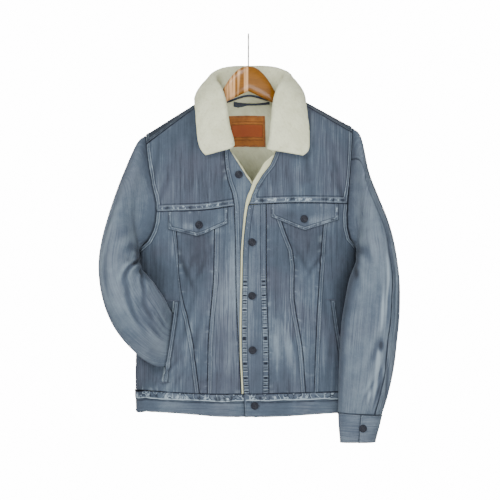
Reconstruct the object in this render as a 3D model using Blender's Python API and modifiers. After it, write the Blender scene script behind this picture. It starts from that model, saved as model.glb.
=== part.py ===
"""A sherpa lined denim jacket on a wooden hanger.

Metres, +Z up, the front towards -Y. The origin is the inner top of the hanger's hook, where a rail
would bear. The body is one surface: an angle runs across it from side seam to side seam, and a
signed arch position runs from the front hem (negative) over the shoulder ridge (zero) to the back
hem (positive). Each cut piece is a patch of that surface between its own seams, given a wall.
"""

import math

import bpy
import numpy as np
from mathutils import Vector

# Driving dimensions.
SEAM_GAP = 0.0004
DENIM_WALL = 0.0018
BAND_WALL = 0.0030
CUFF_WALL = 0.0026
LAP_COLUMNS = 3
LINING_WALL = 0.0045
LINING_GAP = 0.0006  # between shell and lining beside the front edges
LINING_LOOSE = 0.0066  # and elsewhere
NECK_ROOM = 0.0024  # the linings stop this much short of the neck seam
ARM_ROOM, TIP_ROOM = 0.0006, 0.0130  # and of the armhole seam, and so much more at the shoulder's tip
TIP_ARCH = 0.45
ARMPIT_ARCH, ARMPIT_REACH, ARMPIT_ROOM = 1.57, 0.25, 0.0020
LEATHER_WALL = 0.0014
LOOP_WALL = 0.0012
OVERLAY_GAP = 0.0003
PATCH_GAP = 0.0018
SLEEVE_PARTING = 0.0014
FLAP_GAP = 0.0011
WELT_GAP = {"left": 0.0016, "right": 0.0003}
BUTTON_GAP = 0.0006
WELT_WIDTH = 0.0095
ROUNDNESS = 2.6  # exponent of the body's rounded section
RING_ROUNDNESS = 2.3  # and of a sleeve's
RING_SAMPLES = 240
ARCH_HEIGHT = 0.130  # the shoulder curves over within this drop below the ridge
RIDGE_TOP = -0.0775
RIDGE_SLOPE = 0.597
RIDGE_SLOPE_LEAN = 0.040  # the left shoulder drops this much more, the right one this much less
RIDGE_EASE = 0.030
OVERLAP_RECESS = 0.0085  # the under front lies this much behind the top front
OVERLAP_FROM, OVERLAP_TO = -0.074, -0.024
SLIT_IN, SLIT_OUT = 0.0225, 0.0085  # how far a sleeve in the pocket parts the two lips
SLIT_FADE_OUT, SLIT_FADE_IN = 0.085, 0.060
SLIT_SHAPE = 0.9
SIDE_STIFF = 0.022  # folds and partings die away where the cloth is nearer the middle plane than this
CUFF_REACH, CUFF_FADE = 0.085, 0.050  # how far in that reaches, and dies away
CUFF_ROOM = 0.0280  # the lining gives way this much behind the tucked cuff
COLLAR_WALL = 0.0080
COLLAR_FOLD = 0.0068
COLLAR_CLEAR = 0.0014
COLLAR_RISE = 0.0022
COLLAR_SWELL = 0.09  # how far the fall bows out, as a share of its width
COLLAR_FOOT = 0.0014  # the collar's middle lies this much inside the neck seam's outer face
HOOK_WIRE = 0.0036
HOOK_RADIUS = 0.0205
BUTTON_RADIUS = 0.0086
SLEEVE_GAP, ARMPIT_GAP = 0.0018, 0.0022  # at the shoulder's tip, and so much more at the armpit
EPSILON = 1e-4
SIDE_ANGLE = math.pi / 2 - 0.0006  # leaves the seam's gap between front and back at the sides
RIDGE_SEAM = 0.0030  # the same between the linings along the ridge

# Height, half width on the left, half width on the right, front depth, back depth.
BODY = (
    (-0.100, 0.240, 0.238, 0.078, 0.066),
    (-0.380, 0.238, 0.236, 0.078, 0.066),
    (-0.480, 0.239, 0.236, 0.076, 0.065),
    (-0.600, 0.243, 0.235, 0.071, 0.062),
    (-0.700, 0.246, 0.234, 0.066, 0.059),
    (-0.790, 0.247, 0.233, 0.060, 0.055),
    (-0.850, 0.245, 0.231, 0.057, 0.052),
)
# Seams that run down: height, then place across.
NECK_LEFT = ((-0.128, -0.084), (-0.160, -0.081), (-0.190, -0.073), (-0.220, -0.061), (-0.240, -0.052),
             (-0.262, -0.038))
NECK_RIGHT = ((-0.128, 0.085), (-0.160, 0.084), (-0.190, 0.079), (-0.220, 0.071), (-0.245, 0.063),
              (-0.268, 0.057))
EDGE_LEFT = ((-0.262, -0.038), (-0.285, -0.023), (-0.305, -0.010), (-0.329, 0.005), (-0.352, 0.017),
             (-0.380, 0.021), (-0.500, 0.022), (-0.860, 0.022))
EDGE_RIGHT = ((-0.268, 0.057), (-0.296, 0.044), (-0.317, 0.026), (-0.348, 0.011), (-0.373, 0.001),
              (-0.405, -0.005), (-0.457, -0.011), (-0.527, -0.013), (-0.712, -0.0145), (-0.793, -0.0105),
              (-0.860, -0.007))
SHERPA_SHOWS = ((-0.268, 0.003), (-0.282, 0.015), (-0.300, 0.015), (-0.317, 0.012), (-0.348, 0.009),
                (-0.373, 0.007), (-0.405, 0.0055), (-0.457, 0.0045), (-0.600, 0.004), (-0.860, 0.004))
PLACKET_LEFT = ((-0.240, -0.052), (-0.267, -0.053), (-0.324, -0.045), (-0.357, -0.034), (-0.428, -0.0295),
                (-0.564, -0.027), (-0.791, -0.016))
PLACKET_RIGHT = ((-0.370, 0.039), (-0.564, 0.040), (-0.700, 0.0445), (-0.791, 0.0445))
V_INNER_LEFT = ((-0.380, -0.072), (-0.434, -0.074), (-0.534, -0.076), (-0.663, -0.087), (-0.791, -0.090))
V_OUTER_LEFT = ((-0.380, -0.162), (-0.434, -0.157), (-0.573, -0.146), (-0.640, -0.129), (-0.791, -0.107))
V_INNER_RIGHT = ((-0.370, 0.066), (-0.415, 0.072), (-0.476, 0.096), (-0.586, 0.100), (-0.692, 0.118),
                 (-0.791, 0.125))
V_OUTER_RIGHT = ((-0.370, 0.166), (-0.426, 0.163), (-0.498, 0.1575), (-0.700, 0.1465), (-0.791, 0.144))
POCKET_LEFT = ((-0.380, -0.176), (-0.480, -0.167), (-0.589, -0.1615), (-0.672, -0.172), (-0.765, -0.186),
               (-0.791, -0.188))
POCKET_RIGHT = ((-0.370, 0.182), (-0.480, 0.181), (-0.585, 0.189), (-0.728, 0.208), (-0.791, 0.211))
BACK_SEAM = ((-0.380, 0.118), (-0.500, 0.112), (-0.640, 0.098), (-0.791, 0.080))
# Armholes, from the shoulder tip to the armpit: height, place across in front, and behind.
ARMHOLE_LEFT = ((-0.2225, -0.226, -0.226), (-0.251, -0.223, -0.219), (-0.320, -0.213, -0.208),
                (-0.380, -0.201, -0.202), (-0.425, -0.205, -0.208), (-0.460, -0.222, -0.223),
                (-0.478, -0.2395, -0.2395))
ARMHOLE_RIGHT = ((-0.2056, 0.228, 0.228), (-0.251, 0.226, 0.222), (-0.308, 0.222, 0.212),
                 (-0.375, 0.216, 0.206), (-0.430, 0.216, 0.210), (-0.462, 0.226, 0.224),
                 (-0.477, 0.2365, 0.2365))
# Seams that run across: place across, then height.
FRONT_YOKE_SEAM = ((-0.240, -0.394), (-0.203, -0.392), (-0.080, -0.387), (-0.034, -0.380), (0.020, -0.376),
                   (0.060, -0.374), (0.240, -0.374))
BACK_YOKE_SEAM = ((-0.240, -0.388), (0.0, -0.380), (0.240, -0.386))
WAIST_SEAM = ((-0.250, -0.783), (-0.128, -0.790), (-0.010, -0.792), (0.067, -0.790), (0.240, -0.786))
HEM = ((-0.250, -0.830), (-0.128, -0.8365), (-0.069, -0.8415), (0.067, -0.8415), (0.180, -0.835),
       (0.240, -0.833))
# The back yoke's upper border: place across, drop below the ridge, and front (-1) or back (1).
YOKE_TOP = (
    (-0.2245, 0.022, -1), (-0.190, 0.018, -1), (-0.155, 0.014, -1), (-0.120, 0.010, -1), (-0.085, 0.006, -1),
    (-0.084, 0.000, 1), (-0.082, 0.007, 1), (-0.076, 0.015, 1), (-0.062, 0.025, 1), (-0.040, 0.031, 1),
    (-0.018, 0.033, 1), (0.018, 0.033, 1), (0.040, 0.031, 1), (0.062, 0.025, 1), (0.076, 0.015, 1),
    (0.082, 0.007, 1), (0.084, 0.000, 1), (0.085, 0.006, -1), (0.120, 0.009, -1), (0.155, 0.011, -1),
    (0.190, 0.012, -1), (0.2275, 0.012, -1),
)
# Large soft folds of the body: front or back, place across, height, half length, half width, depth, lean.
FOLDS = (
    (-1, -0.150, -0.330, 0.080, 0.016, 0.0035, 0.25),
    (-1, 0.160, -0.310, 0.090, 0.018, 0.0035, -0.20),
    (-1, -0.060, -0.620, 0.120, 0.016, 0.0030, 0.05),
    (-1, 0.075, -0.640, 0.110, 0.018, 0.0030, -0.08),
    (-1, 0.150, -0.720, 0.070, 0.014, 0.0030, 0.15),
    (1, -0.120, -0.560, 0.150, 0.026, 0.0050, 0.12),
    (1, 0.030, -0.600, 0.160, 0.024, 0.0045, -0.06),
    (1, 0.140, -0.520, 0.140, 0.026, 0.0050, -0.15),
)
# Sleeve rings: outer point (across, height), inner point (across, height), middle forward, half depth.
SLEEVE_RIGHT = (
    (0.2485, -0.231, 0.2450, -0.4815, -0.012, 0.058),
    (0.2680, -0.318, 0.2430, -0.490, -0.026, 0.062),
    (0.2930, -0.380, 0.2385, -0.502, -0.046, 0.062),
    (0.3120, -0.437, 0.2310, -0.518, -0.064, 0.060),
    (0.3230, -0.490, 0.2210, -0.542, -0.078, 0.056),
    (0.3300, -0.560, 0.2130, -0.584, -0.087, 0.051),
    (0.3270, -0.640, 0.2040, -0.640, -0.088, 0.048),
    (0.3180, -0.720, 0.2000, -0.712, -0.087, 0.045),
    (0.3050, -0.785, 0.1980, -0.776, -0.084, 0.039),
    (0.2900, -0.8350, 0.1970, -0.8300, -0.080, 0.032),
)
CUFF_RIGHT = (
    (0.2897, -0.8354, 0.1972, -0.8304, -0.080, 0.0318),
    (0.2830, -0.8650, 0.1990, -0.8630, -0.080, 0.029),
    (0.2750, -0.8950, 0.2030, -0.8960, -0.080, 0.028),
)
SLEEVE_LEFT = (
    (-0.2470, -0.245, -0.2480, -0.4820, -0.012, 0.058),
    (-0.2800, -0.322, -0.2465, -0.488, -0.026, 0.062),
    (-0.3010, -0.385, -0.2430, -0.496, -0.046, 0.060),
    (-0.3180, -0.446, -0.2390, -0.503, -0.064, 0.058),
    (-0.3260, -0.507, -0.2340, -0.512, -0.078, 0.054),
    (-0.3200, -0.568, -0.2270, -0.524, -0.086, 0.050),
    (-0.3030, -0.622, -0.2130, -0.540, -0.089, 0.045),
    (-0.2780, -0.664, -0.1990, -0.560, -0.088, 0.038),
    (-0.2450, -0.700, -0.1850, -0.582, -0.080, 0.027),
    (-0.2170, -0.722, -0.1750, -0.603, -0.0685, 0.0160),
    (-0.1900, -0.731, -0.1660, -0.616, -0.0538, 0.0072),
    (-0.1640, -0.726, -0.1490, -0.622, -0.0478, 0.0060),
)
CUFF_LEFT = (
    (-0.1630, -0.7262, -0.1480, -0.6218, -0.0478, 0.0058),
    (-0.1360, -0.7220, -0.1240, -0.6220, -0.0474, 0.0058),
    (-0.1080, -0.7180, -0.1000, -0.6220, -0.0474, 0.0056),
)
# Soft folds of the sleeves: along the rings, round from the top (turns, front negative), their half
# spans, and the depth.
SLEEVE_FOLDS_RIGHT = (
    (3.6, -0.28, 0.55, 0.16, 0.0060),
    (5.2, -0.20, 0.50, 0.14, 0.0050),
    (6.4, -0.16, 0.45, 0.12, 0.0050),
    (4.4, 0.24, 0.60, 0.16, 0.0055),
    (5.9, 0.28, 0.50, 0.14, 0.0050),
)
SLEEVE_FOLDS_LEFT = (
    (3.2, -0.36, 0.50, 0.12, 0.0060),
    (4.6, -0.40, 0.45, 0.12, 0.0070),
    (5.8, -0.34, 0.45, 0.14, 0.0060),
    (7.0, -0.30, 0.45, 0.14, 0.0050),
    (4.8, 0.34, 0.55, 0.16, 0.0060),
)
# The collar, from the left front end round the back to the right one. The first two columns place its
# foot on the neck seam: front (-1) or back (1), then the height in front or the place across behind.
# Then the top of the fold (x, y, z) and the free edge (x, y, z).
COLLAR = (
    (-1, -0.2575, -0.0340, -0.0825, -0.2500, -0.0930, -0.0840, -0.2690),
    (-1, -0.2420, -0.0370, -0.0820, -0.2320, -0.1040, -0.0835, -0.2560),
    (-1, -0.2200, -0.0440, -0.0785, -0.2040, -0.1100, -0.0790, -0.2360),
    (-1, -0.1900, -0.0510, -0.0670, -0.1590, -0.1130, -0.0710, -0.2060),
    (-1, -0.1600, -0.0620, -0.0460, -0.1220, -0.1150, -0.0520, -0.1710),
    (1, -0.0840, -0.0760, -0.0030, -0.0990, -0.1160, -0.0040, -0.1425),
    (1, -0.0740, -0.0740, 0.0380, -0.0830, -0.1030, 0.0520, -0.1440),
    (1, -0.0460, -0.0480, 0.0610, -0.0710, -0.0660, 0.0840, -0.1400),
    (1, 0.0000, 0.0000, 0.0700, -0.0680, 0.0000, 0.0940, -0.1400),
    (1, 0.0460, 0.0520, 0.0610, -0.0700, 0.0710, 0.0840, -0.1400),
    (1, 0.0740, 0.0820, 0.0380, -0.0820, 0.1110, 0.0520, -0.1420),
    (1, 0.0840, 0.0820, -0.0030, -0.0970, 0.1210, -0.0040, -0.1345),
    (-1, -0.1600, 0.0680, -0.0460, -0.1190, 0.1260, -0.0520, -0.1640),
    (-1, -0.1900, 0.0580, -0.0680, -0.1550, 0.1310, -0.0700, -0.2040),
    (-1, -0.2200, 0.0520, -0.0785, -0.2020, 0.1330, -0.0780, -0.2360),
    (-1, -0.2450, 0.0500, -0.0820, -0.2320, 0.1310, -0.0815, -0.2580),
    (-1, -0.2640, 0.0440, -0.0823, -0.2570, 0.1190, -0.0840, -0.2700),
)
# The hanger: place across, top, bottom, half depth, how far forward its middle is. The arms follow the
# ridge, so their tops are worked out from it.
HANGER_HUMP = (
    (0.000, -0.0700, -0.1260, 0.0105, -0.0100),
    (0.014, -0.0725, -0.1320, 0.0105, -0.0095),
    (0.027, -0.0810, -0.1385, 0.0105, -0.0085),
    (0.039, -0.0940, -0.1440, 0.0105, -0.0075),
    (0.049, -0.1085, -0.1490, 0.0105, -0.0065),
    (0.058, -0.1245, -0.1535, 0.0105, -0.0050),
)
# Place across, height of the section, how far forward its middle is, extra drop.
HANGER_ARM = ((0.070, 0.024, -0.0040, 0.012), (0.088, 0.024, -0.0030, 0.008), (0.110, 0.024, -0.0020, 0.001),
              (0.135, 0.024, -0.0010, 0.0), (0.165, 0.023, 0.0, 0.0), (0.190, 0.020, 0.0, 0.0),
              (0.203, 0.014, 0.0, 0.003), (0.208, 0.007, 0.0, 0.006))
HANGER_BELOW_RIDGE = 0.0162
HANGER_ARM_DEPTH = 0.0105
HANGER_SIDES = 10
# Buttons: name, place across, height. Those on the placket lie along its middle.
FRONT_BUTTONS = (
    ("button_front_top", -0.021, -0.311),
    ("button_front_2", 0.008, -0.459),
    ("button_front_3", 0.008, -0.576),
    ("button_front_4", 0.009, -0.695),
    ("button_waist", 0.014, -0.817),
)
CUFF_BUTTON = (0.2495, -0.8630)
FLAP_BUTTONS = (("button_flap_left", -0.107, -0.421), ("button_flap_right", 0.121, -0.408))

DENIM = (0.13, 0.185, 0.26, 1.0)
DENIM_BAND = (0.11, 0.16, 0.235, 1.0)
SHERPA = (0.74, 0.73, 0.62, 1.0)
LEATHER = (0.42, 0.19, 0.07, 1.0)
WOOD = (0.42, 0.20, 0.05, 1.0)
STEEL = (0.62, 0.62, 0.60, 1.0)
BUTTON_METAL = (0.07, 0.08, 0.11, 1.0)
LOOP_CLOTH = (0.03, 0.035, 0.045, 1.0)


def smooth_table(table, x, column=1):
    """A smooth curve through a table's rows, read at x and held at its ends."""
    rows = sorted(table)
    at = np.array([row[0] for row in rows])
    value = np.array([row[column] for row in rows])
    slope = np.gradient(value, at)
    x = np.clip(np.asarray(x, float), at[0], at[-1])
    low = np.clip(np.searchsorted(at, x, side="right") - 1, 0, len(at) - 2)
    step = at[low + 1] - at[low]
    t = (x - at[low]) / step
    rise = 3 * t**2 - 2 * t**3
    return (value[low] * (1 - rise) + value[low + 1] * rise
            + slope[low] * step * (t - 2 * t**2 + t**3) + slope[low + 1] * step * (t**3 - t**2))


def fade(x):
    """From 1 at zero down to 0 at one, with level ends."""
    x = np.clip(x, 0.0, 1.0)
    return 1 - x * x * (3 - 2 * x)


def ridge(x):
    """Height of the shoulder line."""
    slope = RIDGE_SLOPE - RIDGE_SLOPE_LEAN * np.tanh(x / 0.060)
    return RIDGE_TOP - slope * np.sqrt(x * x + RIDGE_EASE**2)


def half_width(x, z):
    return np.where(x < 0, smooth_table(BODY, z, 1), smooth_table(BODY, z, 2))


def drop_of(arch):
    """How far below the ridge an arch position lies."""
    size = np.abs(arch)
    over = ARCH_HEIGHT * (1 - np.cos(np.minimum(size, 1) * math.pi / 2))
    return over + np.maximum(size - 1, 0) * ARCH_HEIGHT * math.pi / 2


def arch_of(drop):
    """The arch position, without its sign, at a drop below the ridge."""
    drop = np.maximum(drop, 0)
    over = np.arccos(np.clip(1 - drop / ARCH_HEIGHT, 0, 1)) * 2 / math.pi
    return over + np.maximum(drop - ARCH_HEIGHT, 0) / (ARCH_HEIGHT * math.pi / 2)


def surface_place(x, z, side):
    """(angle, arch) of a point of the body's front (side -1) or back (side 1)."""
    share = np.clip(np.abs(x) / half_width(x, z), 0, 1)
    angle = np.sign(x) * np.minimum(np.arcsin(share ** (ROUNDNESS / 2)), SIDE_ANGLE)
    return angle, side * arch_of(ridge(x) - z)


def fold_depth(x, z, side):
    """How far the large folds draw the cloth in."""
    total = np.zeros_like(x)
    for fold_side, across, height, length, width, depth, lean in FOLDS:
        along = (z - height) / length
        beside = (x - across - lean * (z - height)) / width
        here = depth * np.exp(-along**2 - beside**2)
        total = total + np.where(side == fold_side, here, 0.0)
    return total


def under_front(x):
    """How far the left front steps back where the right one lies over it."""
    return OVERLAP_RECESS * (1 - fade((x - OVERLAP_FROM) / (OVERLAP_TO - OVERLAP_FROM)))


def pocket_parting(x, z):
    """(inwards, outwards) give of the front at the tucked sleeve, by which lip a point is on."""
    top, bottom = POCKET_LEFT[2][0], POCKET_LEFT[4][0]
    share = np.clip((top - z) / (top - bottom), 0, 1)
    height = np.sin(math.pi * share) ** SLIT_SHAPE
    beside = x - smooth_table(POCKET_LEFT, z)
    inwards = SLIT_IN * height * fade(-beside / SLIT_FADE_OUT)
    outwards = SLIT_OUT * height * fade(beside / SLIT_FADE_IN)
    return inwards, outwards


def cuff_room(x, z):
    """How far the left front lining is pushed in by the cuff behind the pocket."""
    top, bottom = POCKET_LEFT[2][0], POCKET_LEFT[4][0]
    height = fade(np.maximum(z - top, bottom - z) / 0.035)
    beside = x - smooth_table(POCKET_LEFT, z)
    outside, inside = fade(-beside / SLIT_FADE_OUT), fade((beside - CUFF_REACH) / CUFF_FADE)
    return CUFF_ROOM * height * np.where(beside < 0, outside, inside)


def body_point(angle, arch, layer="shell", lip=None):
    """The body's surface. layer is shell, under_shell, lining or under_lining; lip is -1 or 1 at a slit."""
    across = np.abs(np.sin(angle)) ** (2 / ROUNDNESS)
    z = np.full_like(angle, -0.4)
    for _ in range(6):
        x = np.sign(angle) * across * half_width(angle, z)
        z = ridge(x) - drop_of(arch)
    front = fade((arch + 0.3) / 0.6)
    deep = smooth_table(BODY, z, 3) * front + smooth_table(BODY, z, 4) * (1 - front)
    rise = np.sin(np.clip(arch, -1, 1) * math.pi / 2)
    y = deep * rise * np.cos(angle) ** (2 / ROUNDNESS)
    side = np.where(arch < 0, -1, 1)
    inwards = fold_depth(x, z, side) * np.abs(rise)
    if layer in ("under_shell", "under_lining"):
        inwards = inwards + under_front(x)
    if layer == "under_shell" and lip is not None:
        give_in, give_out = pocket_parting(x, z)
        inwards = inwards + np.where(lip < 0, give_in, -give_out)
    if layer == "under_lining":
        inwards = inwards + cuff_room(x, z)
    inwards = inwards * np.minimum(np.abs(y) / SIDE_STIFF, 1)
    return np.stack([x, y - side * inwards, z], axis=-1)


def body_normal(angle, arch, layer="shell", lip=None):
    wide = np.clip(angle + EPSILON, -math.pi / 2, math.pi / 2)
    narrow = np.clip(angle - EPSILON, -math.pi / 2, math.pi / 2)
    across = body_point(wide, arch, layer, lip) - body_point(narrow, arch, layer, lip)
    over = body_point(angle, arch + EPSILON, layer, lip) - body_point(angle, arch - EPSILON, layer, lip)
    normal = np.cross(across, over)
    return normal / np.linalg.norm(normal, axis=-1, keepdims=True)


def coons(left, right, top, bottom):
    """A grid between four borders, each a list of places, rows by columns."""
    rows, columns = len(left), len(top)
    v = np.linspace(0, 1, rows)[:, None, None]
    u = np.linspace(0, 1, columns)[None, :, None]
    left, right, top, bottom = (np.asarray(line) for line in (left, right, top, bottom))
    corners = (1 - v) * ((1 - u) * top[0] + u * top[-1]) + v * ((1 - u) * bottom[0] + u * bottom[-1])
    return (1 - u) * left[:, None] + u * right[:, None] + (1 - v) * top[None] + v * bottom[None] - corners


def border(xs, zs, side):
    """A border in the surface's own places. Side may change along it."""
    xs, zs = np.broadcast_arrays(np.asarray(xs, float), np.asarray(zs, float))
    return np.stack(surface_place(xs, zs, side), axis=-1)


def wall_mesh(name, points, normals, quads, inner, outer, material):
    """A closed wall about a sheet: from inner to outer along the normals."""
    points, normals = np.asarray(points), np.asarray(normals)
    count = len(points)
    first = quads[len(quads) // 2]
    a, b, c, d = (points[i] for i in first)
    facing = np.dot(np.cross(c - a, d - b), normals[list(first)].sum(axis=0))
    if facing < 0:
        quads = [tuple(reversed(quad)) for quad in quads]
    edges = {(quad[i], quad[(i + 1) % 4]) for quad in quads for i in range(4)}
    faces = [half for quad in quads for half in shorter_cut(points, quad)]
    faces += [tuple(count + i for i in reversed(face)) for face in faces]
    faces += [(b, a, count + a, count + b) for a, b in sorted(edges) if (b, a) not in edges]
    vertices = np.concatenate([points + normals * outer, points + normals * inner])
    return mesh_object(name, vertices, faces, material)


def shorter_cut(points, quad):
    """Two triangles that part a quad along its shorter diagonal."""
    a, b, c, d = quad
    if np.linalg.norm(points[a] - points[c]) <= np.linalg.norm(points[b] - points[d]):
        return (a, b, c), (a, c, d)
    return (a, b, d), (b, c, d)


def mesh_object(name, vertices, faces, material):
    mesh = bpy.data.meshes.new(name)
    mesh.from_pydata([tuple(map(float, vertex)) for vertex in vertices], [], faces)
    mesh.validate()
    mesh.shade_smooth()
    mesh.set_sharp_from_angle(angle=math.radians(40))
    piece = bpy.data.objects.new(name, mesh)
    piece.data.materials.append(material)
    PARTS.objects.link(piece)
    return piece


def grid_quads(rows, columns, wrap=False):
    last = columns if wrap else columns - 1
    return [(r * columns + c, (r + 1) * columns + c, (r + 1) * columns + (c + 1) % columns,
             r * columns + (c + 1) % columns) for r in range(rows - 1) for c in range(last)]


def panel(name, places, material, layer="shell", inner=0.0, outer=DENIM_WALL, lip=None):
    """A patch of the body's surface as a piece of cloth. Returns its points and normals as grids."""
    angle, arch = places[..., 0], places[..., 1]
    points = body_point(angle, arch, layer, lip)
    normals = body_normal(angle, arch, layer, lip)
    wall_mesh(name, points.reshape(-1, 3), normals.reshape(-1, 3), grid_quads(*angle.shape), inner, outer,
              material)
    return points, normals


def crossing(table, across, shift=0.0):
    """The height at which a seam that runs down meets one that runs across."""
    z = float(across[len(across) // 2][1])
    for _ in range(8):
        z = float(smooth_table(across, smooth_table(table, z) + shift))
    return z


def side_x(hand, zs, armhole, column, gap=0.0):
    """The outer border of the body: the armhole, less a gap, then the side seam."""
    seam = hand * half_width(np.full_like(zs, hand), zs)
    return np.where(zs > armhole[-1][0] + 1e-6, smooth_table(armhole, zs, column) - hand * gap, seam)


def along(seam, x0, x1, z0, z1, count, side, shift=0.0):
    """A border along a seam that runs across, between two corners."""
    xs = np.linspace(x0, x1, count + 1)
    zs = smooth_table(seam, xs) + shift
    zs = zs + np.linspace(z0 - zs[0], z1 - zs[-1], count + 1)
    return border(xs, zs, side)


def steps(*marks):
    """Heights through the marks: height, number of steps, height, ..."""
    zs = [marks[0]]
    for count, end in zip(marks[1::2], marks[2::2]):
        zs += list(np.linspace(zs[-1], end, count + 1)[1:])
    return np.array(zs)


def quilt(left_x, left_z, right_x, right_z, top, bottom, columns, side):
    """The grid of places between two borders that run down and two seams that run across.

    Each border that runs down is a list of places; top and bottom are seams, or None for a straight edge.
    """
    left, right = border(left_x, left_z, side), border(right_x, right_z, side)
    ends = []
    for seam, row in ((top, 0), (bottom, -1)):
        x0, x1, z0, z1 = left_x[row], right_x[row], left_z[row], right_z[row]
        straight = ((min(x0, x1) - 1, z0), (max(x0, x1) + 1, z0)) if seam is None else seam
        ends.append(along(straight, x0, x1, z0, z1, columns, side))
    return coons(left, right, ends[0], ends[1])


HALF_GAP = SEAM_GAP / 2
BODY_ROWS = 12
ARM_ROWS = 4  # of those, the rows above the armpit
WAIST_SIDE = 0.247  # a place across by the side seam at the waist, on either side
SIDES = {
    "left": {
        "hand": -1, "armhole": ARMHOLE_LEFT, "neck": NECK_LEFT, "edge": EDGE_LEFT, "placket": PLACKET_LEFT,
        "v_inner": V_INNER_LEFT, "v_outer": V_OUTER_LEFT, "pocket": POCKET_LEFT, "layer": "under_shell",
    },
    "right": {
        "hand": 1, "armhole": ARMHOLE_RIGHT, "neck": NECK_RIGHT, "edge": EDGE_RIGHT, "placket": PLACKET_RIGHT,
        "v_inner": V_INNER_RIGHT, "v_outer": V_OUTER_RIGHT, "pocket": POCKET_RIGHT, "layer": "shell",
    },
}


def body_rows(part, outer, shift):
    """Heights down a border between the yoke seam and the waist: at the armpit or the slit, on a row."""
    if outer == "side":
        seam = [(z, x) for z, x, _ in part["armhole"]]
        top, armpit = crossing(seam, FRONT_YOKE_SEAM, shift), part["armhole"][-1][0]
        waist = float(smooth_table(WAIST_SEAM, part["hand"] * WAIST_SIDE))
        return steps(top, ARM_ROWS, armpit, BODY_ROWS - ARM_ROWS, waist)
    seam = part[outer]
    top, bottom = crossing(seam, FRONT_YOKE_SEAM, shift), crossing(seam, WAIST_SEAM)
    if outer == "pocket":
        return steps(top, 5, seam[2][0], 6, seam[4][0], 1, bottom)
    return steps(top, BODY_ROWS, bottom)


def inset(xs, zs, side_gap, top_gap=HALF_GAP, bottom_gap=HALF_GAP):
    """A border drawn in by half the seam's gap."""
    zs = np.array(zs, float)
    zs[0] -= top_gap
    zs[-1] += bottom_gap
    return np.asarray(xs) + side_gap, zs


def front_border(part, which, gap):
    zs = body_rows(part, which, 0.0)
    if which == "side":
        return inset(side_x(part["hand"], zs, part["armhole"], 1, HALF_GAP), zs, 0.0)
    return inset(smooth_table(part[which], zs), zs, gap)


def front_panel(name, part, left, right, columns, lip=1):
    (lx, lz), (rx, rz) = front_border(part, left, HALF_GAP), front_border(part, right, -HALF_GAP)
    places = quilt(lx, lz, rx, rz, FRONT_YOKE_SEAM, WAIST_SEAM, columns, -1)
    return panel(name, places, CLOTH["denim"], part["layer"], lip=lip if part["hand"] < 0 else None)


def slit_panel(name, part):
    """The left front side, whose pocket slit is parted by the sleeve tucked into it."""
    outer_x, outer_z = front_border(part, "side", HALF_GAP)
    slit_x, slit_z = front_border(part, "pocket", 0.0)
    inner_x, inner_z = front_border(part, "v_outer", -HALF_GAP)
    halves = (
        (quilt(outer_x, outer_z, slit_x, slit_z, FRONT_YOKE_SEAM, WAIST_SEAM, 6, -1), -1),
        (quilt(slit_x, slit_z, inner_x, inner_z, FRONT_YOKE_SEAM, WAIST_SEAM, 3, -1), 1),
    )
    points, normals, numbers = [], [], []
    for places, lip in halves:
        angle, arch = places[..., 0], places[..., 1]
        grid = body_point(angle, arch, part["layer"], lip)
        facing = body_normal(angle, arch, part["layer"], lip)
        number = np.arange(angle.size).reshape(angle.shape) + sum(len(found) for found in points)
        edge = -1 if lip < 0 else 0
        slit_rows = slice(6, 11)
        grid[slit_rows, edge, 0] += lip * HALF_GAP
        points.append(grid.reshape(-1, 3))
        normals.append(facing.reshape(-1, 3))
        numbers.append(number)
    for row in list(range(6)) + [11, 12]:
        numbers[1][row, 0] = numbers[0][row, -1]
    quads = []
    for number in numbers:
        rows, columns = number.shape
        quads += [(int(number[r, c]), int(number[r + 1, c]), int(number[r + 1, c + 1]), int(number[r, c + 1]))
                  for r in range(rows - 1) for c in range(columns - 1)]
    used = sorted({i for quad in quads for i in quad})
    renumber = {old: new for new, old in enumerate(used)}
    quads = [tuple(renumber[i] for i in quad) for quad in quads]
    all_points, all_normals = np.concatenate(points)[used], np.concatenate(normals)[used]
    wall_mesh(name, all_points, all_normals, quads, 0.0, DENIM_WALL, CLOTH["denim"])
    first = halves[0][0]
    return (body_point(first[..., 0], first[..., 1], part["layer"], -1),
            body_normal(first[..., 0], first[..., 1], part["layer"], -1))


def arm_border(part, arches, gap):
    """The armhole as places at given arch positions."""
    column = np.where(arches < 0, 1, 2)
    x = np.full_like(arches, part["armhole"][0][1])
    for _ in range(6):
        z = ridge(x) - drop_of(arches)
        x = np.where(column == 1, smooth_table(part["armhole"], z, 1), smooth_table(part["armhole"], z, 2))
    angle, _ = surface_place(x + gap, z, 1)
    return np.stack([angle, arches], axis=-1)


def back_yoke():
    top = np.array([border(x, float(ridge(np.array(x))) - drop, side) for x, drop, side in YOKE_TOP])
    xs = np.array([x for x, _, _ in YOKE_TOP])
    bottom = border(xs, smooth_table(BACK_YOKE_SEAM, xs) + HALF_GAP, 1)
    sides = []
    for part, row in ((SIDES["left"], 0), (SIDES["right"], -1)):
        levels = np.concatenate([np.linspace(top[row, 1], 0, 4), np.linspace(0, bottom[row, 1], 10)[1:]])
        sides.append(arm_border(part, levels, -part["hand"] * HALF_GAP))
    top[0], top[-1] = sides[0][0], sides[1][0]
    bottom[0], bottom[-1] = sides[0][-1], sides[1][-1]
    return panel("back_yoke", coons(sides[0], sides[1], top, bottom), CLOTH["denim"])


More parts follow.
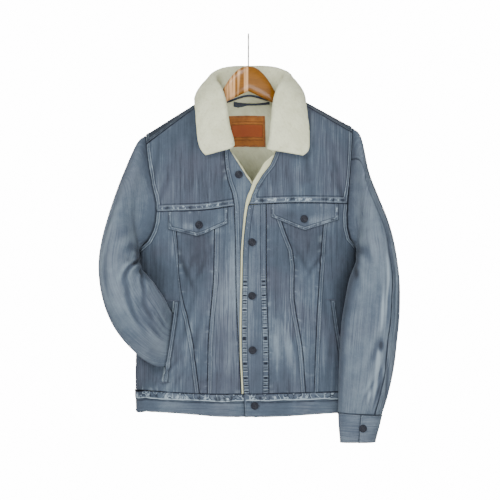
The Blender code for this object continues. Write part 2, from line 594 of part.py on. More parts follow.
def front_yoke(part):
    """From the shoulder seam to the chest seam. The right one reaches the front edge."""
    hand = part["hand"]
    rows = [row for row in YOKE_TOP if row[2] < 0 and row[0] * hand > 0]
    shoulder = [(x, float(ridge(np.array(x))) - drop) for x, drop, _ in rows]
    outer_end, inner_end = (shoulder[0], shoulder[-1]) if hand < 0 else (shoulder[-1], shoulder[0])
    arm_z = steps(outer_end[1] - SEAM_GAP, 8, float(smooth_table(FRONT_YOKE_SEAM, hand * 0.21)) + SEAM_GAP)
    arm_x = smooth_table(part["armhole"], arm_z, 1) - hand * HALF_GAP
    if hand < 0:
        below = crossing(part["placket"], FRONT_YOKE_SEAM)
        neck_z = steps(inner_end[1] - SEAM_GAP, 3, part["placket"][0][0], 5, below + SEAM_GAP)
        neck_x = np.where(neck_z > part["placket"][0][0] - 1e-9, smooth_table(part["neck"], neck_z),
                          smooth_table(part["placket"], neck_z)) - HALF_GAP
        left, right, columns = (arm_x, arm_z), (neck_x, neck_z), 8
    else:
        below = crossing(part["edge"], FRONT_YOKE_SEAM)
        corner = part["neck"][-1][0]
        neck_z = steps(inner_end[1] - SEAM_GAP, 3, corner, 5, below + SEAM_GAP)
        neck_x = np.where(neck_z > corner + 1e-9, smooth_table(part["neck"], neck_z),
                          smooth_table(part["edge"], neck_z)) + HALF_GAP
        left, right, columns = (neck_x, neck_z), (arm_x, arm_z), 9
    top = [(x, z - SEAM_GAP) for x, z in shoulder]
    places = quilt(left[0], left[1], right[0], right[1], top, FRONT_YOKE_SEAM, columns, -1)
    name = "front_yoke_left" if hand < 0 else "front_yoke_right"
    return panel(name, places, CLOTH["denim"], part["layer"], lip=1 if hand < 0 else None)


def placket(part):
    hand = part["hand"]
    if hand < 0:
        top_left, top_right = part["placket"][0][0], part["edge"][0][0]
        left_z = steps(top_left, 5, crossing(part["placket"], FRONT_YOKE_SEAM) + SEAM_GAP, 8,
                       crossing(part["placket"], WAIST_SEAM) + HALF_GAP)
        right_z = steps(top_right, 5, crossing(part["edge"], FRONT_YOKE_SEAM), 8,
                        crossing(part["edge"], WAIST_SEAM) + HALF_GAP)
        left_x = smooth_table(part["placket"], left_z) + SEAM_GAP
        right_x = smooth_table(part["edge"], right_z)
        top = tuple((x, z) for z, x in part["neck"][-2:])
        left, right = (left_x, left_z), (right_x, right_z)
    else:
        left_z = steps(crossing(part["edge"], FRONT_YOKE_SEAM) - HALF_GAP, 11,
                       crossing(part["edge"], WAIST_SEAM) + HALF_GAP)
        right_z = steps(crossing(part["placket"], FRONT_YOKE_SEAM) - HALF_GAP, 11,
                        crossing(part["placket"], WAIST_SEAM) + HALF_GAP)
        left = (smooth_table(part["edge"], left_z), left_z)
        right = (smooth_table(part["placket"], right_z) - HALF_GAP, right_z)
        top = FRONT_YOKE_SEAM
    places = quilt(left[0], left[1], right[0], right[1], top, WAIST_SEAM, 3, -1)
    name = "placket_left" if hand < 0 else "placket_right"
    return panel(name, places, CLOTH["band"], part["layer"], lip=1 if hand < 0 else None)


def front_centre(part):
    hand = part["hand"]
    order = ("v_inner", "placket") if hand < 0 else ("placket", "v_inner")
    name = "front_centre_left" if hand < 0 else "front_centre_right"
    return front_panel(name, part, order[0], order[1], 3)


def waistband(name, x0, x1, columns, layer, side):
    """A stretch of the waistband. An end given as None is the side seam on that side."""
    ends = []
    for x, hand in ((x0, -1), (x1, 1)):
        across = hand * WAIST_SIDE if x is None else x(WAIST_SEAM[2][1])
        zs = steps(float(smooth_table(WAIST_SEAM, across)) - HALF_GAP, 2, float(smooth_table(HEM, across)))
        xs = hand * half_width(np.full_like(zs, hand), zs) if x is None else np.array([x(z) for z in zs])
        ends.append((xs, zs))
    (lx, lz), (rx, rz) = ends
    top = tuple((x, z - HALF_GAP) for x, z in WAIST_SEAM)
    places = quilt(lx, lz, rx, rz, top, HEM, columns, side)
    lip = 1 if layer == "under_shell" else None
    return panel(name, places, CLOTH["band"], layer, 0.0, BAND_WALL, lip)


def back_panels():
    seam_x, seam_z = {}, {}
    for hand in (-1, 1):
        seam = [(z, hand * x) for z, x in BACK_SEAM]
        top, bottom = crossing(seam, BACK_YOKE_SEAM), crossing(seam, WAIST_SEAM)
        seam_z[hand] = steps(top - HALF_GAP, BODY_ROWS, bottom + HALF_GAP)
        seam_x[hand] = hand * smooth_table(BACK_SEAM, seam_z[hand])
    places = quilt(seam_x[-1] + HALF_GAP, seam_z[-1], seam_x[1] - HALF_GAP, seam_z[1], BACK_YOKE_SEAM,
                   WAIST_SEAM, 10, 1)
    panel("back_centre", places, CLOTH["denim"])
    found = {}
    for label, part in SIDES.items():
        hand, arm = part["hand"], part["armhole"]
        top = crossing([(z, x) for z, _, x in arm], BACK_YOKE_SEAM)
        waist = float(smooth_table(WAIST_SEAM, hand * WAIST_SIDE))
        zs = steps(top - HALF_GAP, ARM_ROWS, arm[-1][0], BODY_ROWS - ARM_ROWS, waist + HALF_GAP)
        borders = (side_x(hand, zs, arm, 2, HALF_GAP), zs), (seam_x[hand] + hand * HALF_GAP, seam_z[hand])
        (lx, lz), (rx, rz) = borders if hand < 0 else borders[::-1]
        places = quilt(lx, lz, rx, rz, BACK_YOKE_SEAM, WAIST_SEAM, 6, 1)
        found[label] = panel(f"back_side_{label}", places, CLOTH["denim"])
    return found


def armhole_ring(part, yoke, front, lower, behind):
    """The armhole's points and normals, from the tip down the front to the armpit and up the back."""
    edge, beside = (0, 1) if part["hand"] < 0 else (-1, -2)
    tip, armpit = part["armhole"][0][0], part["armhole"][-1][0]
    walk = [(yoke, row) for row in (3, 2, 1)] + [(front, row) for row in range(0, 8)]
    walk += [(lower, row) for row in range(0, 5)] + [(behind, row) for row in (3, 2, 1, 0)]
    walk += [(yoke, row) for row in range(11, 3, -1)]
    points, normals = [], []
    for (grid, facing), row in walk:
        point = grid[row, edge]
        away = point - grid[row, beside]
        low = np.clip((tip - point[2]) / (tip - armpit), 0, 1)
        points.append(point + away / np.linalg.norm(away) * (SLEEVE_GAP + ARMPIT_GAP * low**2))
        normals.append(facing[row, edge])
    return np.array(points), np.array(normals)


ARMPIT_POINT = 15


def ring_turns(points, armpit):
    """How far round each point of the armhole lies: 0 at the tip, 0.5 at the armpit."""
    step = np.linalg.norm(np.diff(np.concatenate([points, points[:1]]), axis=0), axis=1)
    length = np.concatenate([[0], np.cumsum(step)])
    front = length[:armpit + 1] / length[armpit] * 0.5
    back = 0.5 + (length[armpit:-1] - length[armpit]) / (length[-1] - length[armpit]) * 0.5
    return np.concatenate([front, back[1:]])


def ring_points(table, at, turns):
    """A ring of a sleeve at a place along its table, a row number that may lie between rows.

    A turn counts the length along the ring: 0 at its outer point, 0.25 in front, 0.5 at its inner point.
    """
    rows = [[i] + list(row) for i, row in enumerate(table)]
    ox, oz, ix, iz, middle, depth = (float(smooth_table(rows, at, column)) for column in range(1, 7))
    angle = np.linspace(0, 2 * math.pi, RING_SAMPLES + 1)
    reach, lift = np.cos(angle), -np.sin(angle)
    round_off = (np.abs(reach) ** RING_ROUNDNESS + np.abs(lift) ** RING_ROUNDNESS) ** (-1 / RING_ROUNDNESS)
    reach, lift = reach * round_off, lift * round_off
    centre = np.array([(ox + ix) / 2, middle, (oz + iz) / 2])
    half = np.array([(ox - ix) / 2, 0, (oz - iz) / 2])
    ring = centre + half * reach[:, None] + np.array([0, depth, 0]) * lift[:, None]
    length = np.concatenate([[0], np.cumsum(np.linalg.norm(np.diff(ring, axis=0), axis=1))])
    return np.stack([np.interp(turns, length / length[-1], ring[:, axis]) for axis in range(3)], axis=-1)


def tube_normals(grid):
    """Normals of a tube given as rings, facing away from its middle."""
    round_it = np.roll(grid, -1, axis=1) - np.roll(grid, 1, axis=1)
    along_it = np.gradient(grid, axis=0)
    normal = np.cross(round_it, along_it)
    normal /= np.linalg.norm(normal, axis=-1, keepdims=True)
    away = grid - grid.mean(axis=1, keepdims=True)
    return normal * np.sign((normal * away).sum(axis=(1, 2)))[:, None, None]


def fold_tube(grid, normals, at, turns, folds):
    signed = np.where(turns <= 0.5, -turns, 1 - turns)
    for place, turn, long, wide, depth in folds:
        along_it = np.exp(-((at - place) / long) ** 2)
        beside = np.exp(-((signed - turn) / wide) ** 2)
        grid = grid - normals * (depth * along_it[:, None] * beside[None])[..., None]
    return grid


def sleeve(label, table, folds, ring, ring_normals, seams):
    """Two sleeve pieces about one tube, parted along two columns of it."""
    turns = ring_turns(ring, ARMPIT_POINT)
    at = np.linspace(0.0, len(table) - 1, int(1.25 * len(table)))
    rings = [ring] + [ring_points(table, place, turns) for place in at]
    grid = np.array(rings)
    places = np.concatenate([[-1.0], at])
    normals = tube_normals(grid)
    normals[0] += ring_normals
    normals[0] /= np.linalg.norm(normals[0], axis=-1, keepdims=True)
    grid = fold_tube(grid, normals, places, turns, folds)
    count = len(turns)
    for name, first, last in (("top", seams[0], seams[1]), ("under", seams[1], seams[0])):
        columns = [(first + i) % count for i in range((last - first) % count + 1)]
        piece, facing = grid[:, columns].copy(), normals[:, columns]
        for edge, beside in ((0, 1), (-1, -2)):
            inwards = piece[:, beside] - piece[:, edge]
            piece[:, edge] += inwards / np.linalg.norm(inwards, axis=-1, keepdims=True) * SLEEVE_PARTING
        wall_mesh(f"sleeve_{name}_{label}", piece.reshape(-1, 3), facing.reshape(-1, 3),
                  grid_quads(*piece.shape[:2]), 0.0, DENIM_WALL, CLOTH["denim"])
    return grid, normals


def cuff(label, table, start, lift):
    """A band round the sleeve's end. Where lift isn't zero its end laps over its start."""
    count = 24
    at = np.linspace(0, len(table) - 1, 4)
    if lift == 0:
        turns = np.arange(count) / count
        grid = np.array([ring_points(table, place, turns) for place in at])
        normals = tube_normals(grid)
        quads = grid_quads(len(at), count, wrap=True)
    else:
        steps_round = np.linspace(0, 1.06, count + 2)
        turns = (start + steps_round) % 1.0
        grid = np.array([ring_points(table, place, turns) for place in at])
        ahead = np.array([ring_points(table, place, (turns + 0.01) % 1.0) for place in at])
        behind = np.array([ring_points(table, place, (turns - 0.01) % 1.0) for place in at])
        normals = np.cross(ahead - behind, np.gradient(grid, axis=0))
        normals /= np.linalg.norm(normals, axis=-1, keepdims=True)
        away = grid - grid.mean(axis=1, keepdims=True)
        normals *= np.sign((normals * away).sum(axis=(1, 2)))[:, None, None]
        rise = 1 - fade((steps_round - 0.86) / 0.13)
        grid = grid + normals * (lift * rise)[None, :, None]
        quads = grid_quads(len(at), count + 2)
    wall_mesh(f"cuff_{label}", grid.reshape(-1, 3), normals.reshape(-1, 3), quads, 0.0, CUFF_WALL,
              CLOTH["band"])
    return grid, normals


def neck_foot(side, at):
    """A point of the neck seam and the body's normal there."""
    if side < 0:
        hand_table = NECK_LEFT if at[1] < 0 else NECK_RIGHT
        x, z = float(smooth_table(hand_table, at[0])), at[0]
    else:
        rows = [row for row in YOKE_TOP if row[2] > 0]
        x = at[0]
        drop = float(np.interp(x, [row[0] for row in rows], [row[1] for row in rows]))
        z = float(ridge(np.array(x))) - drop
    angle, arch = surface_place(np.array(x), np.array(z), side)
    layer = "under_shell" if side < 0 and x < 0 else "shell"
    return body_point(angle, arch, layer), body_normal(angle, arch, layer)


def collar():
    """The collar's middle surface, from the foot up over the fold to the free edge, given its wall."""
    foot, facing = [], []
    for side, at, rx, _, _, _, _, _ in COLLAR:
        point, normal = neck_foot(side, (at, rx))
        foot.append(point)
        facing.append(normal)
    foot, facing = np.array(foot), np.array(facing)
    run = np.gradient(foot, axis=0)
    run /= np.linalg.norm(run, axis=1, keepdims=True)
    grid = []
    for row, point, normal, tangent in zip(COLLAR, foot, facing, run):
        fold_top, edge = np.array(row[2:5]), np.array(row[5:8])
        inward = np.cross(tangent, normal)
        inward /= np.linalg.norm(inward)
        base = point - normal * COLLAR_FOOT + inward * COLLAR_CLEAR
        up = fold_top - (base + edge) / 2
        up -= tangent * np.dot(up, tangent)
        up /= np.linalg.norm(up)
        out = np.cross(up, tangent)
        middle = fold_top - up * COLLAR_FOLD
        arc = [middle - out * COLLAR_FOLD * math.cos(a) + up * COLLAR_FOLD * math.sin(a)
               for a in np.linspace(0, math.pi, 6)]
        second = base + (inward + up) * COLLAR_RISE
        stand = [second * (1 - t) + arc[0] * t for t in (0.33, 0.67)]
        swell = COLLAR_SWELL * np.linalg.norm(edge - arc[-1])
        fall = [arc[-1] * (1 - t) + edge * t + out * swell * 4 * t * (1 - t) for t in (0.25, 0.5, 0.75)]
        grid.append([base, second] + stand + arc + fall + [edge])
    grid = np.array(grid)
    normals = np.cross(np.gradient(grid, axis=1), np.gradient(grid, axis=0))
    normals /= np.linalg.norm(normals, axis=-1, keepdims=True)
    if (normals[:, 0] * facing).sum() > 0:
        normals = -normals
    normals[:, 0] = -facing
    half = COLLAR_WALL / 2
    wall_mesh("collar", grid.reshape(-1, 3), normals.reshape(-1, 3), grid_quads(*grid.shape[:2]), -half, half,
              CLOTH["sherpa"])


def by_arch(table, arches, column=1):
    """Places across and heights of a seam that runs down, at given arch positions."""
    x = np.full_like(arches, table[0][column])
    for _ in range(8):
        z = ridge(x) - drop_of(arches)
        x = smooth_table(table, z, column)
    return x, z


def lining_walls(near, arch):
    """Inner and outer offsets of a lining, close to the shell where near is one, loosest by the armpits."""
    armpit = np.exp(-(((np.abs(arch) - ARMPIT_ARCH) / ARMPIT_REACH) ** 2))
    gap = LINING_LOOSE - (LINING_LOOSE - LINING_GAP) * near + ARMPIT_ROOM * armpit * (1 - near)
    return -(gap + LINING_WALL).reshape(-1, 1), -gap.reshape(-1, 1)


# Rows of a lining over the shoulder, down the armhole and down the side.
LINING_ROWS = {-1: (8, 5, 7), 1: (8, 4, 5)}


def lining_arches(part, side, bottom_x):
    """Arch positions down the armhole and the side seam: evenly over the shoulder, then to the waist."""
    shoulder, arm, flank = LINING_ROWS[side]
    armpit = float(arch_of(ridge(np.array(part["armhole"][-1][1])) - part["armhole"][-1][0]))
    waist = float(arch_of(ridge(np.array(bottom_x)) - smooth_table(WAIST_SEAM, bottom_x)))
    return steps(RIDGE_SEAM, shoulder, 1.0, arm, armpit, flank, waist)


def front_lining(label, part):
    hand, arm = part["hand"], part["armhole"]
    arches = lining_arches(part, -1, hand * WAIST_SIDE)
    arm_x, arm_z = by_arch(arm, arches, 1)
    outer_x = side_x(hand, arm_z, arm, 1, ARM_ROOM + TIP_ROOM * fade(arches / TIP_ARCH))
    corner = part["neck"][-1][0]
    corner_arch = float(arch_of(ridge(np.array(part["neck"][-1][1])) - corner))
    neck_x, neck_z = by_arch(part["neck"], np.linspace(RIDGE_SEAM, corner_arch, 9))
    neck_x = neck_x + hand * NECK_ROOM
    edge_z = steps(corner - 0.0015, 2, -0.300, 4, -0.400, 5, crossing(part["edge"], WAIST_SEAM))
    shown = 0.004 if hand < 0 else -smooth_table(SHERPA_SHOWS, edge_z)
    edge_x = smooth_table(part["edge"], edge_z) + shown
    inner_x = np.concatenate([neck_x, edge_x])
    inner_z = np.concatenate([neck_z, edge_z])
    layer = "under_lining" if hand < 0 else "lining"
    outer, inner = border(outer_x, arm_z, -1), border(inner_x, inner_z, -1)
    outer[0, 1] = inner[0, 1] = -RIDGE_SEAM
    left, right = (outer, inner) if hand < 0 else (inner, outer)
    columns = 13 if hand < 0 else 11
    top = np.linspace(left[0], right[0], columns + 1)
    corners = ((outer_x[-1], arm_z[-1]), (inner_x[-1], inner_z[-1]))
    (x0, z0), (x1, z1) = corners if hand < 0 else corners[::-1]
    places = coons(left, right, top, along(WAIST_SEAM, x0, x1, z0, z1, columns, -1))
    beside = np.arange(columns + 1) - 1.0
    across = fade((beside[::-1] if hand < 0 else beside) / 3)
    below = 1 - fade((np.abs(places[..., 1]) - 1) / 0.25)
    walls = lining_walls(across[None] * below, places[..., 1])
    panel(f"lining_front_{label}", places, CLOTH["sherpa"], layer, *walls)


def back_lining():
    sides = []
    for part in SIDES.values():
        arches = lining_arches(part, 1, part["hand"] * WAIST_SIDE)
        x, z = by_arch(part["armhole"], arches, 2)
        room = ARM_ROOM + TIP_ROOM * fade(arches / TIP_ARCH)
        places = border(side_x(part["hand"], z, part["armhole"], 2, room), z, 1)
        places[0, 1] = RIDGE_SEAM
        sides.append(places)
    xs = np.array([row[0] for row in YOKE_TOP])
    drops = np.array([row[1] + NECK_ROOM if row[2] > 0 else 0.0 for row in YOKE_TOP])
    top = border(xs, ridge(xs) - drops, 1)
    top[:, 1] = np.maximum(top[:, 1], RIDGE_SEAM)
    bottom_x = np.linspace(-0.2455, 0.2330, len(xs))
    bottom = border(bottom_x, smooth_table(WAIST_SEAM, bottom_x), 1)
    top[0], top[-1], bottom[0], bottom[-1] = sides[0][0], sides[1][0], sides[0][-1], sides[1][-1]
    places = coons(sides[0], sides[1], top, bottom)
    walls = lining_walls(np.zeros(places.shape[:2]), places[..., 1])
    panel("lining_back", places, CLOTH["sherpa"], "lining", *walls)


def flap(label, x0, x1, lows):
    """A pointed pocket flap, laid on the panels below the yoke seam."""
    part = SIDES[label]
    xs = np.linspace(x0, x1, 9)
    tops = smooth_table(FRONT_YOKE_SEAM, xs) - SEAM_GAP
    lows_at = np.interp(xs, [x for x, _ in lows], [z for _, z in lows])
    share = np.linspace(0, 1, 5)[:, None]
    zs = tops * (1 - share) + lows_at * share
    places = border(np.broadcast_to(xs, zs.shape), zs, -1)
    lip = 1 if part["hand"] < 0 else None
    inner = DENIM_WALL + FLAP_GAP
    panel(f"flap_{label}", places, CLOTH["band"], part["layer"], inner, inner + DENIM_WALL, lip)


def welt(label, width):
    """The strip along the pocket slit's inner lip, on the same rows as the panel below it."""
    part = SIDES[label]
    zs = np.linspace(part["pocket"][2][0], part["pocket"][-2][0], 7)
    hand = part["hand"]
    xs = smooth_table(part["pocket"], zs)[:, None] - hand * (BUTTON_GAP + np.array([0.0, width]))[None]
    xs = xs if hand < 0 else xs[:, ::-1]
    places = border(xs, np.broadcast_to(zs[:, None], xs.shape), -1)
    inner = DENIM_WALL + WELT_GAP[label]
    panel(f"welt_{label}", places, CLOTH["band"], part["layer"], inner, inner + DENIM_WALL,
          1 if hand < 0 else None)


def inside_patch():
    """The plain leather patch and the hanging loop on the back lining, inside the neck."""
    behind = -(LINING_LOOSE + LINING_WALL + PATCH_GAP)
    xs, zs = np.meshgrid(np.linspace(-0.046, 0.038, 6), np.linspace(-0.174, -0.246, 5))
    panel("neck_patch", border(xs, zs, 1), CLOTH["leather"], "lining", behind - LEATHER_WALL, behind)
    share = np.linspace(0, 1, 9)
    sag = 0.0055 * (1 - (2 * share - 1) ** 2)
    xs = np.stack([-0.036 + 0.086 * share] * 2)
    zs = np.stack([-0.1410 - sag, -0.1455 - sag])
    behind -= LOOP_WALL
    panel("hanging_loop", border(xs, zs, 1), CLOTH["loop"], "lining", behind - LOOP_WALL, behind)


def button(name, point, normal, radius=BUTTON_RADIUS):
    """A turned tack button whose base lies on the cloth."""
    profile = ((0.0, 0.0030), (0.35, 0.0034), (0.62, 0.0030), (0.74, 0.0036), (0.92, 0.0034), (1.0, 0.0022),
               (0.94, 0.0008), (0.55, 0.0), (0.0, 0.0))
    mesh = bpy.data.meshes.new(name)
    mesh.from_pydata([(share * radius, 0, z) for share, z in profile],
                     [(i, i + 1) for i in range(len(profile) - 1)], [])
    piece = bpy.data.objects.new(name, mesh)
    piece.data.materials.append(CLOTH["button"])
    PARTS.objects.link(piece)
    turned = piece.modifiers.new("Turned", "SCREW")
    turned.axis = "Z"
    turned.steps = turned.render_steps = 12
    turned.use_merge_vertices = True
    turned.merge_threshold = 1e-5
    piece.location = point
    piece.rotation_euler = Vector(normal).to_track_quat("Z", "Y").to_euler()


def body_button(name, x, z, layer, lift):
    angle, arch = surface_place(np.array(x), np.array(z), -1)
    lip = 1 if layer == "under_shell" else None
    point, normal = body_point(angle, arch, layer, lip), body_normal(angle, arch, layer, lip)
    button(name, point + normal * (lift + BUTTON_GAP), normal)


def cuff_button(grid, normals):
    """The button on the right cuff's lapped end."""
    off = (grid[..., 0] - CUFF_BUTTON[0]) ** 2 + (grid[..., 2] - CUFF_BUTTON[1]) ** 2
    off[:, :-LAP_COLUMNS] = 1.0
    row, column = np.unravel_index(np.argmin(off), off.shape)
    normal = normals[row, column]
    button("button_cuff_right", grid[row, column] + normal * (CUFF_WALL + BUTTON_GAP), normal)


def hanger():
    """The wooden hanger: a hump at the middle and an arm under each shoulder."""
    stations = [(x, top, low, depth, middle) for x, top, low, depth, middle in HANGER_HUMP]
    rings = []
    for hand in (-1, 1):
        rows = list(stations if hand > 0 else stations[1:])
        for x, height, middle, drop in HANGER_ARM:
            top = float(ridge(np.array(hand * x))) - HANGER_BELOW_RIDGE - drop
            rows.append((x, top, top - height, HANGER_ARM_DEPTH * min(1, height / 0.018), middle))
        made = [(hand * row[0],) + row[1:] for row in rows]
        rings = made[::-1] if hand < 0 else rings + made
    loops = []
    for x, top, low, depth, middle in rings:
        turn = math.pi / 2 + np.linspace(0, 2 * math.pi, HANGER_SIDES + 1)[:-1]
        across, upright = np.cos(turn), np.sin(turn)
        square = (np.abs(across) ** 2.4 + np.abs(upright) ** 2.4) ** (-1 / 2.4)
        loops.append(np.stack([np.full(HANGER_SIDES, x), middle + depth * across * square,
                               (top + low) / 2 + (top - low) / 2 * upright * square], axis=-1))
    points = np.concatenate(loops)
    count = len(loops)
    faces = [tuple(reversed(quad)) for quad in grid_quads(count, HANGER_SIDES, wrap=True)]
    last = (count - 1) * HANGER_SIDES
    faces += [tuple(range(HANGER_SIDES))[::-1], tuple(range(last, last + HANGER_SIDES))]
    volume = sum(np.dot(points[f[0]], np.cross(points[f[i]], points[f[i + 1]]))
                 for f in faces for i in range(1, len(f) - 1))
    if volume < 0:
        faces = [tuple(reversed(face)) for face in faces]
    mesh_object("hanger_wood", points, faces, CLOTH["wood"])


def hook():
    """The steel hook, a round wire edge on to the front. Its loop's inner top is the origin."""
    middle = HANGER_HUMP[0][4]
    radius = HOOK_RADIUS
    loop_z = HOOK_WIRE / 2 - radius
    start = math.radians(-62)
    turn = np.linspace(start, math.radians(205), 21)
    arc = [(0, radius * math.cos(a), loop_z + radius * math.sin(a)) for a in turn]
    foot = HANGER_HUMP[0][1] + OVERLAY_GAP
    stem = [(0, middle, z) for z in np.linspace(foot, loop_z - radius - 0.014, 4)]
    end, begin = np.array(stem[-1]), np.array(arc[0])
    lean_in = np.array([0, 0, 1.0]) * 0.016
    lean_out = np.array([0, -math.sin(start), math.cos(start)]) * 0.016
    bend = []
    for t in (0.2, 0.4, 0.6, 0.8):
        rise = 3 * t**2 - 2 * t**3
        bend.append(end * (1 - rise) + begin * rise + lean_in * (t - 2 * t**2 + t**3)
                    + lean_out * (t**3 - t**2))
    points = stem + [tuple(point) for point in bend] + arc
    curve = bpy.data.curves.new("hanger_hook", "CURVE")
    curve.dimensions = "3D"
    curve.bevel_depth = HOOK_WIRE / 2
    curve.bevel_resolution = 2
    curve.use_fill_caps = True
    spline = curve.splines.new("POLY")
    spline.points.add(len(points) - 1)
    for target, point in zip(spline.points, points):
        target.co = (*point, 1)
    piece = bpy.data.objects.new("hanger_hook", curve)
    piece.data.materials.append(CLOTH["steel"])
    PARTS.objects.link(piece)


def material(name, colour, roughness, metallic=0.0):
    made = bpy.data.materials.new(name)
    made.use_nodes = True
    shader = made.node_tree.nodes["Principled BSDF"]
    shader.inputs["Base Color"].default_value = colour
    shader.inputs["Roughness"].default_value = roughness
    shader.inputs["Metallic"].default_value = metallic
    return made


for old in list(bpy.data.objects):
    bpy.data.objects.remove(old)
PARTS = bpy.data.collections.new("sherpa_lined_jacket")
bpy.context.scene.collection.children.link(PARTS)
CLOTH = {
    "denim": material("denim", DENIM, 0.85),
    "band": material("denim_bands", DENIM_BAND, 0.85),
    "sherpa": material("sherpa", SHERPA, 0.95),
    "leather": material("leather", LEATHER, 0.55),
    "loop": material("loop_cloth", LOOP_CLOTH, 0.8),
    "wood": material("varnished_wood", WOOD, 0.25),
    "steel": material("steel", STEEL, 0.3, 1.0),
    "button": material("button_metal", BUTTON_METAL, 0.4, 1.0),
}

yoke_grid = back_yoke()
back_found = back_panels()
for label, part in SIDES.items():
    yoke_front = front_yoke(part)
    placket(part)
    front_centre(part)
    order = ("v_outer", "v_inner") if label == "left" else ("v_inner", "v_outer")
    front_panel(f"front_pocket_{label}", part, order[0], order[1], 4)
    if label == "left":
        lower = slit_panel("front_side_left", part)
    else:
        lower = front_panel("front_side_right", part, "v_outer", "side", 6)
    ring, ring_facing = armhole_ring(part, yoke_grid, yoke_front, lower, back_found[label])
    if label == "left":
        sleeve(label, SLEEVE_LEFT, SLEEVE_FOLDS_LEFT, ring, ring_facing, (22, 15))
        cuff(label, CUFF_LEFT, 0.0, 0.0)
    else:
        sleeve(label, SLEEVE_RIGHT, SLEEVE_FOLDS_RIGHT, ring, ring_facing, (19, 6))
        cuff_button(*cuff(label, CUFF_RIGHT, 0.19, 0.0034))
    welt(label, WELT_WIDTH)

waistband("waistband_left", None, lambda z: float(smooth_table(EDGE_LEFT, z)), 12, "under_shell", -1)
waistband("waistband_right", lambda z: float(smooth_table(EDGE_RIGHT, z)), None, 11, "shell", -1)
waistband("waistband_back", None, None, 20, "shell", 1)
flap("left", -0.175, -0.046, ((-0.175, -0.431), (-0.108, -0.447), (-0.046, -0.418)))
flap("right", 0.049, 0.196, ((0.049, -0.404), (0.121, -0.434), (0.196, -0.410)))
for label, part in SIDES.items():
    front_lining(label, part)
back_lining()
collar()
inside_patch()
for index, (name, x, z) in enumerate(FRONT_BUTTONS):
    lift = BAND_WALL if name == "button_waist" else DENIM_WALL
    body_button(name, x, z, "under_shell" if index == 0 else "shell", lift)
for (name, x, z), part in zip(FLAP_BUTTONS, SIDES.values()):
    body_button(name, x, z, part["layer"], 2 * DENIM_WALL + FLAP_GAP)
hanger()
hook()
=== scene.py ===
"""Dresses the frame of a sherpa lined denim jacket that hangs on a wooden hanger.

Metres, +Z up, the front towards -Y. The origin is the inner top of the hanger's hook. The body is one
surface: an angle runs across it from side seam to side seam, and a signed arch position runs from the
front hem (negative) over the shoulder ridge (zero) to the back hem (positive).
"""

import math

import bpy
import numpy as np
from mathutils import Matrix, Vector


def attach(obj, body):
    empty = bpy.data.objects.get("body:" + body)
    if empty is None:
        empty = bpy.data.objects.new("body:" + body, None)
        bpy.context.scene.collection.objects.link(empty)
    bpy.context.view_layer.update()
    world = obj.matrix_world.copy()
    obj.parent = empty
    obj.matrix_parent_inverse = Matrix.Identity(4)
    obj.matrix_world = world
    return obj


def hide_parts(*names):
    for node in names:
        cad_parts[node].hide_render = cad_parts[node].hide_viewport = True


bl_info = {
    "name": "Sherpa lined jacket",
    "version": (1, 0, 0),
    "blender": (4, 5, 0),
    "location": "3D View > Sidebar > Jacket",
    "description": "Cloth, pile, seams, buttons and hanger of a sherpa lined denim jacket",
    "category": "Object",
}

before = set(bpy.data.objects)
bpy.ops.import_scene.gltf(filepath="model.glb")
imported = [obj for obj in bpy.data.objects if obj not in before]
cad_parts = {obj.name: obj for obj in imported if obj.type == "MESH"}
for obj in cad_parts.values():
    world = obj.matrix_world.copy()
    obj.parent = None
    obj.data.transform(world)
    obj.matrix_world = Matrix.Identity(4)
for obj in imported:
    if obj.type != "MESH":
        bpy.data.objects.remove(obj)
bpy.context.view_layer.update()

# Driving dimensions.
SEAM_GAP = 0.0001
DENIM_WALL = 0.0018
BAND_WALL = 0.0030
CUFF_WALL = 0.0026
LAP_COLUMNS = 15  # of a lapped cuff, at its end
LINING_WALL = 0.0045
LINING_GAP = 0.0006  # between shell and lining beside the front edges
LINING_LOOSE = 0.0066  # and elsewhere
NECK_ROOM = 0.0024  # the linings stop this much short of the neck seam
ARM_ROOM, TIP_ROOM = 0.0006, 0.0130  # and of the armhole seam, and so much more at the shoulder's tip
TIP_ARCH = 0.45
ARMPIT_ARCH, ARMPIT_REACH, ARMPIT_ROOM = 1.57, 0.25, 0.0020
LEATHER_WALL = 0.0014
LOOP_WALL = 0.0012
OVERLAY_GAP = 0.0003
PATCH_GAP = 0.0018
SLEEVE_PARTING = 0.0014
FLAP_GAP = 0.0011
WELT_GAP = {"left": 0.0016, "right": 0.0003}
WELT_WIDTH = 0.0095
BUTTON_GAP = 0.0006
ROUNDNESS = 2.6  # exponent of the body's rounded section
RING_ROUNDNESS = 2.3  # and of a sleeve's
RING_SAMPLES = 240
ARCH_HEIGHT = 0.130  # the shoulder curves over within this drop below the ridge
RIDGE_TOP = -0.0775
RIDGE_SLOPE = 0.597
RIDGE_SLOPE_LEAN = 0.040  # the left shoulder drops this much more, the right one this much less
RIDGE_EASE = 0.030
OVERLAP_RECESS = 0.0085  # the under front lies this much behind the top front
OVERLAP_FROM, OVERLAP_TO = -0.074, -0.024
SLIT_IN, SLIT_OUT = 0.0225, 0.0085  # how far a sleeve in the pocket parts the two lips
SLIT_FADE_OUT, SLIT_FADE_IN = 0.085, 0.060
SLIT_SHAPE = 0.9
SIDE_STIFF = 0.022  # folds and partings die away where the cloth is nearer the middle plane than this
CUFF_REACH, CUFF_FADE = 0.085, 0.050  # how far in that reaches, and dies away
CUFF_ROOM = 0.0280  # the lining gives way this much behind the tucked cuff
COLLAR_WALL = 0.0080
COLLAR_FOLD = 0.0068
COLLAR_CLEAR = 0.0014
COLLAR_RISE = 0.0022
COLLAR_SWELL = 0.09  # how far the fall bows out, as a share of its width
COLLAR_FOOT = 0.0014  # the collar's middle lies this much inside the neck seam's outer face
HOOK_WIRE = 0.0036
HOOK_RADIUS = 0.0205
BUTTON_RADIUS = 0.0086
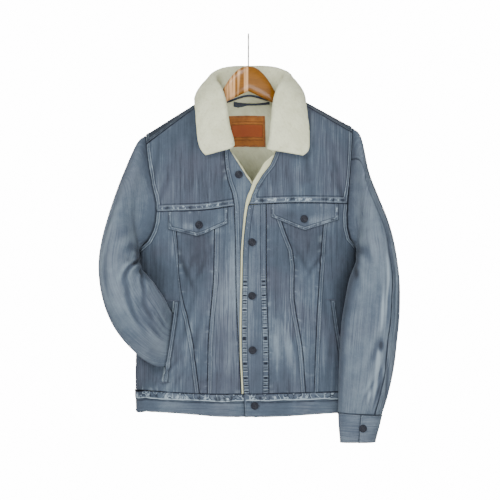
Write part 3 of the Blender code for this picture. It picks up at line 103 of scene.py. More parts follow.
SLEEVE_GAP, ARMPIT_GAP = 0.0018, 0.0022  # at the shoulder's tip, and so much more at the armpit
TUCK_LENGTH, TUCK_DEPTH = 0.0065, 0.0027  # a sleeve's end lies so far under the body's edge
SLEEVE_ROUND = 0.42  # length round a sleeve, for the warp
CUFF_SIDES, CUFF_LAP = 132, 1.06  # steps round a cuff, and how far round a lapped one reaches
MITRE = 0.0022  # how far the joint at the hanger's middle stands forward of the arms
HANGER_ROUND, HOOK_ROUND, BUTTON_ROUND = 56, 28, 56  # corners of their sections
HOOK_LEAN = 0.016  # length of the hook's lower bend
SMALL_STEP = 0.0011  # spacing of the patch's and the loop's mesh
SMALLEST_SHEET = 0.010  # a narrower strip is trim
STRIP_TONE = 0.40  # the shoulder strips are this much darker
SLEEVE_TONE = 0.09  # the sleeves are this much paler than the body
TWILL, TAPE_TWILL = 0.0011, 0.0009  # from one diagonal of the weave to the next
RUNG = 0.0105  # from one short mark beside the placket to the next
RUNG_TOP = (-0.545, -0.525)  # they fade away between these heights
CAMERA_PLACE = (0.0035, -0.476)
FLOOR_Z, FLOOR_REACH = -1.30, 4.0
FLOOR_SPAN = (-4.0, 2.6)
WORLD_LIGHT, SCREEN_LIGHT = 0.66, 15.0
SOFT_SCREEN = (0.970, 0.988)  # the bright screen behind, by the cosine of the angle from its middle
# Lights: name, place, what they aim at, size, power.
LIGHTS = (
    ("key", (-1.3, -2.6, 1.3), (0.0, 0.0, -0.45), (1.3, 1.3), 92.0),
    ("fill", (0.7, -2.8, -0.8), (0.0, 0.0, -0.6), (1.8, 1.0), 66.0),
    ("behind", (0.3, 1.5, 1.2), (0.0, 0.0, -0.4), (1.6, 1.0), 14.0),
)
ARMPIT_POINT = 15  # of the armhole's ring
SLIT_ROWS = (5, 11)  # the slit lies between these rows of its panel
EPSILON = 1e-4
SIDE_ANGLE = math.pi / 2 - 0.0006  # leaves the seam's gap between front and back at the sides
RIDGE_SEAM = 0.0030  # the same between the linings along the ridge

# Height, half width on the left, half width on the right, front depth, back depth.
BODY = (
    (-0.100, 0.240, 0.238, 0.078, 0.066),
    (-0.380, 0.238, 0.236, 0.078, 0.066),
    (-0.480, 0.239, 0.236, 0.076, 0.065),
    (-0.600, 0.243, 0.235, 0.071, 0.062),
    (-0.700, 0.246, 0.234, 0.066, 0.059),
    (-0.790, 0.247, 0.233, 0.060, 0.055),
    (-0.850, 0.245, 0.231, 0.057, 0.052),
)
# Seams that run down: height, then place across.
NECK_LEFT = ((-0.128, -0.084), (-0.160, -0.081), (-0.190, -0.073), (-0.220, -0.061), (-0.240, -0.052),
             (-0.262, -0.038))
NECK_RIGHT = ((-0.128, 0.085), (-0.160, 0.084), (-0.190, 0.079), (-0.220, 0.071), (-0.245, 0.063),
              (-0.268, 0.057))
EDGE_LEFT = ((-0.262, -0.038), (-0.285, -0.023), (-0.305, -0.010), (-0.329, 0.005), (-0.352, 0.017),
             (-0.380, 0.021), (-0.500, 0.022), (-0.860, 0.022))
EDGE_RIGHT = ((-0.268, 0.057), (-0.296, 0.044), (-0.317, 0.026), (-0.348, 0.011), (-0.373, 0.001),
              (-0.405, -0.005), (-0.457, -0.011), (-0.527, -0.013), (-0.712, -0.0145), (-0.793, -0.0105),
              (-0.860, -0.007))
SHERPA_SHOWS = ((-0.268, 0.003), (-0.282, 0.015), (-0.300, 0.015), (-0.317, 0.012), (-0.348, 0.009),
                (-0.373, 0.007), (-0.405, 0.0055), (-0.457, 0.0045), (-0.600, 0.004), (-0.860, 0.004))
PLACKET_LEFT = ((-0.240, -0.052), (-0.267, -0.053), (-0.324, -0.045), (-0.357, -0.034), (-0.428, -0.0295),
                (-0.564, -0.027), (-0.791, -0.016))
PLACKET_RIGHT = ((-0.370, 0.039), (-0.564, 0.040), (-0.700, 0.0445), (-0.791, 0.0445))
V_INNER_LEFT = ((-0.380, -0.072), (-0.434, -0.074), (-0.534, -0.076), (-0.663, -0.087), (-0.791, -0.090))
V_OUTER_LEFT = ((-0.380, -0.162), (-0.434, -0.157), (-0.573, -0.146), (-0.640, -0.129), (-0.791, -0.107))
V_INNER_RIGHT = ((-0.370, 0.066), (-0.415, 0.072), (-0.476, 0.096), (-0.586, 0.100), (-0.692, 0.118),
                 (-0.791, 0.125))
V_OUTER_RIGHT = ((-0.370, 0.166), (-0.426, 0.163), (-0.498, 0.1575), (-0.700, 0.1465), (-0.791, 0.144))
POCKET_LEFT = ((-0.380, -0.176), (-0.480, -0.167), (-0.589, -0.1615), (-0.672, -0.172), (-0.765, -0.186),
               (-0.791, -0.188))
POCKET_RIGHT = ((-0.370, 0.182), (-0.480, 0.181), (-0.585, 0.189), (-0.728, 0.208), (-0.791, 0.211))
BACK_SEAM = ((-0.380, 0.118), (-0.500, 0.112), (-0.640, 0.098), (-0.791, 0.080))
# Armholes, from the shoulder tip to the armpit: height, place across in front, and behind.
ARMHOLE_LEFT = ((-0.2225, -0.226, -0.226), (-0.251, -0.223, -0.219), (-0.320, -0.213, -0.208),
                (-0.380, -0.201, -0.202), (-0.425, -0.205, -0.208), (-0.460, -0.222, -0.223),
                (-0.478, -0.2395, -0.2395))
ARMHOLE_RIGHT = ((-0.2056, 0.228, 0.228), (-0.251, 0.226, 0.222), (-0.308, 0.222, 0.212),
                 (-0.375, 0.216, 0.206), (-0.430, 0.216, 0.210), (-0.462, 0.226, 0.224),
                 (-0.477, 0.2365, 0.2365))
# Seams that run across: place across, then height.
FRONT_YOKE_SEAM = ((-0.240, -0.394), (-0.203, -0.392), (-0.080, -0.387), (-0.034, -0.380), (0.020, -0.376),
                   (0.060, -0.374), (0.240, -0.374))
BACK_YOKE_SEAM = ((-0.240, -0.388), (0.0, -0.380), (0.240, -0.386))
WAIST_SEAM = ((-0.250, -0.783), (-0.128, -0.790), (-0.010, -0.792), (0.067, -0.790), (0.240, -0.786))
HEM = ((-0.250, -0.830), (-0.128, -0.8365), (-0.069, -0.8415), (0.067, -0.8415), (0.180, -0.835),
       (0.240, -0.833))
# The back yoke's upper border: place across, drop below the ridge, and front (-1) or back (1).
YOKE_TOP = (
    (-0.2245, 0.022, -1), (-0.190, 0.018, -1), (-0.155, 0.014, -1), (-0.120, 0.010, -1), (-0.085, 0.006, -1),
    (-0.084, 0.000, 1), (-0.082, 0.007, 1), (-0.076, 0.015, 1), (-0.062, 0.025, 1), (-0.040, 0.031, 1),
    (-0.018, 0.033, 1), (0.018, 0.033, 1), (0.040, 0.031, 1), (0.062, 0.025, 1), (0.076, 0.015, 1),
    (0.082, 0.007, 1), (0.084, 0.000, 1), (0.085, 0.006, -1), (0.120, 0.009, -1), (0.155, 0.011, -1),
    (0.190, 0.012, -1), (0.2275, 0.012, -1),
)
# Large soft folds of the body: front or back, place across, height, half length, half width, depth, lean.
FOLDS = (
    (-1, -0.150, -0.330, 0.080, 0.016, 0.0035, 0.25),
    (-1, 0.160, -0.310, 0.090, 0.018, 0.0035, -0.20),
    (-1, -0.060, -0.620, 0.120, 0.016, 0.0030, 0.05),
    (-1, 0.075, -0.640, 0.110, 0.018, 0.0030, -0.08),
    (-1, 0.150, -0.720, 0.070, 0.014, 0.0030, 0.15),
    (1, -0.120, -0.560, 0.150, 0.026, 0.0050, 0.12),
    (1, 0.030, -0.600, 0.160, 0.024, 0.0045, -0.06),
    (1, 0.140, -0.520, 0.140, 0.026, 0.0050, -0.15),
)
# Sleeve rings: outer point (across, height), inner point (across, height), middle forward, half depth.
SLEEVE_RIGHT = (
    (0.2485, -0.231, 0.2450, -0.4815, -0.012, 0.058),
    (0.2680, -0.318, 0.2430, -0.490, -0.026, 0.062),
    (0.2930, -0.380, 0.2385, -0.502, -0.046, 0.062),
    (0.3120, -0.437, 0.2310, -0.518, -0.064, 0.060),
    (0.3230, -0.490, 0.2210, -0.542, -0.078, 0.056),
    (0.3300, -0.560, 0.2130, -0.584, -0.087, 0.051),
    (0.3270, -0.640, 0.2040, -0.640, -0.088, 0.048),
    (0.3180, -0.720, 0.2000, -0.712, -0.087, 0.045),
    (0.3050, -0.785, 0.1980, -0.776, -0.084, 0.039),
    (0.2900, -0.8350, 0.1970, -0.8300, -0.080, 0.032),
)
CUFF_RIGHT = (
    (0.2897, -0.8354, 0.1972, -0.8304, -0.080, 0.0318),
    (0.2830, -0.8650, 0.1990, -0.8630, -0.080, 0.029),
    (0.2750, -0.8950, 0.2030, -0.8960, -0.080, 0.028),
)
SLEEVE_LEFT = (
    (-0.2470, -0.245, -0.2480, -0.4820, -0.012, 0.058),
    (-0.2800, -0.322, -0.2465, -0.488, -0.026, 0.062),
    (-0.3010, -0.385, -0.2430, -0.496, -0.046, 0.060),
    (-0.3180, -0.446, -0.2390, -0.503, -0.064, 0.058),
    (-0.3260, -0.507, -0.2340, -0.512, -0.078, 0.054),
    (-0.3200, -0.568, -0.2270, -0.524, -0.086, 0.050),
    (-0.3030, -0.622, -0.2130, -0.540, -0.089, 0.045),
    (-0.2780, -0.664, -0.1990, -0.560, -0.088, 0.038),
    (-0.2450, -0.700, -0.1850, -0.582, -0.080, 0.027),
    (-0.2170, -0.722, -0.1750, -0.603, -0.0685, 0.0160),
    (-0.1900, -0.731, -0.1660, -0.616, -0.0538, 0.0072),
    (-0.1640, -0.726, -0.1490, -0.622, -0.0478, 0.0060),
)
CUFF_LEFT = (
    (-0.1630, -0.7262, -0.1480, -0.6218, -0.0478, 0.0058),
    (-0.1360, -0.7220, -0.1240, -0.6220, -0.0474, 0.0058),
    (-0.1080, -0.7180, -0.1000, -0.6220, -0.0474, 0.0056),
)
# Soft folds of the sleeves: along the rings, round from the top (turns, front negative), their half
# spans, and the depth.
SLEEVE_FOLDS_RIGHT = (
    (3.6, -0.28, 0.55, 0.16, 0.0060),
    (5.2, -0.20, 0.50, 0.14, 0.0050),
    (6.4, -0.16, 0.45, 0.12, 0.0050),
    (4.4, 0.24, 0.60, 0.16, 0.0055),
    (5.9, 0.28, 0.50, 0.14, 0.0050),
)
SLEEVE_FOLDS_LEFT = (
    (3.2, -0.36, 0.50, 0.12, 0.0060),
    (4.6, -0.40, 0.45, 0.12, 0.0070),
    (5.8, -0.34, 0.45, 0.14, 0.0060),
    (7.0, -0.30, 0.45, 0.14, 0.0050),
    (4.8, 0.34, 0.55, 0.16, 0.0060),
)
# The collar, from the left front end round the back to the right one. The first two columns place its
# foot on the neck seam: front (-1) or back (1), then the height in front or the place across behind.
# Then the top of the fold (x, y, z) and the free edge (x, y, z).
COLLAR = (
    (-1, -0.2575, -0.0340, -0.0825, -0.2500, -0.0930, -0.0840, -0.2690),
    (-1, -0.2420, -0.0370, -0.0820, -0.2320, -0.1040, -0.0835, -0.2560),
    (-1, -0.2200, -0.0440, -0.0785, -0.2040, -0.1100, -0.0790, -0.2360),
    (-1, -0.1900, -0.0510, -0.0670, -0.1590, -0.1130, -0.0710, -0.2060),
    (-1, -0.1600, -0.0620, -0.0460, -0.1220, -0.1150, -0.0520, -0.1710),
    (1, -0.0840, -0.0760, -0.0030, -0.0990, -0.1160, -0.0040, -0.1425),
    (1, -0.0740, -0.0740, 0.0380, -0.0830, -0.1030, 0.0520, -0.1440),
    (1, -0.0460, -0.0480, 0.0610, -0.0710, -0.0660, 0.0840, -0.1400),
    (1, 0.0000, 0.0000, 0.0700, -0.0680, 0.0000, 0.0940, -0.1400),
    (1, 0.0460, 0.0520, 0.0610, -0.0700, 0.0710, 0.0840, -0.1400),
    (1, 0.0740, 0.0820, 0.0380, -0.0820, 0.1110, 0.0520, -0.1420),
    (1, 0.0840, 0.0820, -0.0030, -0.0970, 0.1210, -0.0040, -0.1345),
    (-1, -0.1600, 0.0680, -0.0460, -0.1190, 0.1260, -0.0520, -0.1640),
    (-1, -0.1900, 0.0580, -0.0680, -0.1550, 0.1310, -0.0700, -0.2040),
    (-1, -0.2200, 0.0520, -0.0785, -0.2020, 0.1330, -0.0780, -0.2360),
    (-1, -0.2450, 0.0500, -0.0820, -0.2320, 0.1310, -0.0815, -0.2580),
    (-1, -0.2640, 0.0440, -0.0823, -0.2570, 0.1190, -0.0840, -0.2700),
)
# The hanger: place across, top, bottom, half depth, how far forward its middle is. The arms follow the
# ridge, so their tops are worked out from it.
HANGER_HUMP = (
    (0.000, -0.0700, -0.1260, 0.0105, -0.0100),
    (0.014, -0.0725, -0.1320, 0.0105, -0.0095),
    (0.027, -0.0810, -0.1385, 0.0105, -0.0085),
    (0.039, -0.0940, -0.1440, 0.0105, -0.0075),
    (0.049, -0.1085, -0.1490, 0.0105, -0.0065),
    (0.058, -0.1245, -0.1535, 0.0105, -0.0050),
)
# Place across, height of the section, how far forward its middle is, extra drop.
HANGER_ARM = ((0.070, 0.024, -0.0040, 0.012), (0.088, 0.024, -0.0030, 0.008), (0.110, 0.024, -0.0020, 0.001),
              (0.135, 0.024, -0.0010, 0.0), (0.165, 0.023, 0.0, 0.0), (0.190, 0.020, 0.0, 0.0),
              (0.203, 0.014, 0.0, 0.003), (0.208, 0.007, 0.0, 0.006))
HANGER_BELOW_RIDGE = 0.0162
HANGER_ARM_DEPTH = 0.0105
# Buttons: name, place across, height. Those on the placket lie along its middle.
FRONT_BUTTONS = (
    ("button_front_top", -0.021, -0.311),
    ("button_front_2", 0.008, -0.459),
    ("button_front_3", 0.008, -0.576),
    ("button_front_4", 0.009, -0.695),
    ("button_waist", 0.014, -0.817),
)
CUFF_BUTTON = (0.2495, -0.8630)
# The flaps' lower corners: place across, height.
FLAPS = {
    "left": ((-0.175, -0.431), (-0.108, -0.447), (-0.046, -0.418)),
    "right": ((0.049, -0.404), (0.121, -0.434), (0.196, -0.410)),
}
FLAP_BUTTONS = (("button_flap_left", -0.107, -0.421), ("button_flap_right", 0.121, -0.408))

# Fine creases: front or back, place across, height, half length, half width, depth, lean.
CREASES = (
    (-1, -0.205, -0.300, 0.050, 0.0065, 0.0016, 0.15), (-1, -0.186, -0.345, 0.040, 0.0060, 0.0014, 0.40),
    (-1, -0.128, -0.300, 0.060, 0.0080, 0.0012, 0.10), (-1, -0.100, -0.330, 0.045, 0.0070, 0.0010, -0.05),
    (-1, 0.092, -0.330, 0.050, 0.0080, 0.0012, -0.10), (-1, 0.128, -0.290, 0.055, 0.0080, 0.0014, -0.15),
    (-1, 0.196, -0.310, 0.055, 0.0070, 0.0016, -0.20), (-1, 0.206, -0.355, 0.030, 0.0060, 0.0012, -0.45),
    (-1, -0.150, -0.480, 0.045, 0.0070, 0.0014, -0.30), (-1, -0.138, -0.520, 0.040, 0.0060, 0.0016, -0.45),
    (-1, -0.122, -0.500, 0.030, 0.0055, 0.0013, 0.50), (-1, -0.108, -0.525, 0.028, 0.0050, 0.0012, 0.55),
    (-1, -0.094, -0.495, 0.026, 0.0050, 0.0010, 0.35), (-1, -0.052, -0.500, 0.070, 0.0080, 0.0012, 0.05),
    (-1, -0.058, -0.700, 0.060, 0.0080, 0.0013, 0.04), (-1, -0.118, -0.690, 0.060, 0.0060, 0.0014, 0.20),
    (-1, -0.137, -0.640, 0.055, 0.0060, 0.0014, 0.25), (-1, 0.120, -0.500, 0.030, 0.0060, 0.0012, -0.50),
    (-1, 0.142, -0.515, 0.026, 0.0050, 0.0013, 0.60), (-1, 0.152, -0.500, 0.020, 0.0050, 0.0012, 0.85),
    (-1, 0.062, -0.560, 0.070, 0.0080, 0.0011, -0.05), (-1, 0.078, -0.720, 0.060, 0.0075, 0.0014, -0.08),
    (-1, 0.105, -0.700, 0.055, 0.0070, 0.0013, -0.12), (-1, 0.168, -0.610, 0.060, 0.0070, 0.0013, -0.10),
    (-1, 0.178, -0.700, 0.060, 0.0065, 0.0014, 0.12), (-1, 0.024, -0.640, 0.060, 0.0065, 0.0008, 0.02),
    (-1, -0.172, -0.735, 0.030, 0.0060, 0.0014, 0.90), (-1, -0.150, -0.755, 0.024, 0.0050, 0.0012, 0.60),
    (1, -0.150, -0.310, 0.060, 0.0090, 0.0016, 0.25), (1, -0.060, -0.330, 0.050, 0.0080, 0.0012, 0.05),
    (1, 0.040, -0.320, 0.060, 0.0090, 0.0013, -0.06), (1, 0.135, -0.300, 0.060, 0.0085, 0.0016, -0.22),
    (1, -0.165, -0.450, 0.055, 0.0080, 0.0018, 0.50), (1, -0.135, -0.500, 0.050, 0.0070, 0.0015, 0.35),
    (1, -0.070, -0.470, 0.070, 0.0090, 0.0014, 0.08), (1, 0.000, -0.540, 0.080, 0.0100, 0.0014, 0.02),
    (1, 0.085, -0.480, 0.070, 0.0090, 0.0015, -0.10), (1, 0.150, -0.450, 0.055, 0.0080, 0.0018, -0.50),
    (1, 0.175, -0.530, 0.050, 0.0070, 0.0015, -0.30), (1, -0.110, -0.680, 0.070, 0.0090, 0.0014, 0.05),
    (1, -0.035, -0.700, 0.060, 0.0080, 0.0013, -0.04), (1, 0.055, -0.690, 0.070, 0.0090, 0.0014, 0.06),
    (1, 0.130, -0.700, 0.060, 0.0080, 0.0014, -0.06), (1, 0.190, -0.650, 0.070, 0.0080, 0.0013, 0.04),
)
# Fine creases of the sleeves: along the rings, round from the top, half spans, depth, and how far round
# each one drifts from ring to ring.
SLEEVE_CREASES_RIGHT = (
    (1.2, -0.42, 0.70, 0.030, 0.0022, 0.03), (1.8, -0.36, 0.80, 0.026, 0.0020, 0.04),
    (2.6, -0.30, 0.90, 0.024, 0.0018, 0.02), (3.9, -0.12, 1.00, 0.016, 0.0018, 0.005),
    (4.9, -0.10, 0.90, 0.012, 0.0016, -0.006), (5.1, -0.155, 0.80, 0.014, 0.0018, 0.004),
    (5.6, -0.06, 0.90, 0.014, 0.0014, 0.006), (6.6, -0.20, 0.45, 0.020, 0.0022, -0.05),
    (7.2, -0.11, 0.40, 0.016, 0.0020, 0.05), (7.4, -0.16, 0.40, 0.013, 0.0022, -0.03),
    (7.9, -0.08, 0.35, 0.014, 0.0020, 0.05), (7.9, -0.21, 0.35, 0.014, 0.0018, -0.06),
    (5.0, 0.26, 0.60, 0.030, 0.0024, 0.05), (5.7, 0.20, 0.50, 0.028, 0.0022, -0.06),
    (6.3, 0.30, 0.50, 0.028, 0.0022, 0.05), (7.2, 0.22, 0.50, 0.026, 0.0020, -0.03),
    (1.6, 0.38, 0.70, 0.030, 0.0020, -0.04), (3.2, 0.20, 0.90, 0.030, 0.0018, 0.02),
    (2.2, -0.05, 1.00, 0.018, 0.0012, 0.00), (3.6, -0.40, 0.60, 0.022, 0.0020, 0.06),
)
SLEEVE_CREASES_LEFT = (
    (1.2, -0.42, 0.70, 0.030, 0.0022, 0.03), (1.9, -0.34, 0.90, 0.026, 0.0020, 0.05),
    (3.0, -0.42, 0.70, 0.022, 0.0024, 0.06), (3.7, -0.36, 0.70, 0.020, 0.0024, 0.08),
    (4.4, -0.30, 0.70, 0.020, 0.0022, 0.07), (4.9, -0.43, 0.60, 0.018, 0.0026, 0.07),
    (5.6, -0.26, 0.80, 0.018, 0.0018, 0.03), (6.0, -0.38, 0.60, 0.018, 0.0024, 0.05),
    (6.9, -0.22, 0.80, 0.016, 0.0018, 0.02), (7.4, -0.31, 0.70, 0.016, 0.0020, 0.02),
    (8.4, -0.26, 0.70, 0.016, 0.0014, 0.01), (8.8, -0.35, 0.60, 0.014, 0.0012, 0.01),
    (2.4, -0.10, 1.00, 0.020, 0.0014, 0.00), (4.2, -0.14, 0.90, 0.020, 0.0012, 0.01),
    (3.9, 0.36, 0.60, 0.030, 0.0026, 0.06), (4.7, 0.28, 0.60, 0.028, 0.0026, 0.05),
    (5.5, 0.34, 0.50, 0.026, 0.0024, 0.05), (6.4, 0.26, 0.50, 0.026, 0.0020, 0.04),
    (1.8, 0.38, 0.70, 0.030, 0.0020, -0.04), (3.0, 0.16, 0.90, 0.030, 0.0016, 0.02),
)
# Patches of wash and painted shade: front or back, place across, height, half width, half height, lean, how
# much paler. The darker rows at the body's sides, in front and behind, are painted shade where the body turns
# away from the light.
WASH_AND_SHADE = (
    (-1, -0.145, -0.290, 0.070, 0.080, 0.0, -0.10), (-1, 0.140, -0.280, 0.070, 0.080, 0.0, -0.07),
    (-1, -0.105, -0.475, 0.050, 0.070, 0.0, -0.20), (-1, 0.118, -0.455, 0.045, 0.060, 0.0, -0.14),
    (-1, -0.045, -0.600, 0.034, 0.150, 0.0, 0.26), (-1, 0.020, -0.470, 0.022, 0.070, 0.0, 0.08),
    (-1, -0.205, -0.560, 0.028, 0.120, 0.0, -0.22), (-1, 0.208, -0.600, 0.026, 0.170, 0.0, -0.24),
    (-1, 0.072, -0.660, 0.026, 0.100, -0.05, 0.12), (-1, -0.120, -0.650, 0.022, 0.100, 0.20, 0.10),
    (-1, -0.215, -0.765, 0.040, 0.030, 0.0, -0.10), (-1, 0.135, -0.770, 0.050, 0.030, 0.0, -0.08),
    (-1, -0.060, -0.765, 0.060, 0.025, 0.0, -0.14), (-1, 0.020, -0.730, 0.020, 0.060, 0.0, -0.12),
    (-1, -0.060, -0.330, 0.020, 0.070, 0.05, -0.16), (-1, 0.060, -0.320, 0.022, 0.050, 0.0, -0.10),
    (-1, -0.128, -0.425, 0.018, 0.010, 0.0, 0.30), (-1, -0.084, -0.432, 0.020, 0.008, 0.0, 0.22),
    (-1, 0.150, -0.415, 0.030, 0.012, 0.0, 0.26), (-1, 0.085, -0.400, 0.018, 0.012, 0.0, -0.20),
    (1, -0.120, -0.300, 0.060, 0.080, 0.0, 0.10), (1, 0.130, -0.310, 0.060, 0.070, 0.0, 0.08),
    (1, 0.000, -0.560, 0.060, 0.160, 0.0, 0.12), (1, -0.190, -0.560, 0.040, 0.150, 0.0, -0.16),
    (1, 0.190, -0.600, 0.040, 0.150, 0.0, -0.16), (1, 0.060, -0.740, 0.080, 0.040, 0.0, -0.12),
)
# Patches of the sleeves' wash and painted shade: along the rings, round from the top, half spans, drift, how
# much paler. The darker rows round near the inner side, by the body, are painted shade.
SLEEVE_WASH_AND_SHADE = {
    "left": (
        (2.6, -0.44, 1.30, 0.045, 0.02, -0.34), (5.0, -0.44, 0.90, 0.050, 0.03, -0.26),
        (3.4, -0.10, 1.80, 0.060, 0.00, 0.16), (5.0, -0.20, 1.20, 0.040, 0.01, 0.14),
        (7.6, -0.30, 1.20, 0.060, 0.02, -0.14), (9.0, -0.20, 0.90, 0.050, 0.00, 0.10),
        (4.8, 0.34, 0.90, 0.050, 0.00, -0.20), (3.0, 0.18, 1.50, 0.060, 0.00, 0.12),
    ),
    "right": (
        (3.0, -0.42, 1.60, 0.040, 0.01, -0.30), (6.0, -0.44, 2.20, 0.036, 0.00, -0.24),
        (4.9, -0.160, 0.95, 0.009, -0.004, 0.62), (5.6, -0.186, 0.60, 0.008, 0.004, 0.50),
        (4.2, -0.090, 1.10, 0.020, 0.000, 0.14), (7.4, -0.182, 0.75, 0.010, 0.010, 0.75),
        (8.1, -0.215, 0.45, 0.012, 0.020, 0.30), (7.9, -0.150, 0.50, 0.009, -0.012, -0.45),
        (6.55, -0.174, 0.14, 0.016, 0.0, -0.80), (2.6, -0.20, 1.60, 0.060, 0.00, 0.10),
        (5.8, 0.26, 1.20, 0.060, 0.00, 0.12), (3.6, 0.36, 1.20, 0.050, 0.00, -0.18),
    ),
}
# Felled seams and hems, by piece: width, rise, how far in each row of stitches lies, how strongly the seam
# is rubbed, and its look (0 roped, 1 a waistband's ridge, 2 a ladder of short marks, 3 twin lines).
YOKE_BAND, FELLED, EDGE_ROW, TWIN = 0.0150, 0.0095, (0.0022,), (0.0020, 0.0078)
SEAMS = {
    "armhole": (FELLED, 0.0006, TWIN, 0.15, 3), "felled": (FELLED, 0.0006, TWIN, 0.24, 0),
    "yoke": (YOKE_BAND, 0.0008, (0.0020, 0.0132), 0.95, 0), "hem": (0.0040, 0.0003, EDGE_ROW, 0.45, 0),
    "fold": (0.0100, 0.0004, (0.0022, 0.0085), 0.35, 0), "flap": (0.0085, 0.0005, (0.0022, 0.0075), 0.85, 0),
    "plain": (0.0, 0.0, (), 0.0, 0),
    "waist": (0.0185, 0.0008, (0.0020,), 1.0, 1), "ladder": (0.0120, 0.0004, (0.0022, 0.0085), 0.25, 2),
}
def all_sides(kind):
    return dict.fromkeys(("left", "right", "top", "bottom"), kind)


BANDS = {
    "back_yoke": {"left": "armhole", "right": "armhole", "top": "fold", "bottom": "yoke"},
    "back_centre": {"left": "felled", "right": "felled"},
    "back_side_left": {"left": "armhole"},
    "back_side_right": {"right": "armhole"},
    "front_yoke_left": {"left": "armhole", "bottom": "yoke"},
    "front_yoke_right": {"right": "armhole", "bottom": "yoke", "left": "fold"},
    "placket_left": {"left": "fold", "right": "hem"},
    "placket_right": {"left": "ladder", "right": "ladder"},
    "front_centre_left": {"left": "felled"},
    "front_centre_right": {"right": "felled"},
    "front_side_left": {"left": "armhole", "right": "felled"},
    "front_side_right": {"right": "armhole", "left": "felled"},
    "waistband_left": {"top": "waist", "bottom": "hem", "right": "hem"},
    "waistband_right": {"top": "waist", "bottom": "hem", "left": "hem"},
    "waistband_back": {"top": "waist", "bottom": "hem"},
    "sleeve_top_left": {"left": "felled"},
    "sleeve_top_right": {"right": "felled"},
    "cuff_left": {"top": "hem", "bottom": "hem"},
    **{name: {"left": "flap", "right": "flap", "bottom": "flap"} for name in ("flap_left", "flap_right")},
    **{name: all_sides("hem") for name in ("welt_left", "welt_right", "neck_patch")},
    "cuff_right": {"top": "hem", "bottom": "hem", "left": "hem", "right": "hem"},
}
GRID_EDGE = (0.0007, 0.0016, 0.0028)  # the first lines of a fine grid in from a border
TABLE_SIZE = 256
CHANCE = np.random.default_rng(11).uniform(-1, 1, (3, TABLE_SIZE, TABLE_SIZE))


def smooth_table(table, x, column=1):
    """A smooth curve through a table's rows, read at x and held at its ends."""
    rows = sorted(table)
    at = np.array([row[0] for row in rows])
    value = np.array([row[column] for row in rows])
    slope = np.gradient(value, at)
    x = np.clip(np.asarray(x, float), at[0], at[-1])
    low = np.clip(np.searchsorted(at, x, side="right") - 1, 0, len(at) - 2)
    step = at[low + 1] - at[low]
    return hermite((x - at[low]) / step, value[low], value[low + 1], slope[low] * step, slope[low + 1] * step)


def fade(x):
    """From 1 at zero down to 0 at one, with level ends."""
    x = np.clip(x, 0.0, 1.0)
    return 1 - x * x * (3 - 2 * x)


def unit(vectors):
    """The same vectors with length one."""
    return vectors / np.linalg.norm(vectors, axis=-1, keepdims=True)


def running(line):
    """Lengths along a line of points, from its start."""
    return np.concatenate([[0], np.cumsum(np.linalg.norm(np.diff(line, axis=0), axis=-1))])


def bell(x, at=0.0, wide=1.0):
    """A soft bump: 1 at one place, dying away to both sides."""
    return np.exp(-(((x - at) / wide) ** 2))


def hermite(t, start, end, start_slope, end_slope):
    """A smooth curve from one value to another, with its slopes at both ends."""
    rise = 3 * t**2 - 2 * t**3
    return start * (1 - rise) + end * rise + start_slope * (t - 2 * t**2 + t**3) + end_slope * (t**3 - t**2)


def ridge(x):
    """Height of the shoulder line."""
    slope = RIDGE_SLOPE - RIDGE_SLOPE_LEAN * np.tanh(x / 0.060)
    return RIDGE_TOP - slope * np.sqrt(x * x + RIDGE_EASE**2)


def half_width(x, z):
    return np.where(x < 0, smooth_table(BODY, z, 1), smooth_table(BODY, z, 2))


def drop_of(arch):
    """How far below the ridge an arch position lies."""
    size = np.abs(arch)
    over = ARCH_HEIGHT * (1 - np.cos(np.minimum(size, 1) * math.pi / 2))
    return over + np.maximum(size - 1, 0) * ARCH_HEIGHT * math.pi / 2


def arch_of(drop):
    """The arch position, without its sign, at a drop below the ridge."""
    drop = np.maximum(drop, 0)
    over = np.arccos(np.clip(1 - drop / ARCH_HEIGHT, 0, 1)) * 2 / math.pi
    return over + np.maximum(drop - ARCH_HEIGHT, 0) / (ARCH_HEIGHT * math.pi / 2)


def surface_place(x, z, side):
    """(angle, arch) of a point of the body's front (side -1) or back (side 1)."""
    share = np.clip(np.abs(x) / half_width(x, z), 0, 1)
    angle = np.sign(x) * np.minimum(np.arcsin(share ** (ROUNDNESS / 2)), SIDE_ANGLE)
    return angle, side * arch_of(ridge(x) - z)


def in_table(table, x, z, side, shape):
    """The sum of a table's rows over the surface: side, place, two half spans, a measure and a lean."""
    total = np.zeros_like(x)
    for row_side, across, height, length, width, amount, lean in table:
        beside = (x - across - lean * (z - height)) / width
        here = amount * np.exp(-((z - height) / length) ** 2) * shape(beside)
        total = total + np.where(side == row_side, here, 0.0)
    return total


def creased(beside):
    """A crease's section: it draws the cloth in, which stands out a little on both sides."""
    return bell(beside) - 0.4 * bell(np.abs(beside), 1.9)


def fold_depth(x, z, side):
    """How far the large folds draw the cloth in."""
    return in_table(FOLDS, x, z, side, bell)


def fine_creases(x, z, side):
    """How far the fine creases draw the cloth in."""
    return in_table(CREASES, x, z, side, creased)


def under_front(x):
    """How far the left front steps back where the right one lies over it."""
    return OVERLAP_RECESS * (1 - fade((x - OVERLAP_FROM) / (OVERLAP_TO - OVERLAP_FROM)))


def pocket_parting(x, z):
    """(inwards, outwards) give of the front at the tucked sleeve, by which lip a point is on."""
    top, bottom = POCKET_LEFT[2][0], POCKET_LEFT[4][0]
    share = np.clip((top - z) / (top - bottom), 0, 1)
    height = np.sin(math.pi * share) ** SLIT_SHAPE
    beside = x - smooth_table(POCKET_LEFT, z)
    inwards = SLIT_IN * height * fade(-beside / SLIT_FADE_OUT)
    outwards = SLIT_OUT * height * fade(beside / SLIT_FADE_IN)
    return inwards, outwards


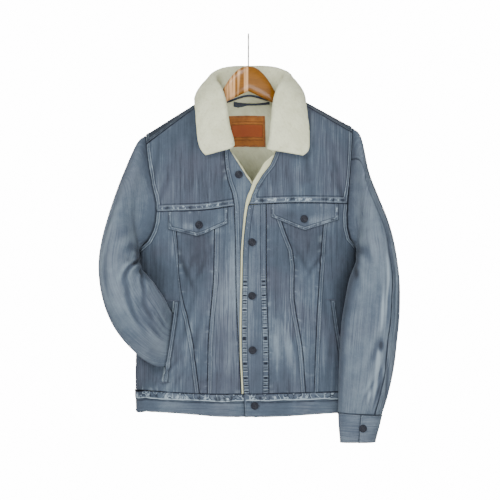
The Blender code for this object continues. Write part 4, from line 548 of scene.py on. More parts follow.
def cuff_room(x, z):
    """How far the left front lining is pushed in by the cuff behind the pocket."""
    top, bottom = POCKET_LEFT[2][0], POCKET_LEFT[4][0]
    height = fade(np.maximum(z - top, bottom - z) / 0.035)
    beside = x - smooth_table(POCKET_LEFT, z)
    outside, inside = fade(-beside / SLIT_FADE_OUT), fade((beside - CUFF_REACH) / CUFF_FADE)
    return CUFF_ROOM * height * np.where(beside < 0, outside, inside)


def body_point(angle, arch, layer="shell", lip=1):
    """The body's surface. layer is shell, under_shell, lining or under_lining.

    On under_shell, lip says on which side of the pocket's slit a point lies: -1 outside it, 1 inside.
    """
    across = np.abs(np.sin(angle)) ** (2 / ROUNDNESS)
    z = np.full_like(angle, -0.4)
    for _ in range(6):
        x = np.sign(angle) * across * half_width(angle, z)
        z = ridge(x) - drop_of(arch)
    front = fade((arch + 0.3) / 0.6)
    deep = smooth_table(BODY, z, 3) * front + smooth_table(BODY, z, 4) * (1 - front)
    rise = np.sin(np.clip(arch, -1, 1) * math.pi / 2)
    y = deep * rise * np.cos(angle) ** (2 / ROUNDNESS)
    side = np.where(arch < 0, -1, 1)
    inwards = (fold_depth(x, z, side) + fine_creases(x, z, side)) * np.abs(rise)
    if layer in ("under_shell", "under_lining"):
        inwards = inwards + under_front(x)
    if layer == "under_shell":
        give_in, give_out = pocket_parting(x, z)
        inwards = inwards + np.where(lip < 0, give_in, -give_out)
    if layer == "under_lining":
        inwards = inwards + cuff_room(x, z)
    inwards = inwards * np.minimum(np.abs(y) / SIDE_STIFF, 1)
    return np.stack([x, y - side * inwards, z], axis=-1)


def body_normal(angle, arch, layer="shell", lip=1):
    wide = np.clip(angle + EPSILON, -math.pi / 2, math.pi / 2)
    narrow = np.clip(angle - EPSILON, -math.pi / 2, math.pi / 2)
    across = body_point(wide, arch, layer, lip) - body_point(narrow, arch, layer, lip)
    over = body_point(angle, arch + EPSILON, layer, lip) - body_point(angle, arch - EPSILON, layer, lip)
    return unit(np.cross(across, over))


def surface(places, layer="shell", lip=1):
    """Points and normals at places of the body, each an angle and an arch position."""
    angle, arch = places[..., 0], places[..., 1]
    return body_point(angle, arch, layer, lip), body_normal(angle, arch, layer, lip)


def coons(left, right, top, bottom):
    """A grid between four borders, each a list of places, rows by columns."""
    rows, columns = len(left), len(top)
    v = np.linspace(0, 1, rows)[:, None, None]
    u = np.linspace(0, 1, columns)[None, :, None]
    left, right, top, bottom = (np.asarray(line) for line in (left, right, top, bottom))
    corners = (1 - v) * ((1 - u) * top[0] + u * top[-1]) + v * ((1 - u) * bottom[0] + u * bottom[-1])
    return (1 - u) * left[:, None] + u * right[:, None] + (1 - v) * top[None] + v * bottom[None] - corners


def border(xs, zs, side):
    """A border in the surface's own places. Side may change along it."""
    xs, zs = np.broadcast_arrays(np.asarray(xs, float), np.asarray(zs, float))
    return np.stack(surface_place(xs, zs, side), axis=-1)


def crossing(table, across, shift=0.0):
    """The height at which a seam that runs down meets one that runs across."""
    z = float(across[len(across) // 2][1])
    for _ in range(8):
        z = float(smooth_table(across, smooth_table(table, z) + shift))
    return z


def side_x(hand, zs, armhole, column, gap=0.0):
    """The outer border of the body: the armhole, less a gap, then the side seam."""
    seam = hand * half_width(np.full_like(zs, hand), zs)
    return np.where(zs > armhole[-1][0] + 1e-6, smooth_table(armhole, zs, column) - hand * gap, seam)


def along(seam, x0, x1, z0, z1, count, side, shift=0.0):
    """A border along a seam that runs across, between two corners."""
    xs = np.linspace(x0, x1, count + 1)
    zs = smooth_table(seam, xs) + shift
    zs = zs + np.linspace(z0 - zs[0], z1 - zs[-1], count + 1)
    return border(xs, zs, side)


def steps(*marks):
    """Heights through the marks: height, number of steps, height, ..."""
    zs = [marks[0]]
    for count, end in zip(marks[1::2], marks[2::2]):
        zs += list(np.linspace(zs[-1], end, count + 1)[1:])
    return np.array(zs)


def quilt(left_x, left_z, right_x, right_z, top, bottom, columns, side):
    """The grid of places between two borders that run down and two seams that run across.

    Each border that runs down is a list of places; top and bottom are seams, or None for a straight edge.
    """
    left, right = border(left_x, left_z, side), border(right_x, right_z, side)
    ends = []
    for seam, row in ((top, 0), (bottom, -1)):
        x0, x1, z0, z1 = left_x[row], right_x[row], left_z[row], right_z[row]
        straight = ((min(x0, x1) - 1, z0), (max(x0, x1) + 1, z0)) if seam is None else seam
        ends.append(along(straight, x0, x1, z0, z1, columns, side))
    return coons(left, right, ends[0], ends[1])


HALF_GAP = SEAM_GAP / 2
# Rows of a lining over the shoulder, down the armhole and down the side, in front and behind.
LINING_ROWS = {-1: (8, 5, 7), 1: (8, 4, 5)}
BODY_ROWS = 12
ARM_ROWS = 4  # of those, the rows above the armpit
WAIST_SIDE = 0.247  # a place across by the side seam at the waist, on either side
SIDES = {
    "left": {
        "label": "left", "hand": -1, "armhole": ARMHOLE_LEFT, "neck": NECK_LEFT, "edge": EDGE_LEFT,
        "placket": PLACKET_LEFT,
        "v_inner": V_INNER_LEFT, "v_outer": V_OUTER_LEFT, "pocket": POCKET_LEFT, "layer": "under_shell",
    },
    "right": {
        "label": "right", "hand": 1, "armhole": ARMHOLE_RIGHT, "neck": NECK_RIGHT, "edge": EDGE_RIGHT,
        "placket": PLACKET_RIGHT,
        "v_inner": V_INNER_RIGHT, "v_outer": V_OUTER_RIGHT, "pocket": POCKET_RIGHT, "layer": "shell",
    },
}


def body_rows(part, outer, shift):
    """Heights down a border between the yoke seam and the waist: at the armpit or the slit, on a row."""
    if outer == "side":
        seam = [(z, x) for z, x, _ in part["armhole"]]
        top, marks = crossing(seam, FRONT_YOKE_SEAM, shift), (part["armhole"][-1][0], ARM_ROWS)
        waist = float(smooth_table(WAIST_SEAM, part["hand"] * WAIST_SIDE))
        return steps(top, marks[1], marks[0], BODY_ROWS - ARM_ROWS, waist)
    seam = part[outer]
    top, bottom = crossing(seam, FRONT_YOKE_SEAM, shift), crossing(seam, WAIST_SEAM)
    if outer == "pocket":
        return steps(top, 5, seam[2][0], 6, seam[4][0], 1, bottom)
    return steps(top, BODY_ROWS, bottom)


class JacketSizes(bpy.types.PropertyGroup):
    """Sizes that are safe to change."""

    shell_step: bpy.props.FloatProperty(
        name="Denim grid", description="Spacing of the denim's mesh", default=0.0035, min=0.003,
        unit="LENGTH")
    lining_step: bpy.props.FloatProperty(
        name="Lining grid", description="Spacing of the lining's mesh", default=0.0046, min=0.004,
        unit="LENGTH")
    collar_step: bpy.props.FloatProperty(
        name="Collar grid", description="Spacing of the collar's mesh", default=0.0022, min=0.002,
        unit="LENGTH")
    stitch: bpy.props.FloatProperty(
        name="Stitch", description="Length from one stitch to the next", default=0.0034, min=0.002,
        unit="LENGTH")
    thread: bpy.props.FloatProperty(
        name="Thread", description="Thickness of the sewing thread", default=0.0007, min=0.0003,
        unit="LENGTH")
    tuft: bpy.props.FloatProperty(
        name="Tuft", description="Width of one tuft of the pile", default=0.0052, min=0.002, unit="LENGTH")
    pile: bpy.props.FloatProperty(
        name="Pile", description="How far the tufts stand out", default=0.0011, min=0.0, max=0.002,
        unit="LENGTH")
    pucker: bpy.props.FloatProperty(
        name="Pucker", description="Height of the ripples along the seams", default=0.0006, min=0.0,
        max=0.001, unit="LENGTH")


class JacketColours(bpy.types.PropertyGroup):
    """Colours of the cloths, the leather, the wood and the metals."""

    denim: bpy.props.FloatVectorProperty(
        name="Denim", description="Faded face of the denim", default=(0.061, 0.082, 0.113), subtype="COLOR")
    # Unfaded indigo, which also paints the shadow in the seams' gaps, at the laps' steps and in the roping's
    # pits.
    denim_unfaded_and_shadow: bpy.props.FloatVectorProperty(
        name="Denim, unfaded", description="Denim in the seams' shade", default=(0.0045, 0.0065, 0.0130),
        subtype="COLOR")
    denim_worn: bpy.props.FloatVectorProperty(
        name="Denim, worn", description="Denim rubbed pale", default=(0.34, 0.42, 0.48), subtype="COLOR")
    denim_slate: bpy.props.FloatVectorProperty(
        name="Denim, slate", description="The greyer patches of the denim", default=(0.070, 0.075, 0.102),
        subtype="COLOR")
    thread: bpy.props.FloatVectorProperty(
        name="Thread", description="Sewing thread", default=(0.030, 0.040, 0.066), subtype="COLOR")
    sherpa: bpy.props.FloatVectorProperty(
        name="Sherpa", description="Pile of the collar and lining", default=(0.64, 0.66, 0.47),
        subtype="COLOR")
    leather: bpy.props.FloatVectorProperty(
        name="Leather", description="Neck patch", default=(0.30, 0.104, 0.018), subtype="COLOR")
    tape: bpy.props.FloatVectorProperty(
        name="Loop", description="Hanging loop", default=(0.022, 0.027, 0.036), subtype="COLOR")
    wood: bpy.props.FloatVectorProperty(
        name="Wood", description="Varnished hanger", default=(0.225, 0.084, 0.0035), subtype="COLOR")
    steel: bpy.props.FloatVectorProperty(
        name="Steel", description="Hook", default=(0.62, 0.62, 0.60), subtype="COLOR")
    button: bpy.props.FloatVectorProperty(
        name="Button metal", description="Tack buttons", default=(0.003, 0.0045, 0.010), subtype="COLOR")


class JacketStage(bpy.types.PropertyGroup):
    """Camera, floor and lights."""

    distance: bpy.props.FloatProperty(
        name="Camera distance", description="From the camera to the hook", default=6.145, unit="LENGTH")
    lens: bpy.props.FloatProperty(name="Lens", description="Focal length in millimetres", default=200.0)
    floor: bpy.props.FloatVectorProperty(
        name="Floor", description="Pale floor", default=(0.85, 0.85, 0.85), subtype="COLOR")


def sizes():
    return bpy.context.scene.jacket_sizes


def noise(u, v=0.0, seed=0):
    """Smooth noise from -1 to 1, about one unit across."""
    u, v = np.broadcast_arrays(np.asarray(u, float) + 17.3 * seed, np.asarray(v, float) + 5.7 * seed)
    i, j = np.floor(u).astype(int), np.floor(v).astype(int)
    s, t = 1 - fade(u - i), 1 - fade(v - j)
    found = 0
    for di, share in ((0, 1 - s), (1, s)):
        for dj, part in ((0, 1 - t), (1, t)):
            found = found + CHANCE[0][(i + di) % TABLE_SIZE, (j + dj) % TABLE_SIZE] * share * part
    return found


def tufts(u, v, seed=0):
    """Rounded tufts about one unit across: 1 at their tops, 0 between them."""
    u, v = u + 31.7 * seed, v + 12.9 * seed
    i, j = np.floor(u).astype(int), np.floor(v).astype(int)
    nearest = np.full(u.shape, 9.0)
    for di in (-1, 0, 1):
        for dj in (-1, 0, 1):
            a, b = (i + di) % TABLE_SIZE, (j + dj) % TABLE_SIZE
            off_u = i + di + 0.5 + 0.42 * CHANCE[1][a, b] - u
            off_v = j + dj + 0.5 + 0.42 * CHANCE[2][a, b] - v
            nearest = np.minimum(nearest, off_u**2 + off_v**2)
    return np.clip(1 - nearest / 0.62, 0, 1)


def mesh_object(name, vertices, faces, material, sharp=50):
    """A piece from arrays of vertices and of faces that all have the same number of corners."""
    mesh = bpy.data.meshes.new(name)
    if isinstance(faces, np.ndarray):
        mesh.vertices.add(len(vertices))
        mesh.vertices.foreach_set("co", np.asarray(vertices, np.float32).ravel())
        mesh.loops.add(faces.size)
        mesh.loops.foreach_set("vertex_index", faces.astype(np.int32).ravel())
        mesh.polygons.add(len(faces))
        mesh.polygons.foreach_set("loop_start", np.arange(0, faces.size, faces.shape[1], dtype=np.int32))
        mesh.update(calc_edges=True)
    else:
        mesh.from_pydata([tuple(map(float, vertex)) for vertex in vertices], [], faces)
    mesh.shade_smooth()
    mesh.set_sharp_from_angle(angle=math.radians(sharp))
    piece = bpy.data.objects.new(name, mesh)
    piece.data.materials.append(material)
    bpy.context.scene.collection.objects.link(piece)
    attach(piece, "root")
    return piece


def mark(piece, name, values):
    """A value or a vector for each vertex, for the materials."""
    values = np.asarray(values, np.float32)
    kind, field = ("FLOAT_VECTOR", "vector") if values.ndim == 2 else ("FLOAT", "value")
    piece.data.attributes.new(name, kind, "POINT").data.foreach_set(field, values.ravel())


def fine_lines(lengths, step):
    """Where a fine grid's lines lie among a coarse grid's, closer together beside the two borders."""
    total = np.concatenate([[0], np.cumsum(lengths)])
    inner = [line for line in GRID_EDGE if line < total[-1] / 2 - 0.001]
    start = inner[-1] if inner else 0.0
    middle = np.linspace(start, total[-1] - start, max(2, round((total[-1] - 2 * start) / step)) + 1)
    wanted = np.concatenate([[0.0], inner[:-1], middle, [total[-1] - line for line in inner[:-1][::-1]],
                             [total[-1]]]) if inner else middle
    return np.interp(wanted, total, np.arange(len(total)))


def at_lines(values, lines, axis):
    """A coarse grid's values read at fine lines, in straight steps."""
    low = np.minimum(lines.astype(int), values.shape[axis] - 2)
    shape = [1] * values.ndim
    shape[axis] = len(lines)
    t = (lines - low).reshape(shape)
    return np.take(values, low, axis) * (1 - t) + np.take(values, low + 1, axis) * t


def spline_lines(values, at, lines):
    """A coarse grid's rows, which lie at given places, read at fine places on a smooth curve."""
    slope = np.gradient(values, at, axis=0)
    low = np.clip(np.searchsorted(at, lines, side="right") - 1, 0, len(at) - 2)
    step = (at[low + 1] - at[low]).reshape((-1,) + (1,) * (values.ndim - 1))
    t = (lines - at[low]).reshape(step.shape) / step
    return hermite(t, values[low], values[low + 1], slope[low] * step, slope[low + 1] * step)


def spans(points):
    """Lengths along a grid: from the left, from the right, from the top and from the bottom border."""
    left = np.cumsum(np.pad(np.linalg.norm(np.diff(points, axis=1), axis=-1), ((0, 0), (1, 0))), axis=1)
    top = np.cumsum(np.pad(np.linalg.norm(np.diff(points, axis=0), axis=-1), ((1, 0), (0, 0))), axis=0)
    return {"left": left, "right": left[:, -1:] - left, "top": top, "bottom": top[-1:] - top}


def mean_steps(points):
    """The mean length from column to column of a grid, and from row to row."""
    return (np.linalg.norm(np.diff(points, axis=1), axis=-1).mean(axis=0),
            np.linalg.norm(np.diff(points, axis=0), axis=-1).mean(axis=1))


def seam_of(name):
    return sum(ord(letter) * (place + 1) for place, letter in enumerate(name)) % 97


def sewn(name, points, plain=(), strength=1.0):
    """The rise over a denim grid from the seams at its borders, and the marks that draw them."""
    length = spans(points)
    seed = seam_of(name)
    shape = points.shape[:2]
    rise, wear, run_at, look_at = (np.zeros(shape) for _ in range(4))
    edge, share = np.full(shape, 1.0), np.full(shape, 3.0)
    pucker = sizes().pucker
    for number, side in enumerate(("left", "right", "top", "bottom")):
        if side in plain:
            continue
        away = length[side]
        run = length["top" if side in ("left", "right") else "left"]
        width, high, _, rubbed, look = SEAMS[BANDS.get(name, {}).get(side, "plain")]
        wave = noise(run / 0.0068 + 0.3 * noise(away / 0.004, run / 0.03, seed + number), 0, seed + number)
        fine = noise(run / 0.0042, away / 0.005, seed + 7 + number)
        edge = np.minimum(edge, away)
        if width:
            flat_top = fade((away - width + 0.0012) / 0.0024)
            rise = np.maximum(rise, (high + pucker * (0.8 * wave + 0.3 * fine)) * flat_top
                              * (1 - fade(away / 0.0009) * 0.8))
            ridges = fade(np.abs(away - width * 0.55) / (width * 0.62)) * rubbed
            here = ridges * (0.12 + 0.9 * wave + 0.45 * fine)
            nearer = away / width < share
            wear = np.where(nearer & (away < width * 1.2), here, wear)
            share, run_at = np.where(nearer, away / width, share), np.where(nearer, run + 0.31 * seed, run_at)
            look_at = np.where(nearer, look, look_at)
        else:
            ease = np.exp(-((away / 0.011) ** 2)) * (1 - fade(away / 0.0015))
            rise = rise + 0.35 * pucker * np.clip(wave, 0, 1) * ease
            wear = wear + 0.16 * ease * (wave + 0.3 * fine)
    seam = np.stack([edge.ravel(), (wear * strength).ravel(), np.broadcast_to(strength, shape).ravel()], -1)
    band = np.stack([share.ravel(), run_at.ravel(), look_at.ravel()], -1)
    return rise, {"seam": seam, "band": band}


def rim_of(quads):
    """The directed edges of a set of quads that have no neighbour."""
    start, end = quads.ravel(), np.roll(quads, -1, axis=1).ravel()
    size = int(quads.max()) + 1
    keys, back = start * size + end, end * size + start
    loose = ~np.isin(keys, back)
    return start[loose], end[loose]


def closed_wall(name, points, normals, inner, outer, material, marks, quads=None):
    """A closed wall about a grid or a net of quads, with its marks on both faces.

    Inner and outer are offsets along the normals.
    """
    quads = quad_grid(*points.shape[:2]) if quads is None else quads
    points, normals = points.reshape(-1, 3), normals.reshape(-1, 3)
    a, b, c, d = (points[quads[:, i]] for i in range(4))
    if (np.cross(c - a, d - b) * normals[quads[:, 0]]).sum() < 0:
        quads = quads[:, ::-1]
    count = len(points)
    start, end = rim_of(quads)
    rim = np.stack([end, start, start + count, end + count], 1)
    vertices = np.concatenate([points + normals * np.reshape(side, (-1, 1)) for side in (outer, inner)])
    faces = np.concatenate([quads, quads[:, ::-1] + count, rim])
    piece = mesh_object(name + "_cloth", vertices, faces, material)
    for key, values in marks.items():
        values = values.ravel() if values.size == count else values
        mark(piece, key, np.concatenate([values, values]))
    mark(piece, "inside", np.repeat([0.0, 1.0], count))
    return piece


def quads_of(number, wrap=False):
    """The quads between points that are numbered in a grid."""
    right = np.roll(number, -1, axis=1)
    cut = slice(None) if wrap else slice(0, -1)
    return np.stack([number[:-1, cut], number[1:, cut], right[1:, cut], right[:-1, cut]], -1).reshape(-1, 4)


def quad_grid(rows, columns, wrap=False):
    return quads_of(np.arange(rows * columns).reshape(rows, columns), wrap)


def tube_faces(rows, sides, turned=False):
    """The quads of a tube of rings, with a strip of quads over each end. Turned, they face the other way."""
    quads, caps = quad_grid(rows, sides, wrap=True), []
    for row, order in ((0, 1), (rows - 1, -1)):
        ring = (row * sides + np.arange(sides))[::order]
        caps += [(ring[i], ring[i + 1], ring[sides - 2 - i], ring[sides - 1 - i])
                 for i in range(sides // 2 - 1)]
    faces = np.concatenate([quads, np.array(caps)])
    return faces[:, ::-1] if turned else faces


def declare(node, points, slot):
    """Hides the part of the model that the cloth stands for; the cut's size and area are worked out but not
    used, and slot is not used.
    """
    length = spans(points)
    wide, tall = float(length["right"][:, 0].max()), float(length["bottom"][0].max())
    a, b = points[1:, 1:] - points[:-1, :-1], points[1:, :-1] - points[:-1, 1:]
    area = float(np.linalg.norm(np.cross(a, b), axis=-1).sum() / 2)
    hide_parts(node)
    if min(wide, tall) < SMALLEST_SHEET:
        return


SLOTS = {
    "denim": "denim", "band": "denim_bands", "sherpa": "sherpa", "leather": "leather", "loop": "loop_cloth",
}


def cloth_marks(across, down, crease, wash_and_shade, seams, turned=False):
    """Marks for the denim: place on the cloth with the warp upright, wash with painted shade, and depth in a
    crease, which the finish paints as shade.
    """
    u, v = (down, across) if turned else (across, down)
    return {"cloth": np.stack([part.ravel() for part in np.broadcast_arrays(u, v, wash_and_shade)], -1),
            "crease": np.broadcast_to(crease, wash_and_shade.shape).ravel(), **seams}


def section_place(angle):
    """How far round the body an angle lies, in metres."""
    turn = np.linspace(-math.pi / 2, math.pi / 2, RING_SAMPLES + 1)
    x = np.sign(turn) * np.abs(np.sin(turn)) ** (2 / ROUNDNESS) * BODY[1][1]
    y = np.abs(np.cos(turn)) ** (2 / ROUNDNESS) * BODY[1][3]
    return np.interp(angle, turn, running(np.stack([x, y], -1)))


def wash_and_shade_of(x, z, side):
    """How much paler or darker the cloth is painted: random wash, darker along the shoulder ridge, and the
    listed patches of wash and painted shade.
    """
    total = 0.10 * noise(x / 0.060, z / 0.110, 3) - 0.22 * fade((ridge(x) - z) / 0.020)
    for patch_side, across, height, half_x, half_z, lean, amount in WASH_AND_SHADE:
        here = amount * bell(x, across + lean * (z - height), half_x) * bell(z, height, half_z)
        total = total + np.where(side == patch_side, here, 0.0)
    return total


def pile_of(points, seed):
    """How far a pile stands out over a grid, as a share."""
    length = spans(points)
    tuft = sizes().tuft
    u, v = length["left"] / tuft + 9.0 * seed, length["top"] / tuft + 5.0 * seed
    drift = 0.35 * noise(u * 0.7, v * 0.7, seed)
    big, small = tufts(u + drift, v - drift, seed), tufts(2.1 * u - drift, 2.1 * v + drift, seed + 3)
    return 0.62 * np.sqrt(big) + 0.26 * small + 0.25 * noise(u / 3, v / 3, seed + 5)


def rounded_half(points, half):
    """Half the thickness of a pile cloth, rounded off towards its borders."""
    length = spans(points)
    away = np.minimum.reduce(list(length.values()))
    inside = np.clip(1 - away / half, 0, 1)
    return half * np.sqrt(np.clip(1 - inside**2, 0.012, 1))


def refine(places, step):
    """The same places on a fine grid, and its rows and columns as numbers among the coarse ones."""
    across, down = mean_steps(body_point(places[..., 0], places[..., 1]))
    columns, rows = fine_lines(across, step), fine_lines(down, step)
    return at_lines(at_lines(places, rows, 0), columns, 1), rows, columns


def panel(name, places, kind, layer="shell", inner=0.0, outer=DENIM_WALL):
    """A patch of the body's surface as a piece of cloth. Returns the coarse points and normals."""
    pile = kind == "sherpa"
    fine, _, _ = refine(places, sizes().lining_step if pile else sizes().shell_step)
    angle, arch = fine[..., 0], fine[..., 1]
    points, normals = surface(fine, layer)
    if pile:
        near = fine[..., 2]
        inner, outer = lining_walls(near, arch)
        middle, half = (inner + outer) / 2, (outer - inner) / 2
        half = rounded_half(points, float(half.mean()))
        height = pile_of(points, seam_of(name)) * fade((near - 0.4) / 0.6)
        inner = middle - half - sizes().pile * height
        outer = middle + half + 0.35 * sizes().pile * height * (1 - near)
        marks = {"pile": height}
    else:
        rise, seams = sewn(name, points)
        outer = outer + rise
        side = np.where(arch < 0, -1, 1)
        wash_and_shade = wash_and_shade_of(points[..., 0], points[..., 2], side)
        if name == "back_yoke":
            wash_and_shade = wash_and_shade - STRIP_TONE * (arch < 0)
        marks = cloth_marks(section_place(angle) + 0.7 * (arch > 0), points[..., 2],
                            fine_creases(points[..., 0], points[..., 2], side), wash_and_shade, seams,
                            name.startswith("waistband"))
        inner = np.full(angle.shape, inner)
    piece = closed_wall(name, points, normals, inner, outer, FINISH[kind], marks)
    declare(name, points, SLOTS[kind])
    stitch_borders(name, points + normals * outer[..., None], normals)
    return surface(places, layer)


THREADS = {}


def stitch_line(line, normals, group):
    """Stitches laid along a line of points, kept for the group's mesh."""
    gap, wide = sizes().stitch, sizes().thread
    run = running(line)
    if run[-1] < 2 * gap:
        return
    at = np.arange(gap * 0.6, run[-1] - gap * 0.4, gap)

    def read(values, where):
        return np.stack([np.interp(where, run, values[:, axis]) for axis in range(3)], -1)

    start, middle, end = (read(line, at + share * gap) for share in (-0.39, 0.0, 0.39))
    facing = unit(read(normals, at))
    sunk = facing * wide * 0.25
    lay_stitches(start - sunk, middle, end - sunk, end - start, facing, group, 0.28, wide * 0.5, wide * 0.35,
                 wide * 0.5)


def lay_stitches(start, middle, end, ahead, facing, group, share, half, lift, rise):
    """Stitches of four sides that run ahead from point to point, two squares about each middle."""
    beside = unit(np.cross(ahead, facing))
    rows = [start]
    for place in (-share, share):
        for across, up in ((1, 0), (0, 1), (-1, 0), (0, -1)):
            rows.append(middle + ahead * place + beside * across * half + facing * (lift + rise * up))
    THREADS.setdefault(group, []).append(np.stack(rows + [end], axis=1))


STITCH_FACES = np.array(
    [(0, 1 + (i + 1) % 4, 1 + i) for i in range(4)]
    + [(1 + i, 1 + (i + 1) % 4, 5 + (i + 1) % 4) for i in range(4)]
    + [(1 + i, 5 + (i + 1) % 4, 5 + i) for i in range(4)]
    + [(9, 5 + i, 5 + (i + 1) % 4) for i in range(4)])


def sew(group):
    """One mesh of all the stitches that were laid for a group."""
    rows = np.concatenate(THREADS.pop(group))
    count = len(rows)
    faces = (STITCH_FACES[None] + 10 * np.arange(count)[:, None, None]).reshape(-1, 3)
    piece = mesh_object(f"stitches_{group}", rows.reshape(-1, 3), faces, FINISH["thread"], 80)
    mark(piece, "stitch", np.repeat(CHANCE[1].ravel()[np.arange(count) % TABLE_SIZE**2], 10))
    return piece


def inset_line(face, normals, side, away):
    """The line on a fine grid that keeps a distance from one border, with its normals."""
    if side in ("top", "bottom"):
        face, normals = face.transpose(1, 0, 2), normals.transpose(1, 0, 2)
    if side in ("right", "bottom"):
        face, normals = face[:, ::-1], normals[:, ::-1]
    length = spans(face)["left"]
    rows = [row for row in range(len(face)) if length[row, -1] >= away * 1.5]
    return tuple(np.array([[np.interp(away, length[row], values[row, :, axis]) for axis in range(3)]
                           for row in rows]) for values in (face, normals))


def stitch_borders(name, face, normals):
    """Rows of stitches along the seams of a piece, on its outer face."""
    for side, kind in BANDS.get(name, {}).items():
        for away in SEAMS[kind][2]:
            line, facing = inset_line(face, normals, side, away)
            if len(line) > 2:
                stitch_line(line, facing, group_of(name))


def group_of(name):
    if name.startswith(("back", "waistband_back")):
        return "back"
    if name.startswith(("sleeve", "cuff")):
        return name.split("_")[0] + "_" + name.split("_")[-1]
    if name.startswith(("flap", "welt")):
        return "pockets"
    return "patch" if name == "neck_patch" else "front"


def inset(xs, zs, side_gap, top_gap=HALF_GAP, bottom_gap=HALF_GAP):
    """A border drawn in by half the seam's gap."""
    zs = np.array(zs, float)
    zs[0] -= top_gap
    zs[-1] += bottom_gap
    return np.asarray(xs) + side_gap, zs


def front_border(part, which, gap):
    zs = body_rows(part, which, 0.0)
    if which == "side":
        return inset(side_x(part["hand"], zs, part["armhole"], 1, HALF_GAP), zs, 0.0)
    return inset(smooth_table(part[which], zs), zs, gap)


def front_panel(name, part, left, right, columns):
    (lx, lz), (rx, rz) = front_border(part, left, HALF_GAP), front_border(part, right, -HALF_GAP)
    places = quilt(lx, lz, rx, rz, FRONT_YOKE_SEAM, WAIST_SEAM, columns, -1)
    return panel(name, places, "denim", part["layer"])


def arm_border(part, arches, gap):
    """The armhole as places at given arch positions."""
    column = np.where(arches < 0, 1, 2)
    x = np.full_like(arches, part["armhole"][0][1])
    for _ in range(6):
        z = ridge(x) - drop_of(arches)
        x = np.where(column == 1, smooth_table(part["armhole"], z, 1), smooth_table(part["armhole"], z, 2))
    angle, _ = surface_place(x + gap, z, 1)
    return np.stack([angle, arches], axis=-1)


def back_yoke():
    top = np.array([border(x, float(ridge(np.array(x))) - drop, side) for x, drop, side in YOKE_TOP])
    xs = np.array([x for x, _, _ in YOKE_TOP])
    bottom = border(xs, smooth_table(BACK_YOKE_SEAM, xs) + HALF_GAP, 1)
    sides = []
    for part, row in ((SIDES["left"], 0), (SIDES["right"], -1)):
        levels = np.concatenate([np.linspace(top[row, 1], 0, 4), np.linspace(0, bottom[row, 1], 10)[1:]])
        sides.append(arm_border(part, levels, -part["hand"] * HALF_GAP))
    top[0], top[-1] = sides[0][0], sides[1][0]
    bottom[0], bottom[-1] = sides[0][-1], sides[1][-1]
    return panel("back_yoke", coons(sides[0], sides[1], top, bottom), "denim")


def left_first(part, outer, inner):
    """Two borders of a side of the body, the outer and the inner one, in the order from left to right."""
    return (*outer, *inner) if part["hand"] < 0 else (*inner, *outer)


def front_yoke(part):
    """From the shoulder seam to the chest seam. The right one reaches the front edge."""
    hand = part["hand"]
    below, corner = (("placket", part["placket"][0][0]) if hand < 0 else ("edge", part["neck"][-1][0]))
    top = [(x, float(ridge(np.array(x))) - drop - SEAM_GAP) for x, drop, side in YOKE_TOP
           if side < 0 and x * hand > 0]
    outer_top, inner_top = (top[0][1], top[-1][1]) if hand < 0 else (top[-1][1], top[0][1])
    arm_z = steps(outer_top, 8, float(smooth_table(FRONT_YOKE_SEAM, hand * 0.21)) + SEAM_GAP)
    arm_x = smooth_table(part["armhole"], arm_z, 1) - hand * HALF_GAP
    neck_z = steps(inner_top, 3, corner, 5, crossing(part[below], FRONT_YOKE_SEAM) + SEAM_GAP)
    neck_x = np.where(neck_z > corner, smooth_table(part["neck"], neck_z), smooth_table(part[below], neck_z))
    borders = left_first(part, (arm_x, arm_z), (neck_x + hand * HALF_GAP, neck_z))
    places = quilt(*borders, top, FRONT_YOKE_SEAM, 8 if hand < 0 else 9, -1)
    return panel("front_yoke_" + part["label"], places, "denim", part["layer"])


def placket(part):
    """The strip beside the front edge: from the neck on the left, from the chest seam on the right."""
    hand, borders = part["hand"], []
    for key, gap in (("placket", SEAM_GAP if hand < 0 else -HALF_GAP), ("edge", 0.0)):
        chest, waist = crossing(part[key], FRONT_YOKE_SEAM), crossing(part[key], WAIST_SEAM) + HALF_GAP
        zs = (steps(part[key][0][0], 5, chest + gap, 8, waist) if hand < 0
              else steps(chest - HALF_GAP, 11, waist))
        borders.append((smooth_table(part[key], zs) + gap, zs))
    top = tuple((x, z) for z, x in part["neck"][-2:]) if hand < 0 else FRONT_YOKE_SEAM
    places = quilt(*left_first(part, *borders), top, WAIST_SEAM, 3, -1)
    return panel("placket_" + part["label"], places, "band", part["layer"])


def front_centre(part):
    order = ("v_inner", "placket") if part["hand"] < 0 else ("placket", "v_inner")
    return front_panel("front_centre_" + part["label"], part, *order, 3)


def waistband(name, x0, x1, columns, layer, side):
    """A stretch of the waistband. An end given as None is the side seam on that side."""
    ends = []
    for x, hand in ((x0, -1), (x1, 1)):
        across = hand * WAIST_SIDE if x is None else x(WAIST_SEAM[2][1])
        zs = steps(float(smooth_table(WAIST_SEAM, across)) - HALF_GAP, 2, float(smooth_table(HEM, across)))
        xs = hand * half_width(np.full_like(zs, hand), zs) if x is None else np.array([x(z) for z in zs])
        ends.append((xs, zs))
    (lx, lz), (rx, rz) = ends
    top = tuple((x, z - HALF_GAP) for x, z in WAIST_SEAM)
    places = quilt(lx, lz, rx, rz, top, HEM, columns, side)
    return panel(name, places, "band", layer, 0.0, BAND_WALL)


